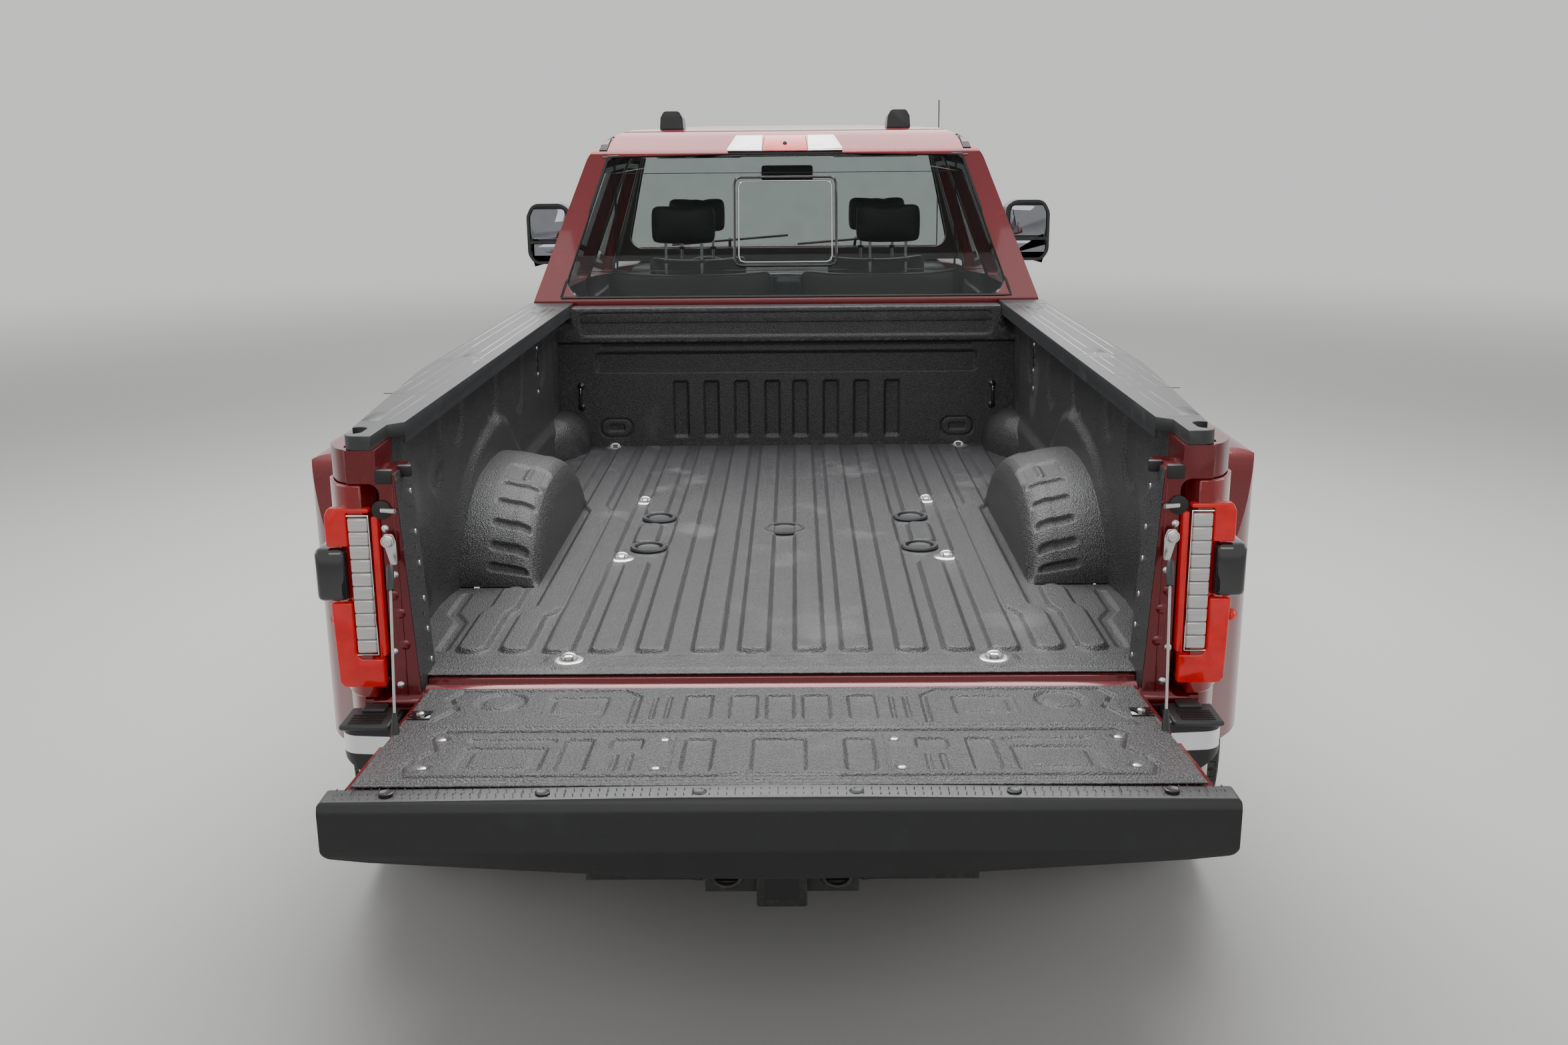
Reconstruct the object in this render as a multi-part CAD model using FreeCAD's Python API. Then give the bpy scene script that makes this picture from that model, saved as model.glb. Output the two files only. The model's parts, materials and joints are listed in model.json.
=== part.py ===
"""A crew-cab pickup truck with an eight-foot bed and twin rear wheels, tailgate lowered.

Millimetres. +Y is the direction of travel, +X the right-hand side, +Z up. The origin lies on the
ground under the middle of the truck's box, as measured with the tailgate open.
"""
import math
import os

import FreeCAD, Part

# Driving dimensions
AXLE_LEAD = 605.0
FRONT_OVERHANG = 973.0
BED_TAIL = 1120.0
GATE_REACH = 620.0
BED_LENGTH = 2492.0
FLOOR_HEIGHT = 915.0
BODY_HALF = 1016.0
BODY_BASE = 560.0
ROOF_HEIGHT = 2110.0
CAB_LENGTH = 2400.0
CAB_GAP = 33.0
FENDER_HALF = 1219.0
MIRROR_HALF = 1340.0
OVERRUN = 40.0
SEAT_GAP = 0.3
TILT_GAP = 0.9
MOVE_GAP = 6.0

# Wheels and tyres
TYRE_RADIUS = 400.0
TYRE_WIDTH = 240.0
RIM_RADIUS = 216.0
RIM_LIP = 14.0
RIM_HALF = 92.0
RIM_SHEET = 9.0
BEAD_GAP = 0.4
SHOULDER_ROUND = 34.0
SIDEWALL_TUCK = 26.0
GROOVE_WIDTH = 9.0
GROOVE_DEPTH = 9.0
GROOVE_SHARES = (-0.27, -0.09, 0.09, 0.27)
HUB_RADIUS = 72.0
BOLT_CIRCLE = 100.0
BOLT_HOLE = 8.0
HAND_HOLE = 27.0
HAND_CIRCLE = 152.0
HAND_COUNT = 8
DISC_SHEET = 14.0
FACE_RADIUS = 130.0
HUB_LENGTH = 46.0
HUB_REACH = 190.0
FRONT_WHEEL_X = 905.0
REAR_WHEEL_X = 927.0
TWIN_SPACING = 308.0

# Axles and steering
KINGPIN_X = 770.0
KINGPIN_RISE = 132.0
KNUCKLE_RADIUS = 30.0
YOKE_WIDTH = 74.0
YOKE_CLEARANCE = 7.0
SPINDLE_RADIUS = 44.0
SPINDLE_GAP = 0.3
SPINDLE_END = 6.0
TIE_REACH = 195.0
TIE_DROP = 70.0
TIE_RADIUS = 17.0
TIE_BALL = 20.0
ARM_HEIGHT = 22.0
ARM_WIDTH = 44.0
AXLE_TUBE = 44.0
DIFF_RADIUS = 146.0
DIFF_OFFSET = -270.0
REAR_DIFF_RADIUS = 188.0
BRAKE_RADIUS = 172.0
BRAKE_WIDTH = 34.0

# Chassis frame
RAIL_OUTER = 430.0
RAIL_WIDTH = 74.0
RAIL_WALL = 9.0
RAIL_DEPTH = 190.0
RAIL_REAR_TOP = 828.0
RAIL_MID_TOP = 738.0
RAIL_FRONT_TOP = 790.0
RAIL_REAR_REACH = 95.0
KICK_LENGTH = 260.0
KICK_ROUND = 300.0
CARRIER_RADIUS = 14.0
TOWER_REACH = 190.0
TOWER_LENGTH = 245.0
TOWER_SHEET = 20.0
CROSS_TUBE = 58.0
CROSS_SHARES = (0.02, 0.265, 0.35, 0.5, 0.58, 0.93, 0.985)
MOUNT_RADIUS = 46.0
MOUNT_ARM = 90.0
MOUNT_PLATE = 14.0
CAB_MOUNT_SHARES = (0.06, 0.5, 0.9)

# Driveline and tanks
ENGINE_LENGTH = 760.0
ENGINE_HALF = 320.0
ENGINE_BASE = 560.0
ENGINE_TOP = 1270.0
GEARBOX_LENGTH = 720.0
GEARBOX_RADIUS = 140.0
GEARBOX_END = 100.0
SHAFT_HEIGHT = 600.0
SHAFT_RADIUS = 46.0
TRANSFER_LENGTH = 260.0
FRONT_SHAFT_RADIUS = 30.0
TANK_LENGTH = 1150.0
TANK_BASE = 455.0
TANK_HEIGHT = 262.0
TANK_SETBACK = 326.5
TANK_WIDTH = 350.0
TANK_ROUND = 60.0
MUFFLER_RADIUS = 120.0
MUFFLER_LENGTH = 820.0
MUFFLER_SETBACK = 486.5
EXHAUST_X = 596.0
EXHAUST_RADIUS = 45.0
EXHAUST_HEIGHT = 575.0
TAILPIPE_HEIGHT = 515.0
TAILPIPE_X = 1010.0
SPARE_SETBACK = 712.0
SPARE_HEIGHT = 492.0

# Springs
LEAF_X = 500.0
LEAF_WIDTH = 76.0
LEAF_HALF_FRONT = 760.0
LEAF_HALF_REAR = 860.0
LEAF_STACK = 52.0
LEAF_CAMBER = 78.0
LEAF_SEAT = 60.0
EYE_RADIUS = 30.0
COIL_X = 500.0
COIL_RADIUS = 63.0
COIL_WIRE = 9.0
COIL_TURNS = 7
ARM_LENGTH = 1020.0
DAMPER_RADIUS = 34.0
DAMPER_ROD = 11.0

# Cab
CAB_SECTION_SHARES = (
    (0.0, 0.0, 0.0), (0.962, 0.0, 0.03), (1.0, 0.235, 0.9), (1.0, 0.44, 0.5),
    (0.945, 0.578, 0.5), (0.734, 0.931, 0.12), (0.62, 0.985, 0.25), (0.3, 1.0, 1.2), (0.0, 1.0, 0.0),
)
CAB_SIDE_SHARES = (
    (0.0, 0.0, 0.03), (0.0, 0.58, 0.06), (0.061, 0.931, 0.05), (0.1, 0.985, 0.1),
    (0.36, 1.0, 1.2), (0.62, 0.987, 0.6), (0.722, 0.95, 0.1), (0.999, 0.58, 0.02),
    (0.999, 0.5, 0.0), (0.96, 0.4, 0.0), (0.96, 0.0, 0.02),
)
CAB_RADIUS = 1000.0
SIDE_WALL = 100.0
FRAME_WALL = 50.0
ROOF_WALL = 42.0
CAB_FLOOR = 800.0
FLOOR_PAN = 40.0
ROCKER_INNER = 850.0
SKIN = 18.0
FLANGE_START = 24.0
SKIN_INSET = 3.0
FLANGE_INSET = 11.0
BODY_INSET = 36.0
GLASS_DEPTH = 10.0
GLASS_SHEET = 5.0
DOOR_BASE = 604.0
FRONT_DOOR_SHARES = (
    (0.0, 0.0, 0.05), (1.0, 0.0, 0.08), (1.0, 0.585, 0.04), (0.505, 0.985, 0.07), (0.0, 0.995, 0.03),
)
FRONT_DOOR_START = 1142.0
FRONT_DOOR_LENGTH = 1073.0
REAR_DOOR_SHARES = (
    (0.0, 0.0, 0.09), (1.0, 0.0, 0.05), (1.0, 0.995, 0.03), (0.145, 0.985, 0.07), (0.0, 0.64, 0.1),
)
REAR_DOOR_START = 178.0
REAR_DOOR_LENGTH = 964.0
DOOR_HEIGHT = 1396.0
FRONT_WINDOW_SHARES = (
    (0.05, 0.605, 0.03), (0.88, 0.565, 0.02), (0.82, 0.635, 0.03), (0.475, 0.945, 0.05),
    (0.05, 0.955, 0.04),
)
REAR_WINDOW_SHARES = (
    (0.11, 0.62, 0.05), (0.94, 0.605, 0.03), (0.94, 0.955, 0.04), (0.19, 0.945, 0.05),
)
SCREEN_SHARES = (
    (-0.84, 0.0, 0.06), (0.84, 0.0, 0.06), (0.68, 1.0, 0.07), (-0.68, 1.0, 0.07),
)
SCREEN_BASE = 1502.0
SCREEN_RISE = 500.0
BACKLIGHT_SHARES = (
    (-0.842, 0.0, 0.06), (0.842, 0.0, 0.06), (0.662, 0.985, 0.05), (0.2, 1.0, 0.0),
    (-0.2, 1.0, 0.0), (-0.662, 0.985, 0.05),
)
BACKLIGHT_BASE = 1470.0
BACKLIGHT_RISE = 527.0

# Door hardware
HANDLE_LENGTH = 220.0
HANDLE_HEIGHT = 40.0
HANDLE_STAND = 22.0
HANDLE_SHARE = 0.5
HANDLE_INSET = 170.0
STRIKER_RADIUS = 8.0
STRIKER_X = 955.0
STRIKER_LEVEL = 1120.0
STRIKER_LENGTH = 42.0
MIRROR_SETBACK = 2026.5
MIRROR_DEPTH = 120.0
MIRROR_BASE = 1445.0
MIRROR_HEIGHT = 305.0
MIRROR_WIDTH = 225.0
MIRROR_SHARES = (
    (0.0, 0.06, 0.2), (0.12, 0.0, 0.2), (0.86, 0.0, 0.3), (1.0, 0.16, 0.3), (1.0, 0.8, 0.3),
    (0.86, 1.0, 0.4), (0.2, 1.0, 0.3), (0.0, 0.9, 0.2),
)
MIRROR_RIM = 14.0
MIRROR_SPLIT_SHARE = 0.34
MIRROR_ARM = 16.0
MIRROR_ROOT_X = 935.0
MIRROR_ROOT_SETBACK = 2128.5
MIRROR_ROOT_LEVELS = (1408.0, 1448.0)
MIRROR_ARM_SHARES = (0.14, 0.4)

# Front body
HOOD_REAR_GAP = 90.0
NOSE_SECTION_SHARES = (
    (0.0, 0.0, 0.0), (0.965, 0.0, 0.03), (1.0, 0.37, 0.9), (1.0, 0.7, 0.3), (0.955, 0.87, 0.2),
    (0.9, 0.925, 0.1), (0.5, 0.985, 0.6), (0.0, 1.0, 0.0),
)
NOSE_RISE = 920.0
NOSE_SIDE_SHARES = (
    (-0.1, -0.1, 0.0), (1.03, -0.1, 0.0), (1.0, 0.87, 0.06), (0.93, 0.92, 0.1), (0.75, 0.965, 0.5),
    (0.3, 1.0, 0.6),
    (-0.1, 1.01, 0.0),
)
NOSE_PLAN_SHARES = (
    (0.0, -0.1, 0.0), (1.04, -0.1, 0.0), (1.04, 0.55, 0.5), (0.965, 0.87, 0.25), (0.8, 0.975, 0.2),
    (0.4, 1.0, 0.9),
    (0.0, 1.0, 0.0),
)
GRILLE_FACE_INSET = 96.0
HOOD_HALF = 800.0
HOOD_SHEET = 34.0
HOOD_SIDE_GAP = 3.0
HOOD_LOWEST = 1330.0
FENDER_WALL = 36.0
ARCH_RADIUS = 505.0
LINER_SHEET = 5.0
LINER_INNER = 524.0
LAMP_INNER = 640.0
LAMP_BASE = 930.0
LAMP_RISE = 350.0
LAMP_DEPTH = 110.0
LAMP_WRAP = 330.0
LAMP_WIDTH = 360.0
LAMP_GAP = 3.0
LAMP_SHARES = (
    (0.0, 0.05, 0.1), (0.35, 0.0, 0.1), (1.2, 0.0, 0.0), (1.2, 1.0, 0.0), (0.1, 1.0, 0.1), (0.0, 0.9, 0.1),
)
GRILLE_BASE = 832.0
GRILLE_RISE = 470.0
GRILLE_FRAME = 46.0
GRILLE_HALF = 637.0
GRILLE_DEPTH = 70.0
GRILLE_ROUND = 60.0
GRILLE_BARS = 4
GRILLE_BAR = 62.0
GRILLE_ROWS = 11
GRILLE_ROW = 9.0
COWL_SHEET = 30.0
COWL_DROP = 40.0
RADIATOR_SETBACK = 300.0
RADIATOR_TOP = 1292.0
TIE_BAR = 30.0
TIE_BAR_HALF = 760.0
RADIATOR_SHEET = 60.0
RADIATOR_HALF = 440.0
BUMPER_BASE = 520.0
BUMPER_RISE = 270.0
BUMPER_WRAP = 380.0
BUMPER_SHEET = 60.0
BUMPER_HALF = 1006.0
BUMPER_ROUND = 1000.0
BUMPER_PLAN_SHARES = (
    (0.0, 1.0, 0.0), (0.5, 1.0, 1.0), (0.85, 0.87, 0.3), (1.0, 0.5, 0.2), (1.0, -0.3, 0.0),
    (0.0, -0.3, 0.0),
)
BOARD_WIDTH = 165.0
BOARD_SHEET = 42.0
BOARD_HEIGHT = 486.0
BOARD_SETBACK = 196.5
BOARD_LENGTH = 2050.0

# Interior
DASH_SHARES = (
    (0.0, 0.25, 0.1), (0.0, 0.8, 0.2), (0.2, 1.0, 0.3), (1.0, 1.0, 0.1), (1.0, 0.0, 0.0), (0.3, 0.0, 0.1),
)
DASH_DEPTH = 440.0
DASH_HALF = 796.0
DASH_ROUND = 400.0
DASH_BASE = 1110.0
DASH_RISE = 320.0
CONSOLE_WIDTH = 250.0
CONSOLE_LENGTH = 760.0
CONSOLE_RISE = 330.0
SEAT_SIDE_SHARES = (
    (0.16, 0.06, 0.05), (0.94, 0.1, 0.08), (1.0, 0.25, 0.1), (0.9, 0.31, 0.08), (0.38, 0.27, 0.1),
    (0.2, 0.78, 0.08), (0.04, 0.78, 0.08), (0.1, 0.27, 0.1),
)
HEAD_SHARES = (
    (0.05, 0.81, 0.05), (0.2, 0.81, 0.05), (0.18, 1.0, 0.06), (0.04, 1.0, 0.06),
)
SEAT_LENGTH = 760.0
SEAT_RISE = 1030.0
SEAT_WIDTH = 540.0
SEAT_X = 400.0
FRONT_SEAT_SETBACK = 946.5
REAR_SEAT_SETBACK = 136.5
REAR_SEAT_HALF = 760.0
HEAD_WIDTH = 280.0
SEAT_POST = 8.0
SEAT_FOOT = 60.0
STEER_WHEEL_X = -400.0
STEER_WHEEL_SETBACK = 1676.5
STEER_WHEEL_Z = 1330.0
STEER_WHEEL_RADIUS = 190.0
STEER_RIM = 14.0
STEER_HUB = 62.0
STEER_HUB_DEPTH = 44.0
STEER_TILT = 62.0
COLUMN_RADIUS = 38.0

# Bed
BED_WALL = 60.0
BED_INNER = 850.0
BED_LINER = 20.0
BED_OUTER = 1000.0
RAIL_CAP_TOP = 540.0
RAIL_CAP_SHEET = 30.0
RAIL_CAP_INNER = 805.0
RAIL_CAP_OUTER = 964.0
RAIL_CAP_TAIL = 892.0
RAIL_CAP_LIP = 46.0
STAKE_SETBACK = 6.0
STAKE_HALF = 20.0
STAKE_LENGTH = 76.0
BEDSIDE_DROP = 330.0
BEDSIDE_SHARES = (
    (0.0, 0.0, 0.0), (0.89, 0.0, 0.1), (1.0, 0.14, 0.6), (1.0, 0.8, 0.4), (0.93, 0.93, 0.3),
    (0.68, 1.0, 0.1),
    (0.0, 1.0, 0.0),
)
BEDSIDE_ROUND = 400.0
BEDSIDE_PLAN_SHARES = (
    (0.0, 0.0, 0.0), (0.9, 0.0, 0.06), (0.952, 0.035, 0.4), (1.0, 0.2, 0.9), (1.0, 1.0, 0.0),
    (0.0, 1.0, 0.0),
)
POST_REAR = 60.0
POST_DEPTH = 130.0
POST_FOOT = 765.0
POST_HEAD = 792.0
POST_TOP = 460.0
FLOOR_SHEET = 8.0
RIB_HEIGHT = 11.0
RIB_STARTS = (30.0, 136.0, 262.0, 368.0, 473.0)
OUTER_RIB_STARTS = (574.0, 672.0)
OUTER_RIB_RUNS = ((128.0, 590.0), (1660.0, 2400.0))
RIB_WIDTH = 66.0
RIB_TAIL = 128.0
RIB_HEAD = 50.0
RIB_SLOPE = 14.0
SILL_DROP = 78.0
SILL_REACH = 9.0
SILL_WIDTH = 80.0
SILL_SHARES = (0.06, 0.18, 0.33, 0.4422, 0.6, 0.77, 0.95)
SILL_INNER_HALF = 630.0
SILL_BACK = 50.0
SILL_HALF = 840.0
ARCH_INNER = 638.0
ARCH_HALF = 470.0
ARCH_RISE = 245.0
ARCH_SHEET = 6.0
ARCH_SHARES = (
    (-1.0, 0.0, 0.0), (-0.95, 0.5, 0.7), (-0.6, 0.93, 0.7), (0.0, 1.03, 1.5),
    (0.6, 0.93, 0.7), (0.95, 0.5, 0.7), (1.0, 0.0, 0.0),
)
ARCH_BEND = 400.0
WHEEL_CUT = 474.0
ARCH_GROOVES = ((-459.0, 50.0), (-441.0, 112.0), (-385.0, 160.0), (-310.0, 207.0), (-215.0, 232.0))
ARCH_GROOVE_RADIUS = 13.0
ARCH_GROOVE_DEPTH = 3.0
ARCH_GROOVE_START = 665.0
ARCH_GROOVE_END = 770.0
ARCH_CROWN_RECESS = (-170.0, -24.0)
ARCH_CROWN_ROUND = 16.0
WALL_SHELF = (
    (593.0, 0.0), (660.0, 105.0), (720.0, 195.0), (818.0, 251.0), (968.0, 300.0), (1107.0, 323.0),
    (1251.0, 336.0), (1420.0, 305.0), (1553.0, 199.0), (1675.0, 142.0), (2362.0, 132.0),
)
WALL_SHELF_DEPTH = 5.0
WALL_COLUMNS = (
    (((575.0, 480.0), (545.0, 290.0)), 75.0), (((860.0, 480.0), (800.0, 347.0)), 70.0),
    (((1292.0, 480.0), (1250.0, 360.0)), 95.0), (((1714.0, 480.0), (1674.0, 280.0)), 98.0),
    (((2150.0, 480.0), (2112.0, 300.0)), 72.0),
)
WALL_COLUMN_DEPTH = 12.0
CORNER_PLAN = ((850.0, 2170.0), (828.0, 2180.0), (778.0, 2281.0), (747.0, 2369.0))
CORNER_FACE = ((741.0, 0.0), (751.0, 55.0), (837.0, 139.0))
CORNER_ROUND = 30.0
FRONT_WALL_TOP = 530.0
FRONT_STEP = 397.0
FRONT_LIP = 26.0
SLOT_BASE = 34.0
SLOT_TOP = 248.0
SLOT_WIDTH = 57.0
SLOT_DEPTH = 12.0
SLOT_NEAR = 53.0
SLOT_PITCH = 116.0
SLOT_SIDE_COUNT = 4
RECESS_BASE = 283.0
RECESS_TOP = 357.0
RECESS_HALF = 722.0
OVAL_X = 650.0
OVAL_LEVEL = 70.0
OVAL_WIDTH = 130.0
OVAL_HEIGHT = 78.0
BALL_Y = 1199.0
BALL_RADIUS = 40.0
PUCK_X = 384.0
PUCK_YS = (1000.0, 1338.0)
PUCK_RADIUS = 34.0
PUCK_RING = 53.0
SOCKET_DROP = 32.0
TIE_DOWN_RADIUS = 36.0
TIE_DOWN_HEIGHT = 7.0
TIE_DOWN_PAD = 14.0
TIE_DOWN_PLACES = ((472.0, 76.0), (450.0, 900.0), (451.0, 1562.0), (652.0, 2440.0))

# Twin-wheel fenders
FENDER_SECTION_SHARES = (
    (0.0, 0.0, 0.0), (0.94, 0.0, 0.03), (1.0, 0.3, 0.8), (1.0, 1.0, 0.16), (0.0, 1.02, 0.0),
)
FENDER_PLAN_SHARES = (
    (0.0, -1.0, 0.0), (0.3, -0.985, 0.1), (0.75, -0.8, 0.4), (1.05, -0.44, 0.5), (1.05, 0.44, 0.5),
    (0.75, 0.8, 0.4), (0.3, 0.985, 0.1), (0.0, 1.0, 0.0),
)
FENDER_ROUND = 600.0
FENDER_SIDE_SHARES = (
    (-1.0, -0.1, 0.0), (-0.97, 0.5, 0.4), (-0.74, 1.02, 0.3), (0.0, 1.12, 1.0), (0.74, 1.02, 0.3),
    (0.97, 0.5, 0.4), (1.0, -0.1, 0.0),
)
FENDER_LENGTH_HALF = 790.0
FENDER_BASE = 570.0
FENDER_RISE = 715.0
FENDER_SHEET = 6.0

# Tail lamps and rear bumper
TAIL_INNER = 828.0
TAIL_OUTER = 955.0
TAIL_BASE = -30.0
TAIL_TOP = 437.0
TAIL_DEPTH = 110.0
TAIL_PROUD = 14.0
TAIL_GAP = 3.0
STUD_X = 808.0
STUD_LEVEL = 324.0
STUD_RADIUS = 9.0
STUD_LENGTH = 26.0
REAR_BUMPER_REACH = 198.0
REAR_BUMPER_HALF = 921.0
REAR_BUMPER_TOP = 50.0
REAR_BUMPER_DIP = 84.0
REAR_BUMPER_DIP_HALF = 796.0
REAR_BUMPER_END = 127.0
REAR_BUMPER_BASE = 180.0
REAR_BUMPER_BASE_HALF = 840.0
REAR_BUMPER_FRONT = 72.0
REAR_BUMPER_SWEEP = 42.0
REAR_BUMPER_ROUND = 12.0
VALANCE_SHARES = (
    (-1.0, 1.0, 0.0), (-0.94, 0.72, 0.1), (-0.7, 0.16, 0.6), (0.0, -0.05, 1.6), (0.7, 0.16, 0.6),
    (0.94, 0.72, 0.1), (1.0, 1.0, 0.0),
)
VALANCE_HALF = 880.0
VALANCE_BASE = 427.0
VALANCE_RISE = 270.0
VALANCE_ROUND = 700.0
VALANCE_SHEET = 40.0
HITCH_HALF = 46.0
HITCH_WALL = 8.0
HITCH_TOP = 558.0
HITCH_REACH = 192.0
HITCH_TUBE = 84.0
HITCH_TUBE_REACH = 92.0
CHAIN_X = 118.0
CHAIN_RADIUS = 28.0
CHAIN_HALF = 36.0
CHAIN_PLATE = 16.0
CHAIN_PLATE_HALF = 165.0
CHAIN_REACH = 150.0

# Tailgate
GATE_HINGE_BACK = 50.0
GATE_HINGE_DROP = 40.0
GATE_THICK = 70.0
GATE_FOOT_HALF = 758.0
GATE_HEAD_HALF = 785.0
GATE_LINER = 9.0
GATE_LINER_INSET = 14.0
GATE_LINER_START = 24.5
GATE_END = 560.0
SPOILER_HALF = 817.0
SPOILER_TOP = 4.0
SPOILER_EDGE = 11.0
SPOILER_DROP = 118.0
SPOILER_BELLY = 180.0
SPOILER_LIP = 10.0
SPOILER_BACK = 115.0
SPOILER_ROUND = 1500.0
HINGE_PIN = 9.0
HINGE_LENGTH = 30.0
HINGE_GAP = 0.3
BEAD_START = 268.0
BEAD_WIDTH = 12.0
PANEL_END = 528.0
BAND_SLOTS = ((0.0, 56.0), (75.0, 56.0), (170.0, 56.0), (250.0, 20.0))
BAND_SLOT_ENDS = (115.0, 248.0)
DISH_X = 585.0
DISH_BEHIND = 150.0
DISH_RADIUS = 48.0
DISH_RING = 16.0
TRAY_INNER = 360.0
TRAY_OUTER = 490.0
TRAY_ENDS = (125.0, 225.0)
LOBE_INNER = 300.0
LOBE_OUTER = 690.0
LOBE_ENDS = (98.0, 254.0)
LOBE_GROOVE = 11.0
LOBE_ROUND = 34.0
PANEL_SLOTS = ((0.0, 100.0), (152.0, 56.0), (384.0, 52.0), (520.0, 160.0))
PANEL_SLOT_ENDS = (345.0, 495.0)
PANEL_SHORT_SLOT = (292.0, 60.0)
PANEL_SHORT_ENDS = (345.0, 395.0)
PRESSED_ROUND = 10.0
CABLE_RADIUS = 3.5
CABLE_GATE_Y = 330.0
CABLE_GATE_DROP = 26.0
CABLE_PIN = 8.0
CABLE_PIN_LENGTH = 12.0
CABLE_POCKET = 60.0

# Roof fittings
STOP_LAMP_HALF = 225.0
STOP_LAMP_TOP_HALF = 187.0
STOP_LAMP_BASE = 2007.0
STOP_LAMP_RISE = 58.0
STOP_LAMP_PROUD = 7.0
ROOF_LAMP_COUNT = 5
ROOF_LAMP_SPAN = 1080.0
ROOF_LAMP_LENGTH = 120.0
ROOF_LAMP_WIDTH = 50.0
ROOF_LAMP_RISE = 20.0
ROOF_LAMP_INSET = 190.0
PUCK_SHARES = (
    (-1.0, 0.0, 0.0), (-0.9, 0.75, 0.3), (-0.6, 1.0, 0.3), (0.6, 1.0, 0.3), (0.9, 0.75, 0.3),
    (1.0, 0.0, 0.0),
)
ROOF_PUCK_X = 444.0
ROOF_PUCK_HALF = 48.0
ROOF_PUCK_RISE = 50.0
ROOF_PUCK_LENGTH = 150.0
ROOF_PUCK_SETBACK = 330.0
MAST_X = 820.0
MAST_LEAD = 126.5
MAST_TOP = 2262.0
MAST_RADIUS = 3.0
MAST_FOOT = 15.0

# Places that follow from the driving dimensions
WHEELBASE = BED_LENGTH - BED_TAIL + BED_WALL + CAB_GAP + CAB_LENGTH + AXLE_LEAD
AXLE_REAR = -(WHEELBASE + FRONT_OVERHANG - BED_TAIL - GATE_REACH) / 2
AXLE_FRONT = AXLE_REAR + WHEELBASE
BED_REAR = AXLE_REAR - BED_TAIL
BED_FRONT = BED_REAR + BED_LENGTH
CAB_REAR = BED_FRONT + BED_WALL + CAB_GAP
CAB_FRONT = CAB_REAR + CAB_LENGTH
NOSE_REAR = CAB_REAR + FRONT_DOOR_START + FRONT_DOOR_LENGTH + SKIN_INSET
GRILLE_FACE = AXLE_FRONT + FRONT_OVERHANG - GRILLE_FACE_INSET
GATE_HINGE_Y = BED_REAR - GATE_HINGE_BACK
GATE_HINGE_Z = FLOOR_HEIGHT - GATE_HINGE_DROP
HOOD_REAR = CAB_FRONT + HOOD_REAR_GAP
MAST_Y = HOOD_REAR + MAST_LEAD
MIRROR_Y = CAB_REAR + MIRROR_SETBACK
MIRROR_ROOT_Y = CAB_REAR + MIRROR_ROOT_SETBACK
BOARD_REAR = CAB_REAR + BOARD_SETBACK
BOARD_FRONT = BOARD_REAR + BOARD_LENGTH
TANK_REAR = CAB_REAR + TANK_SETBACK
MUFFLER_REAR = CAB_REAR + MUFFLER_SETBACK
FRONT_SEAT_REAR = CAB_REAR + FRONT_SEAT_SETBACK
REAR_SEAT_REAR = CAB_REAR + REAR_SEAT_SETBACK
STEER_WHEEL_Y = CAB_REAR + STEER_WHEEL_SETBACK
WHEEL_DISH = TWIN_SPACING / 2
WALL_FACE = BED_INNER + BED_LINER
DOORS = (
    (FRONT_DOOR_SHARES, FRONT_DOOR_START, FRONT_DOOR_LENGTH),
    (REAR_DOOR_SHARES, REAR_DOOR_START, REAR_DOOR_LENGTH),
)

AXES = {
    "yz": lambda u, v, w: FreeCAD.Vector(w, u, v),
    "xz": lambda u, v, w: FreeCAD.Vector(u, w, v),
    "xy": lambda u, v, w: FreeCAD.Vector(u, v, w),
}
ACROSS = FreeCAD.Vector(1, 0, 0)
ALONG = FreeCAD.Vector(0, 1, 0)
UPWARD = FreeCAD.Vector(0, 0, 1)
ROUND_SHARE = 0.48


# Shape helpers
def outline(shares, origin, size, radius=0.0):
    """Corners (u, v, radius) of an outline given in shares of its size."""
    return [(origin[0] + u * size[0], origin[1] + v * size[1], r * radius) for u, v, r in shares]


def plain(points):
    """Sharp corners from bare (u, v) pairs."""
    return [(u, v, 0.0) for u, v in points]


def rounded_wire(plane, corners, level):
    """Closed wire through the corners, each rounded by an arc of its radius."""
    put = AXES[plane]
    stops = []
    for index, (u, v, radius) in enumerate(corners):
        here = FreeCAD.Vector(u, v, 0)
        last = corners[index - 1]
        following = corners[(index + 1) % len(corners)]
        back = FreeCAD.Vector(last[0], last[1], 0) - here
        ahead = FreeCAD.Vector(following[0], following[1], 0) - here
        half = back.getAngle(ahead) / 2
        reach = min(radius / math.tan(half), ROUND_SHARE * back.Length, ROUND_SHARE * ahead.Length)
        if radius <= 0 or half > math.pi / 2 - 0.002:
            stops.append((here, here, here))
            continue
        back.normalize()
        ahead.normalize()
        bend = reach * math.tan(half)
        inward = (back + ahead).normalize()
        middle = here + inward * (bend / math.sin(half) - bend)
        stops.append((here + back * reach, middle, here + ahead * reach))
    edges = []
    for index, (start, middle, end) in enumerate(stops):
        if start.distanceToPoint(end) > 1e-6:
            arc = Part.Arc(put(start.x, start.y, level), put(middle.x, middle.y, level),
                           put(end.x, end.y, level))
            edges.append(arc.toShape())
        target = stops[(index + 1) % len(stops)][0]
        if end.distanceToPoint(target) > 1e-6:
            edges.append(Part.makeLine(put(end.x, end.y, level), put(target.x, target.y, level)))
    return Part.Wire(edges)


def slab(plane, corners, low, high, inset=0.0):
    """Prism of an outline between two levels, the outline drawn in by inset."""
    face = Part.Face(rounded_wire(plane, corners, low))
    if inset:
        face = face.makeOffset2D(-inset)
    return face.extrude(AXES[plane](0, 0, high - low))


def strip(line, half):
    """Corners of a band that follows a line of (u, v) points, half to either side of it along u."""
    left = [(u - half, v, half) for u, v in line]
    right = [(u + half, v, half) for u, v in reversed(line)]
    return left + right


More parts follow.
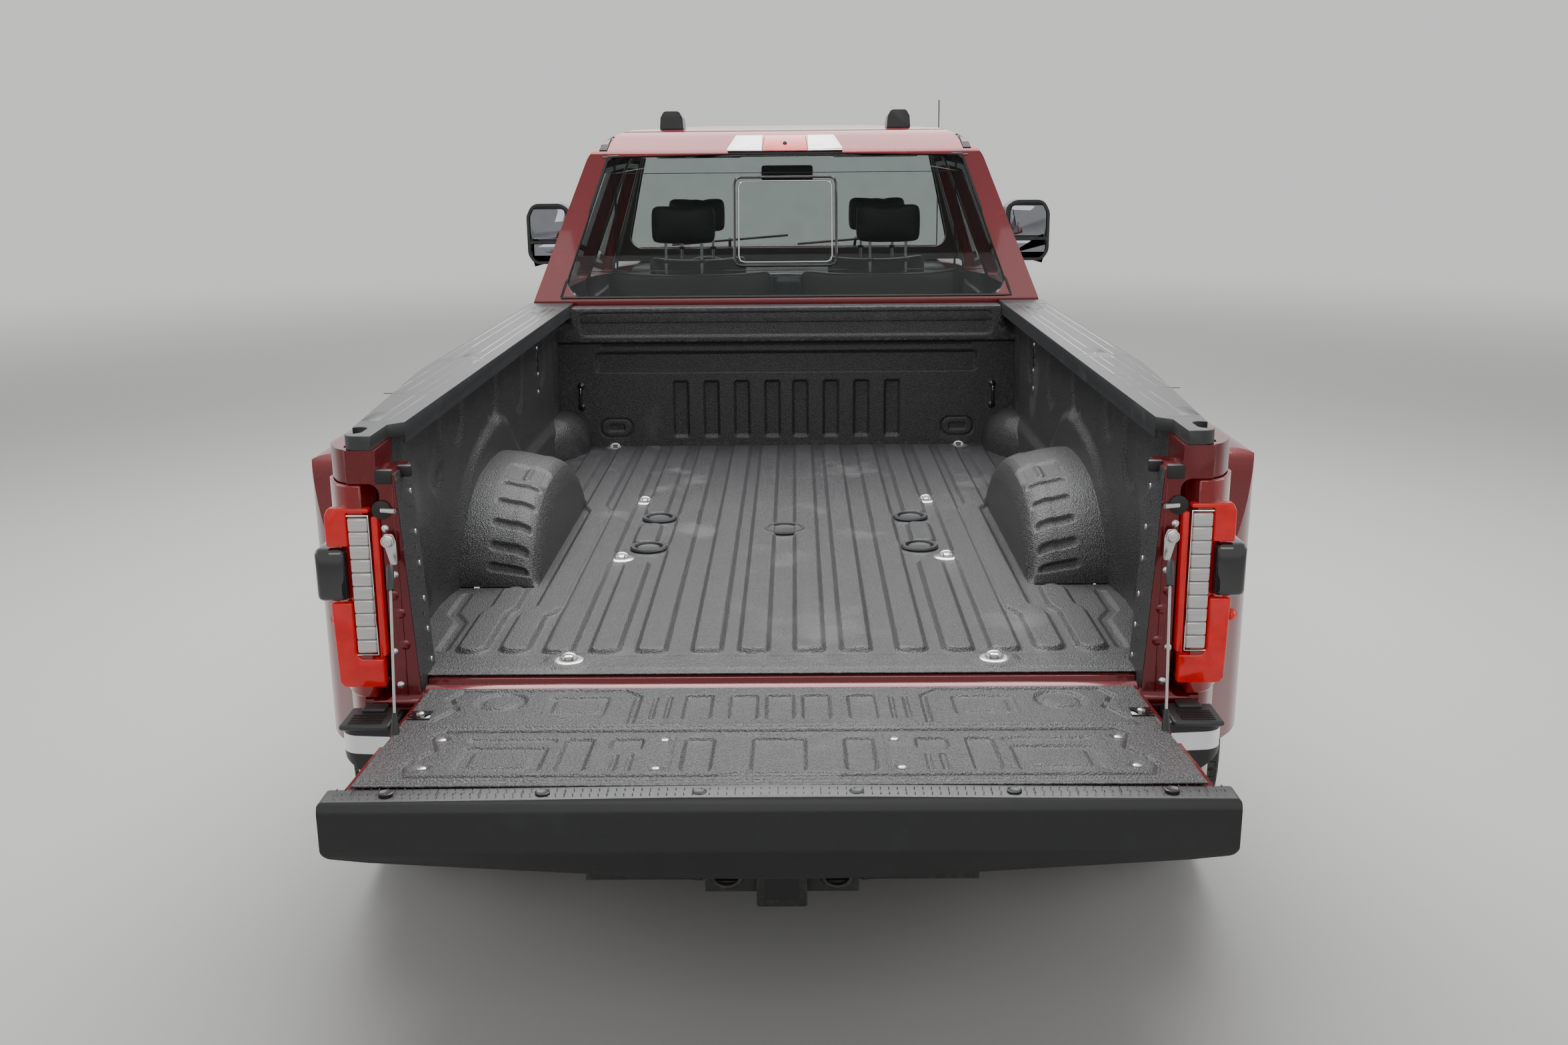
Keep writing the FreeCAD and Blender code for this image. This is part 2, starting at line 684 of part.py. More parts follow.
def plate_corners(u, v, radius):
    """Corners of a rounded rectangle from two (low, high) pairs."""
    return [(u[0], v[0], radius), (u[1], v[0], radius), (u[1], v[1], radius), (u[0], v[1], radius)]


def block(x, y, z):
    """Box from three (low, high) pairs."""
    corner = FreeCAD.Vector(x[0], y[0], z[0])
    return Part.makeBox(x[1] - x[0], y[1] - y[0], z[1] - z[0], corner)


def rod(start, end, radius):
    """Round bar between two points."""
    line = FreeCAD.Vector(*end) - FreeCAD.Vector(*start)
    return Part.makeCylinder(radius, line.Length, FreeCAD.Vector(*start), line)


def turned(corners, centre, axis=ACROSS):
    """Solid of revolution: corners give (place along the axis, distance from it, radius of the corner)."""
    wire = rounded_wire("xy", corners, 0.0)
    solid = Part.Face(wire).revolve(FreeCAD.Vector(0, 0, 0), ACROSS, 360)
    if axis == UPWARD:
        solid.rotate(FreeCAD.Vector(0, 0, 0), ALONG, -90)
    solid.translate(FreeCAD.Vector(*centre))
    return solid


def mirrored(shape):
    """The same shape on the other side of the truck."""
    return shape.mirror(FreeCAD.Vector(0, 0, 0), ACROSS)


def both(shape):
    """A right-hand shape with its left-hand twin, as separate solids."""
    return Part.makeCompound([shape, mirrored(shape)])


def fused(shapes):
    """One solid from shapes that touch or overlap."""
    whole = shapes[0].multiFuse(shapes[1:]) if len(shapes) > 1 else shapes[0]
    return whole.removeSplitter()


def write(name, shape):
    """Store one piece."""
    shape.exportStep(f"parts/{name}.step")


# Wheels
def tyre_shape(x_mid, y, z):
    """Tyre with its tread grooves, turned about its axle."""
    half = TYRE_WIDTH / 2
    bead = RIM_RADIUS + BEAD_GAP
    seat = RIM_HALF - RIM_SHEET - BEAD_GAP
    lip = RIM_RADIUS + RIM_LIP + BEAD_GAP
    corners = [
        (-seat, bead, 0.0), (-seat, lip, 0.0),
        (-RIM_HALF - RIM_LIP, bead + SIDEWALL_TUCK, 0.0),
        (-half, (RIM_RADIUS + TYRE_RADIUS) / 2, SHOULDER_ROUND),
        (-half, TYRE_RADIUS - SHOULDER_ROUND, 0.0),
        (-half + SHOULDER_ROUND, TYRE_RADIUS, 0.0),
    ]
    for share in GROOVE_SHARES:
        middle = share * TYRE_WIDTH
        corners.append((middle - GROOVE_WIDTH / 2, TYRE_RADIUS, 0.0))
        corners.append((middle - GROOVE_WIDTH / 2, TYRE_RADIUS - GROOVE_DEPTH, 0.0))
        corners.append((middle + GROOVE_WIDTH / 2, TYRE_RADIUS - GROOVE_DEPTH, 0.0))
        corners.append((middle + GROOVE_WIDTH / 2, TYRE_RADIUS, 0.0))
    corners += [
        (half - SHOULDER_ROUND, TYRE_RADIUS, 0.0),
        (half, TYRE_RADIUS - SHOULDER_ROUND, 0.0),
        (half, (RIM_RADIUS + TYRE_RADIUS) / 2, SHOULDER_ROUND),
        (RIM_HALF + RIM_LIP, bead + SIDEWALL_TUCK, 0.0),
        (seat, lip, 0.0), (seat, bead, 0.0),
    ]
    return turned(corners, (x_mid, y, z))


def rim_shape(x_mid, y, z, side):
    """Rim barrel with a deeply dished, pierced disc on the side given."""
    outer = RIM_RADIUS
    inner = RIM_RADIUS - RIM_SHEET
    seat = side * WHEEL_DISH
    edge = side * (RIM_HALF - RIM_SHEET)
    thick = side * DISC_SHEET
    barrel = turned([
        (-RIM_HALF, outer + RIM_LIP, 0.0), (-RIM_HALF, inner, 0.0), (RIM_HALF, inner, 0.0),
        (RIM_HALF, outer + RIM_LIP, 0.0), (RIM_HALF - RIM_SHEET, outer + RIM_LIP, 0.0),
        (RIM_HALF - RIM_SHEET, outer, 0.0), (-RIM_HALF + RIM_SHEET, outer, 0.0),
        (-RIM_HALF + RIM_SHEET, outer + RIM_LIP, 0.0),
    ], (x_mid, y, z))
    disc = turned([
        (seat, 0.0, 0.0), (seat, FACE_RADIUS, DISC_SHEET), (edge, inner + RIM_SHEET / 2, 0.0),
        (edge - thick * 2, inner + RIM_SHEET / 2, 0.0),
        (seat - thick, FACE_RADIUS - DISC_SHEET / 2, DISC_SHEET),
        (seat - thick, 0.0, 0.0),
    ], (x_mid, y, z))
    holes = []
    for index in range(HAND_COUNT):
        angle = 2 * math.pi * (index + 0.5) / HAND_COUNT
        high = z + HAND_CIRCLE * math.sin(angle)
        ahead = y + HAND_CIRCLE * math.cos(angle)
        holes.append(rod((x_mid, ahead, high), (x_mid + seat + thick, ahead, high), HAND_HOLE))
    return fused([barrel, disc.cut(Part.makeCompound(holes))])


def wheel_pair(x_mid, y, z):
    """Twin rear wheels, discs face to face, with the long hub that carries them."""
    inner_x = x_mid - TWIN_SPACING / 2
    outer_x = x_mid + TWIN_SPACING / 2
    drum = turned([
        (x_mid - OVERRUN, 0.0, 0.0), (x_mid - OVERRUN, BOLT_CIRCLE + BOLT_HOLE, 0.0),
        (x_mid + DISC_SHEET * 2, BOLT_CIRCLE + BOLT_HOLE, BOLT_HOLE),
        (x_mid + DISC_SHEET * 3, HUB_RADIUS, 0.0),
        (x_mid + HUB_REACH, HUB_RADIUS - BOLT_HOLE, BOLT_HOLE), (x_mid + HUB_REACH, 0.0, 0.0),
    ], (0.0, y, z))
    core = fused([rim_shape(inner_x, y, z, 1), rim_shape(outer_x, y, z, -1), drum])
    bore = rod((inner_x - TYRE_WIDTH, y, z), (x_mid - SPINDLE_END, y, z), SPINDLE_RADIUS + SPINDLE_GAP)
    return Part.makeCompound([core.cut(bore), tyre_shape(inner_x, y, z), tyre_shape(outer_x, y, z)])


def front_wheel(x_mid, y, z):
    """Front wheel with its disc bulging outwards over the hub."""
    seat = x_mid + WHEEL_DISH
    hub = turned([
        (seat - OVERRUN, 0.0, 0.0), (seat - OVERRUN, BOLT_CIRCLE + BOLT_HOLE, 0.0),
        (seat + BOLT_HOLE, BOLT_CIRCLE + BOLT_HOLE, 0.0), (seat + HUB_LENGTH, HUB_RADIUS, BOLT_HOLE),
        (seat + HUB_LENGTH, 0.0, 0.0),
    ], (0.0, y, z))
    bore = rod((x_mid - TYRE_WIDTH, y, z), (seat - SPINDLE_END, y, z), SPINDLE_RADIUS + SPINDLE_GAP)
    return Part.makeCompound([fused([rim_shape(x_mid, y, z, 1), hub]).cut(bore), tyre_shape(x_mid, y, z)])


def spare_wheel():
    """Spare wheel lying flat behind the axle, disc upwards."""
    wheel = Part.makeCompound([rim_shape(0.0, 0.0, 0.0, 1), tyre_shape(0.0, 0.0, 0.0)])
    wheel.rotate(FreeCAD.Vector(0, 0, 0), ALONG, -90)
    wheel.translate(FreeCAD.Vector(0.0, AXLE_REAR - SPARE_SETBACK, SPARE_HEIGHT))
    return wheel


# Steering and axles
def knuckle():
    """Right-hand steering knuckle with its spindle, brake disc and steering arm."""
    level = TYRE_RADIUS
    tall = KINGPIN_RISE - YOKE_CLEARANCE
    upright = rod((KINGPIN_X, AXLE_FRONT, level - tall), (KINGPIN_X, AXLE_FRONT, level + tall),
                  KNUCKLE_RADIUS)
    reach = FRONT_WHEEL_X + WHEEL_DISH - SPINDLE_END * 2
    spindle = rod((KINGPIN_X, AXLE_FRONT, level), (reach, AXLE_FRONT, level), SPINDLE_RADIUS)
    disc_x = FRONT_WHEEL_X - RIM_HALF + BRAKE_WIDTH / 2
    disc = rod((disc_x, AXLE_FRONT, level), (disc_x + BRAKE_WIDTH, AXLE_FRONT, level), BRAKE_RADIUS)
    pin_y = AXLE_FRONT + TIE_REACH
    top = level - TIE_DROP + TIE_BALL + SEAT_GAP + ARM_HEIGHT
    arm = block(
        (KINGPIN_X - ARM_WIDTH / 2, KINGPIN_X + ARM_WIDTH / 2), (AXLE_FRONT, pin_y), (top - ARM_HEIGHT,
                                                                                      top))
    eye = rod((KINGPIN_X, pin_y, top - ARM_HEIGHT), (KINGPIN_X, pin_y, top), ARM_WIDTH / 2)
    body = fused([upright, spindle, disc, arm, eye])
    stud_hole = rod((KINGPIN_X, pin_y, top - OVERRUN), (KINGPIN_X, pin_y, top + OVERRUN),
                    HINGE_PIN + HINGE_GAP)
    cuts = [stud_hole]
    for way in (-1, 1):
        cuts.append(rod(
            (KINGPIN_X, AXLE_FRONT, level + way * (tall - KNUCKLE_RADIUS)),
            (KINGPIN_X, AXLE_FRONT, level + way * (tall + OVERRUN)), KNUCKLE_RADIUS / 2 + HINGE_GAP))
    return body.cut(Part.makeCompound(cuts))


def tie_rod():
    """Track rod between the two steering arms, with its studs."""
    pin_y = AXLE_FRONT + TIE_REACH
    level = TYRE_RADIUS - TIE_DROP
    bar = rod((-KINGPIN_X, pin_y, level), (KINGPIN_X, pin_y, level), TIE_RADIUS)
    shapes = [bar]
    for way in (-1, 1):
        x = way * KINGPIN_X
        shapes.append(rod((x, pin_y, level - TIE_BALL), (x, pin_y, level + TIE_BALL), TIE_BALL))
        shapes.append(rod((x, pin_y, level), (x, pin_y, level + TIE_BALL + ARM_HEIGHT), HINGE_PIN))
    return fused(shapes)


def diff_housing(radius, centre):
    """Round differential housing with tapering sides."""
    corners = [
        (-radius * 0.9, 0.0, 0.0), (-radius * 0.9, radius * 0.45, 0.0),
        (-radius * 0.35, radius, radius * 0.3),
        (radius * 0.35, radius, radius * 0.3), (radius * 0.9, radius * 0.45, 0.0), (radius * 0.9, 0.0, 0.0),
    ]
    return turned(corners, centre)


def front_axle():
    """Live front axle: tube, offset differential and the yokes that hold the kingpins."""
    level = TYRE_RADIUS
    root = KINGPIN_X - YOKE_WIDTH
    shapes = [
        rod((-root, AXLE_FRONT, level), (root, AXLE_FRONT, level), AXLE_TUBE),
        diff_housing(DIFF_RADIUS, (DIFF_OFFSET, AXLE_FRONT, level)),
    ]
    high = KINGPIN_RISE + KNUCKLE_RADIUS
    for way in (-1, 1):
        near, far = sorted((way * (root - KNUCKLE_RADIUS), way * root))
        depth = (AXLE_FRONT - YOKE_WIDTH / 2, AXLE_FRONT + YOKE_WIDTH / 2)
        shapes.append(block((near, far), depth, (level - high, level + high)))
        near, far = sorted((way * root, way * (KINGPIN_X + KNUCKLE_RADIUS / 2)))
        shapes.append(block((near, far), depth, (level + KINGPIN_RISE, level + high)))
        shapes.append(block((near, far), depth, (level - high, level - KINGPIN_RISE)))
        for end in (-1, 1):
            start = level + end * (KINGPIN_RISE - YOKE_CLEARANCE - KNUCKLE_RADIUS + SPINDLE_END)
            stop = level + end * high
            shapes.append(rod((way * KINGPIN_X, AXLE_FRONT, start), (way * KINGPIN_X, AXLE_FRONT, stop),
                              KNUCKLE_RADIUS / 2))
    return fused(shapes)


def rear_axle():
    """Live rear axle with its differential, brake discs and spring seats."""
    level = TYRE_RADIUS
    tip = REAR_WHEEL_X - SPINDLE_END * 2
    disc_x = REAR_WHEEL_X - TWIN_SPACING / 2 - RIM_HALF + BRAKE_WIDTH / 2
    shapes = [
        rod((-tip, AXLE_REAR, level), (tip, AXLE_REAR, level), SPINDLE_RADIUS),
        diff_housing(REAR_DIFF_RADIUS, (0.0, AXLE_REAR, level)),
    ]
    for way in (-1, 1):
        shapes.append(rod((way * disc_x, AXLE_REAR, level),
                          (way * (disc_x + BRAKE_WIDTH), AXLE_REAR, level),
                          BRAKE_RADIUS))
        near, far = sorted((way * (LEAF_X - LEAF_WIDTH / 2), way * (LEAF_X + LEAF_WIDTH / 2)))
        shapes.append(block((near, far), (AXLE_REAR - LEAF_WIDTH, AXLE_REAR + LEAF_WIDTH),
                            (level, level + LEAF_SEAT)))
    return fused(shapes)


# Chassis frame
def rail_front():
    """Front end of the rails, at the back of the bumper."""
    return AXLE_FRONT + FRONT_OVERHANG - BUMPER_SHEET - SEAT_GAP


def rail_rear():
    """Rear end of the rails, at the front of the rear bumper."""
    return BED_REAR - RAIL_REAR_REACH


def rail_tops():
    """Top line of a rail from the rear end to the front end."""
    drop_start = CAB_REAR - KICK_LENGTH
    rise_start = CAB_FRONT
    return [
        (rail_rear(), RAIL_REAR_TOP, 0.0), (drop_start, RAIL_REAR_TOP, KICK_ROUND),
        (CAB_REAR, RAIL_MID_TOP, KICK_ROUND), (rise_start, RAIL_MID_TOP, KICK_ROUND),
        (rise_start + KICK_LENGTH / 2, RAIL_FRONT_TOP, KICK_ROUND), (rail_front(), RAIL_FRONT_TOP, 0.0),
    ]


def rail_top(y):
    """Height of the rail's top at a place along the truck."""
    line = rail_tops()
    for (y0, z0, _), (y1, z1, _) in zip(line, line[1:]):
        if y0 <= y <= y1:
            return z0 + (z1 - z0) * (y - y0) / (y1 - y0)
    return RAIL_REAR_TOP


def frame():
    """Ladder frame: two channel rails, cross tubes, body mounts, spring hangers and engine mounts."""
    tops = rail_tops()
    bottoms = [(y, z - RAIL_DEPTH, r) for y, z, r in reversed(tops)]
    inner = RAIL_OUTER - RAIL_WIDTH
    rail = slab("yz", tops + bottoms, inner, RAIL_OUTER)
    rail = rail.cut(slab("yz", tops + bottoms, inner - OVERRUN, RAIL_OUTER - RAIL_WALL, RAIL_WALL))
    shapes = [rail, mirrored(rail)]
    length = rail_front() - rail_rear()
    places = [rail_rear() + share * length for share in CROSS_SHARES] + [AXLE_REAR - SPARE_SETBACK]
    for y in places:
        z = rail_top(y) - CROSS_TUBE
        reach = RAIL_OUTER - RAIL_WALL / 2
        shapes.append(rod((-reach, y, z), (reach, y, z), CROSS_TUBE / 2))
    spare_y = AXLE_REAR - SPARE_SETBACK
    spare_seat = SPARE_HEIGHT + WHEEL_DISH + SEAT_GAP
    shapes.append(rod((0, spare_y, spare_seat), (0, spare_y, rail_top(spare_y) - CROSS_TUBE),
                      CARRIER_RADIUS))
    shapes.append(rod((0, spare_y, spare_seat), (0, spare_y, spare_seat + CARRIER_RADIUS), HUB_RADIUS))
    pan = CAB_FLOOR - FLOOR_PAN - SEAT_GAP
    for way in (-1, 1):
        for share in CAB_MOUNT_SHARES:
            y = CAB_REAR + share * CAB_LENGTH
            near, far = sorted((way * (RAIL_OUTER - RAIL_WALL), way * (RAIL_OUTER + MOUNT_ARM)))
            plate = (RAIL_MID_TOP - MOUNT_PLATE, RAIL_MID_TOP)
            shapes.append(block((near, far), (y - MOUNT_RADIUS, y + MOUNT_RADIUS), plate))
            x = way * (RAIL_OUTER + MOUNT_ARM - MOUNT_RADIUS)
            shapes.append(rod((x, y, RAIL_MID_TOP - MOUNT_PLATE), (x, y, pan), MOUNT_RADIUS * 0.9))
        shapes += spring_hangers(way)
        shapes += engine_mounts(way)
    shapes.append(gearbox_bridge())
    return fused(shapes)


def spring_hangers(way):
    """Brackets that carry the ends of the leaf spring, the coil tower and the radius-arm bracket."""
    near, far = sorted((way * (RAIL_OUTER - RAIL_WALL), way * (LEAF_X + LEAF_WIDTH / 2)))
    eye = TYRE_RADIUS + LEAF_SEAT + LEAF_CAMBER + LEAF_STACK
    shapes = []
    for y in (AXLE_REAR + LEAF_HALF_FRONT - EYE_RADIUS, AXLE_REAR - LEAF_HALF_REAR + EYE_RADIUS):
        shapes.append(block((near, far), (y - EYE_RADIUS, y + EYE_RADIUS),
                            (eye + SEAT_GAP, rail_top(y) - RAIL_DEPTH / 2)))
    near, far = sorted((way * (RAIL_OUTER - RAIL_WALL), way * (RAIL_OUTER + TOWER_REACH)))
    top = RAIL_FRONT_TOP
    shapes.append(block((near, far), (AXLE_FRONT - TOWER_LENGTH * 0.62, AXLE_FRONT + TOWER_LENGTH * 0.38),
                        (top - TOWER_SHEET, top)))
    near, far = sorted((way * (RAIL_OUTER - RAIL_WALL), way * (RAIL_OUTER + MOUNT_RADIUS)))
    y = AXLE_FRONT - ARM_LENGTH
    shapes.append(block((near, far), (y - MOUNT_RADIUS, y),
                        (RAIL_MID_TOP - RAIL_DEPTH, RAIL_MID_TOP - RAIL_DEPTH / 2)))
    return shapes


def engine_mounts(way):
    """Bracket between a rail and the engine's side."""
    near, far = sorted((way * (ENGINE_HALF + SEAT_GAP), way * (RAIL_OUTER - RAIL_WALL)))
    y = HOOD_REAR + ENGINE_LENGTH / 2
    low = RAIL_FRONT_TOP - RAIL_DEPTH
    return [block((near, far), (y - MOUNT_RADIUS, y + MOUNT_RADIUS), (low, low + MOUNT_RADIUS))]


def gearbox_bridge():
    """Dropped cross member that the gearbox rests on."""
    y = HOOD_REAR - GEARBOX_LENGTH + MOUNT_RADIUS
    half = RAIL_OUTER - RAIL_WALL
    rest = SHAFT_HEIGHT - GEARBOX_END - SEAT_GAP - RAIL_WALL
    low = RAIL_MID_TOP - RAIL_DEPTH
    corners = plain([
        (-half, low), (-half + RAIL_WIDTH, low), (-GEARBOX_RADIUS, rest - TOWER_SHEET),
        (GEARBOX_RADIUS, rest - TOWER_SHEET), (half - RAIL_WIDTH, low), (half, low),
        (half, low + RAIL_WALL), (half - RAIL_WIDTH, low + TOWER_SHEET), (GEARBOX_RADIUS, rest),
        (-GEARBOX_RADIUS, rest), (-half + RAIL_WIDTH, low + TOWER_SHEET), (-half, low + RAIL_WALL),
    ])
    return slab("xz", corners, y - MOUNT_RADIUS, y + MOUNT_RADIUS)


# Driveline, tank and exhaust
def engine_block():
    """Plain block at the engine's place."""
    return block((-ENGINE_HALF, ENGINE_HALF), (HOOD_REAR, HOOD_REAR + ENGINE_LENGTH),
                 (ENGINE_BASE, ENGINE_TOP))


def driveline():
    """Gearbox, transfer case and the shafts to both axles."""
    start = HOOD_REAR - SEAT_GAP
    gearbox_rear = start - GEARBOX_LENGTH
    box = Part.makeCone(GEARBOX_RADIUS, GEARBOX_END, GEARBOX_LENGTH,
                        FreeCAD.Vector(0, start, SHAFT_HEIGHT), FreeCAD.Vector(0, -1, 0))
    case_rear = gearbox_rear - TRANSFER_LENGTH
    case = rod((0, gearbox_rear, SHAFT_HEIGHT), (0, case_rear, SHAFT_HEIGHT), GEARBOX_END)
    drop = rod((DIFF_OFFSET, gearbox_rear, SHAFT_HEIGHT), (DIFF_OFFSET, case_rear, SHAFT_HEIGHT),
               SHAFT_RADIUS * 1.4)
    bridge = block((DIFF_OFFSET, 0), (case_rear + RAIL_WALL, gearbox_rear - RAIL_WALL),
                   (SHAFT_HEIGHT - SHAFT_RADIUS, SHAFT_HEIGHT + SHAFT_RADIUS))
    rear_shaft = rod((0, case_rear, SHAFT_HEIGHT),
                     (0, AXLE_REAR + REAR_DIFF_RADIUS + TILT_GAP, TYRE_RADIUS),
                     SHAFT_RADIUS)
    front_shaft = rod((DIFF_OFFSET, gearbox_rear, SHAFT_HEIGHT),
                      (DIFF_OFFSET, AXLE_FRONT - DIFF_RADIUS - FRONT_SHAFT_RADIUS / 2, TYRE_RADIUS),
                      FRONT_SHAFT_RADIUS)
    return fused([box, case, drop, bridge, rear_shaft, front_shaft])


def fuel_tank():
    """Tank outside the left rail."""
    inner = -RAIL_OUTER - SEAT_GAP
    corners = [
        (inner - TANK_WIDTH, TANK_BASE, TANK_ROUND), (inner, TANK_BASE, TANK_ROUND),
        (inner, TANK_BASE + TANK_HEIGHT, TANK_ROUND / 2),
        (inner - TANK_WIDTH, TANK_BASE + TANK_HEIGHT, TANK_ROUND),
    ]
    return slab("xz", corners, TANK_REAR, TANK_REAR + TANK_LENGTH)


def pipe(points, radius):
    """Round pipe along straight runs, with ball corners."""
    shapes = [rod(start, end, radius) for start, end in zip(points, points[1:])]
    shapes += [Part.makeSphere(radius, FreeCAD.Vector(*point)) for point in points[1:-1]]
    return fused(shapes)


def exhaust():
    """Exhaust with its silencer and tailpipe, on the right."""
    front = MUFFLER_REAR + MUFFLER_LENGTH
    silencer = rod((EXHAUST_X, MUFFLER_REAR, EXHAUST_HEIGHT), (EXHAUST_X, front, EXHAUST_HEIGHT),
                   MUFFLER_RADIUS)
    bend_y = AXLE_REAR - TYRE_RADIUS - EXHAUST_RADIUS * 3
    tail = pipe([
        (EXHAUST_X, MUFFLER_REAR, EXHAUST_HEIGHT), (EXHAUST_X, bend_y, EXHAUST_HEIGHT),
        (TAILPIPE_X - EXHAUST_RADIUS * 3, bend_y - EXHAUST_RADIUS * 2, TAILPIPE_HEIGHT),
        (TAILPIPE_X, bend_y - EXHAUST_RADIUS * 3, TAILPIPE_HEIGHT),
    ], EXHAUST_RADIUS)
    low = RAIL_MID_TOP - RAIL_DEPTH - EXHAUST_RADIUS - SEAT_GAP
    crossing = HOOD_REAR - GEARBOX_LENGTH + MOUNT_RADIUS * 2 + EXHAUST_RADIUS * 2
    head = pipe([
        (EXHAUST_X, front, EXHAUST_HEIGHT), (EXHAUST_X, front + MUFFLER_LENGTH / 3, low),
        (EXHAUST_X, crossing, low),
        (GEARBOX_RADIUS + EXHAUST_RADIUS * 2, crossing + MUFFLER_LENGTH / 3, low),
    ], EXHAUST_RADIUS)
    return fused([silencer, tail, head])


# Springs and dampers
def leaf_spring():
    """Curved leaf pack over the rear axle, on the right."""
    base = TYRE_RADIUS + LEAF_SEAT + SEAT_GAP
    lift = base + LEAF_CAMBER
    sweep = WHEELBASE / 2
    corners = [
        (AXLE_REAR - LEAF_HALF_REAR, lift, 0.0), (AXLE_REAR, base - LEAF_CAMBER / 2, sweep),
        (AXLE_REAR + LEAF_HALF_FRONT, lift, 0.0),
        (AXLE_REAR + LEAF_HALF_FRONT, lift + LEAF_STACK, 0.0), (AXLE_REAR, base + LEAF_STACK, sweep),
        (AXLE_REAR - LEAF_HALF_REAR, lift + LEAF_STACK, 0.0),
    ]
    leaf = slab("yz", corners, LEAF_X - LEAF_WIDTH / 2, LEAF_X + LEAF_WIDTH / 2)
    seat = block((LEAF_X - LEAF_WIDTH, LEAF_X + LEAF_WIDTH),
                 (AXLE_REAR - LEAF_WIDTH, AXLE_REAR + LEAF_WIDTH),
                 (TYRE_RADIUS - OVERRUN, base))
    return leaf.cut(seat)


def coil_spring():
    """Front coil as a ribbed sleeve, on the right."""
    low = TYRE_RADIUS + AXLE_TUBE + SEAT_GAP
    high = RAIL_FRONT_TOP - TOWER_SHEET - SEAT_GAP
    pitch = (high - low) / COIL_TURNS
    inner = COIL_RADIUS - COIL_WIRE * 2
    corners = [(low, 0.0, 0.0)]
    for turn in range(COIL_TURNS):
        start = low + turn * pitch
        corners.append((start, inner, 0.0))
        corners.append((start + pitch / 2, COIL_RADIUS + COIL_WIRE, COIL_WIRE))
    corners += [(high, inner, 0.0), (high, 0.0, 0.0)]
    return turned(corners, (COIL_X, AXLE_FRONT, 0.0), UPWARD)


def damper(low, high):
    """Telescopic damper between two points."""
    foot = FreeCAD.Vector(*low)
    run = FreeCAD.Vector(*high) - foot
    middle = foot + run * 0.55
    return fused([rod(low, tuple(middle), DAMPER_RADIUS), rod(tuple(middle), high, DAMPER_ROD)])


def suspension():
    """Springs, dampers and radius arms of both axles."""
    axle = FreeCAD.Vector(COIL_X - DAMPER_RADIUS, AXLE_FRONT, TYRE_RADIUS)
    bracket = FreeCAD.Vector(axle.x, AXLE_FRONT - ARM_LENGTH + DAMPER_RADIUS / 4,
                             RAIL_MID_TOP - RAIL_DEPTH / 1.4)
    run = (bracket - axle).normalize()
    arm = rod(tuple(axle + run * (AXLE_TUBE + SEAT_GAP)), tuple(bracket), DAMPER_RADIUS * 0.8)
    front = damper((COIL_X + COIL_RADIUS + DAMPER_RADIUS, AXLE_FRONT - TOWER_LENGTH * 0.5,
                    TYRE_RADIUS + AXLE_TUBE),
                   (COIL_X + COIL_RADIUS + DAMPER_RADIUS / 2, AXLE_FRONT - TOWER_LENGTH * 0.5,
                    RAIL_FRONT_TOP - TOWER_SHEET - TILT_GAP))
    rear = damper((RAIL_OUTER - RAIL_WIDTH * 1.6, AXLE_REAR + SPINDLE_RADIUS + DAMPER_RADIUS * 0.95,
                   TYRE_RADIUS),
                  (RAIL_OUTER - RAIL_WIDTH * 1.6, AXLE_REAR + SPINDLE_RADIUS + DAMPER_RADIUS * 4,
                   RAIL_REAR_TOP - RAIL_WALL))
    shapes = [leaf_spring(), coil_spring(), arm, front, rear]
    return Part.makeCompound(shapes + [mirrored(shape) for shape in shapes])


# Cab
def symmetric(shares):
    """Whole outline from its right half, whose first and last corners lie on the middle line."""
    right = list(shares[1:-1])
    return right + [(-u, v, r) for u, v, r in reversed(right)]


def cab_section():
    """Cross-section of the cab."""
    return outline(symmetric(CAB_SECTION_SHARES), (0.0, BODY_BASE), (BODY_HALF, ROOF_HEIGHT - BODY_BASE),
                   CAB_RADIUS)


def cab_side():
    """Side outline of the cab."""
    size = (CAB_LENGTH, ROOF_HEIGHT - BODY_BASE)
    return outline(CAB_SIDE_SHARES, (CAB_REAR, BODY_BASE), size, CAB_RADIUS)


def cab_width(inset, start, end):
    """Run of the cab's cross-section, drawn in by inset."""
    return slab("xz", cab_section(), start, end, inset)


def cab_solid(inset):
    """Cab as a solid, drawn in by inset all round."""
    run = cab_width(inset, CAB_REAR - OVERRUN, CAB_FRONT + OVERRUN)
    return run.common(slab("yz", cab_side(), -BODY_HALF - OVERRUN, BODY_HALF + OVERRUN, inset))


def door_outline(shares, start, length):
    """Outline of a door or its window, seen from the side."""
    return outline(shares, (CAB_REAR + start, DOOR_BASE), (length, DOOR_HEIGHT), CAB_RADIUS)


def side_cut(corners, inset=0.0):
    """Prism across both sides of the body from a side outline, leaving out the middle."""
    right = slab("yz", corners, BODY_HALF / 3, BODY_HALF + OVERRUN, inset)
    return Part.makeCompound([right, mirrored(right)])


def screen_outline():
    """Windscreen opening seen from the front."""
    return outline(SCREEN_SHARES, (0.0, SCREEN_BASE), (BODY_HALF, SCREEN_RISE), CAB_RADIUS)


def backlight_outline():
    """Rear window opening seen from behind."""
    return outline(BACKLIGHT_SHARES, (0.0, BACKLIGHT_BASE), (BODY_HALF, BACKLIGHT_RISE), CAB_RADIUS)


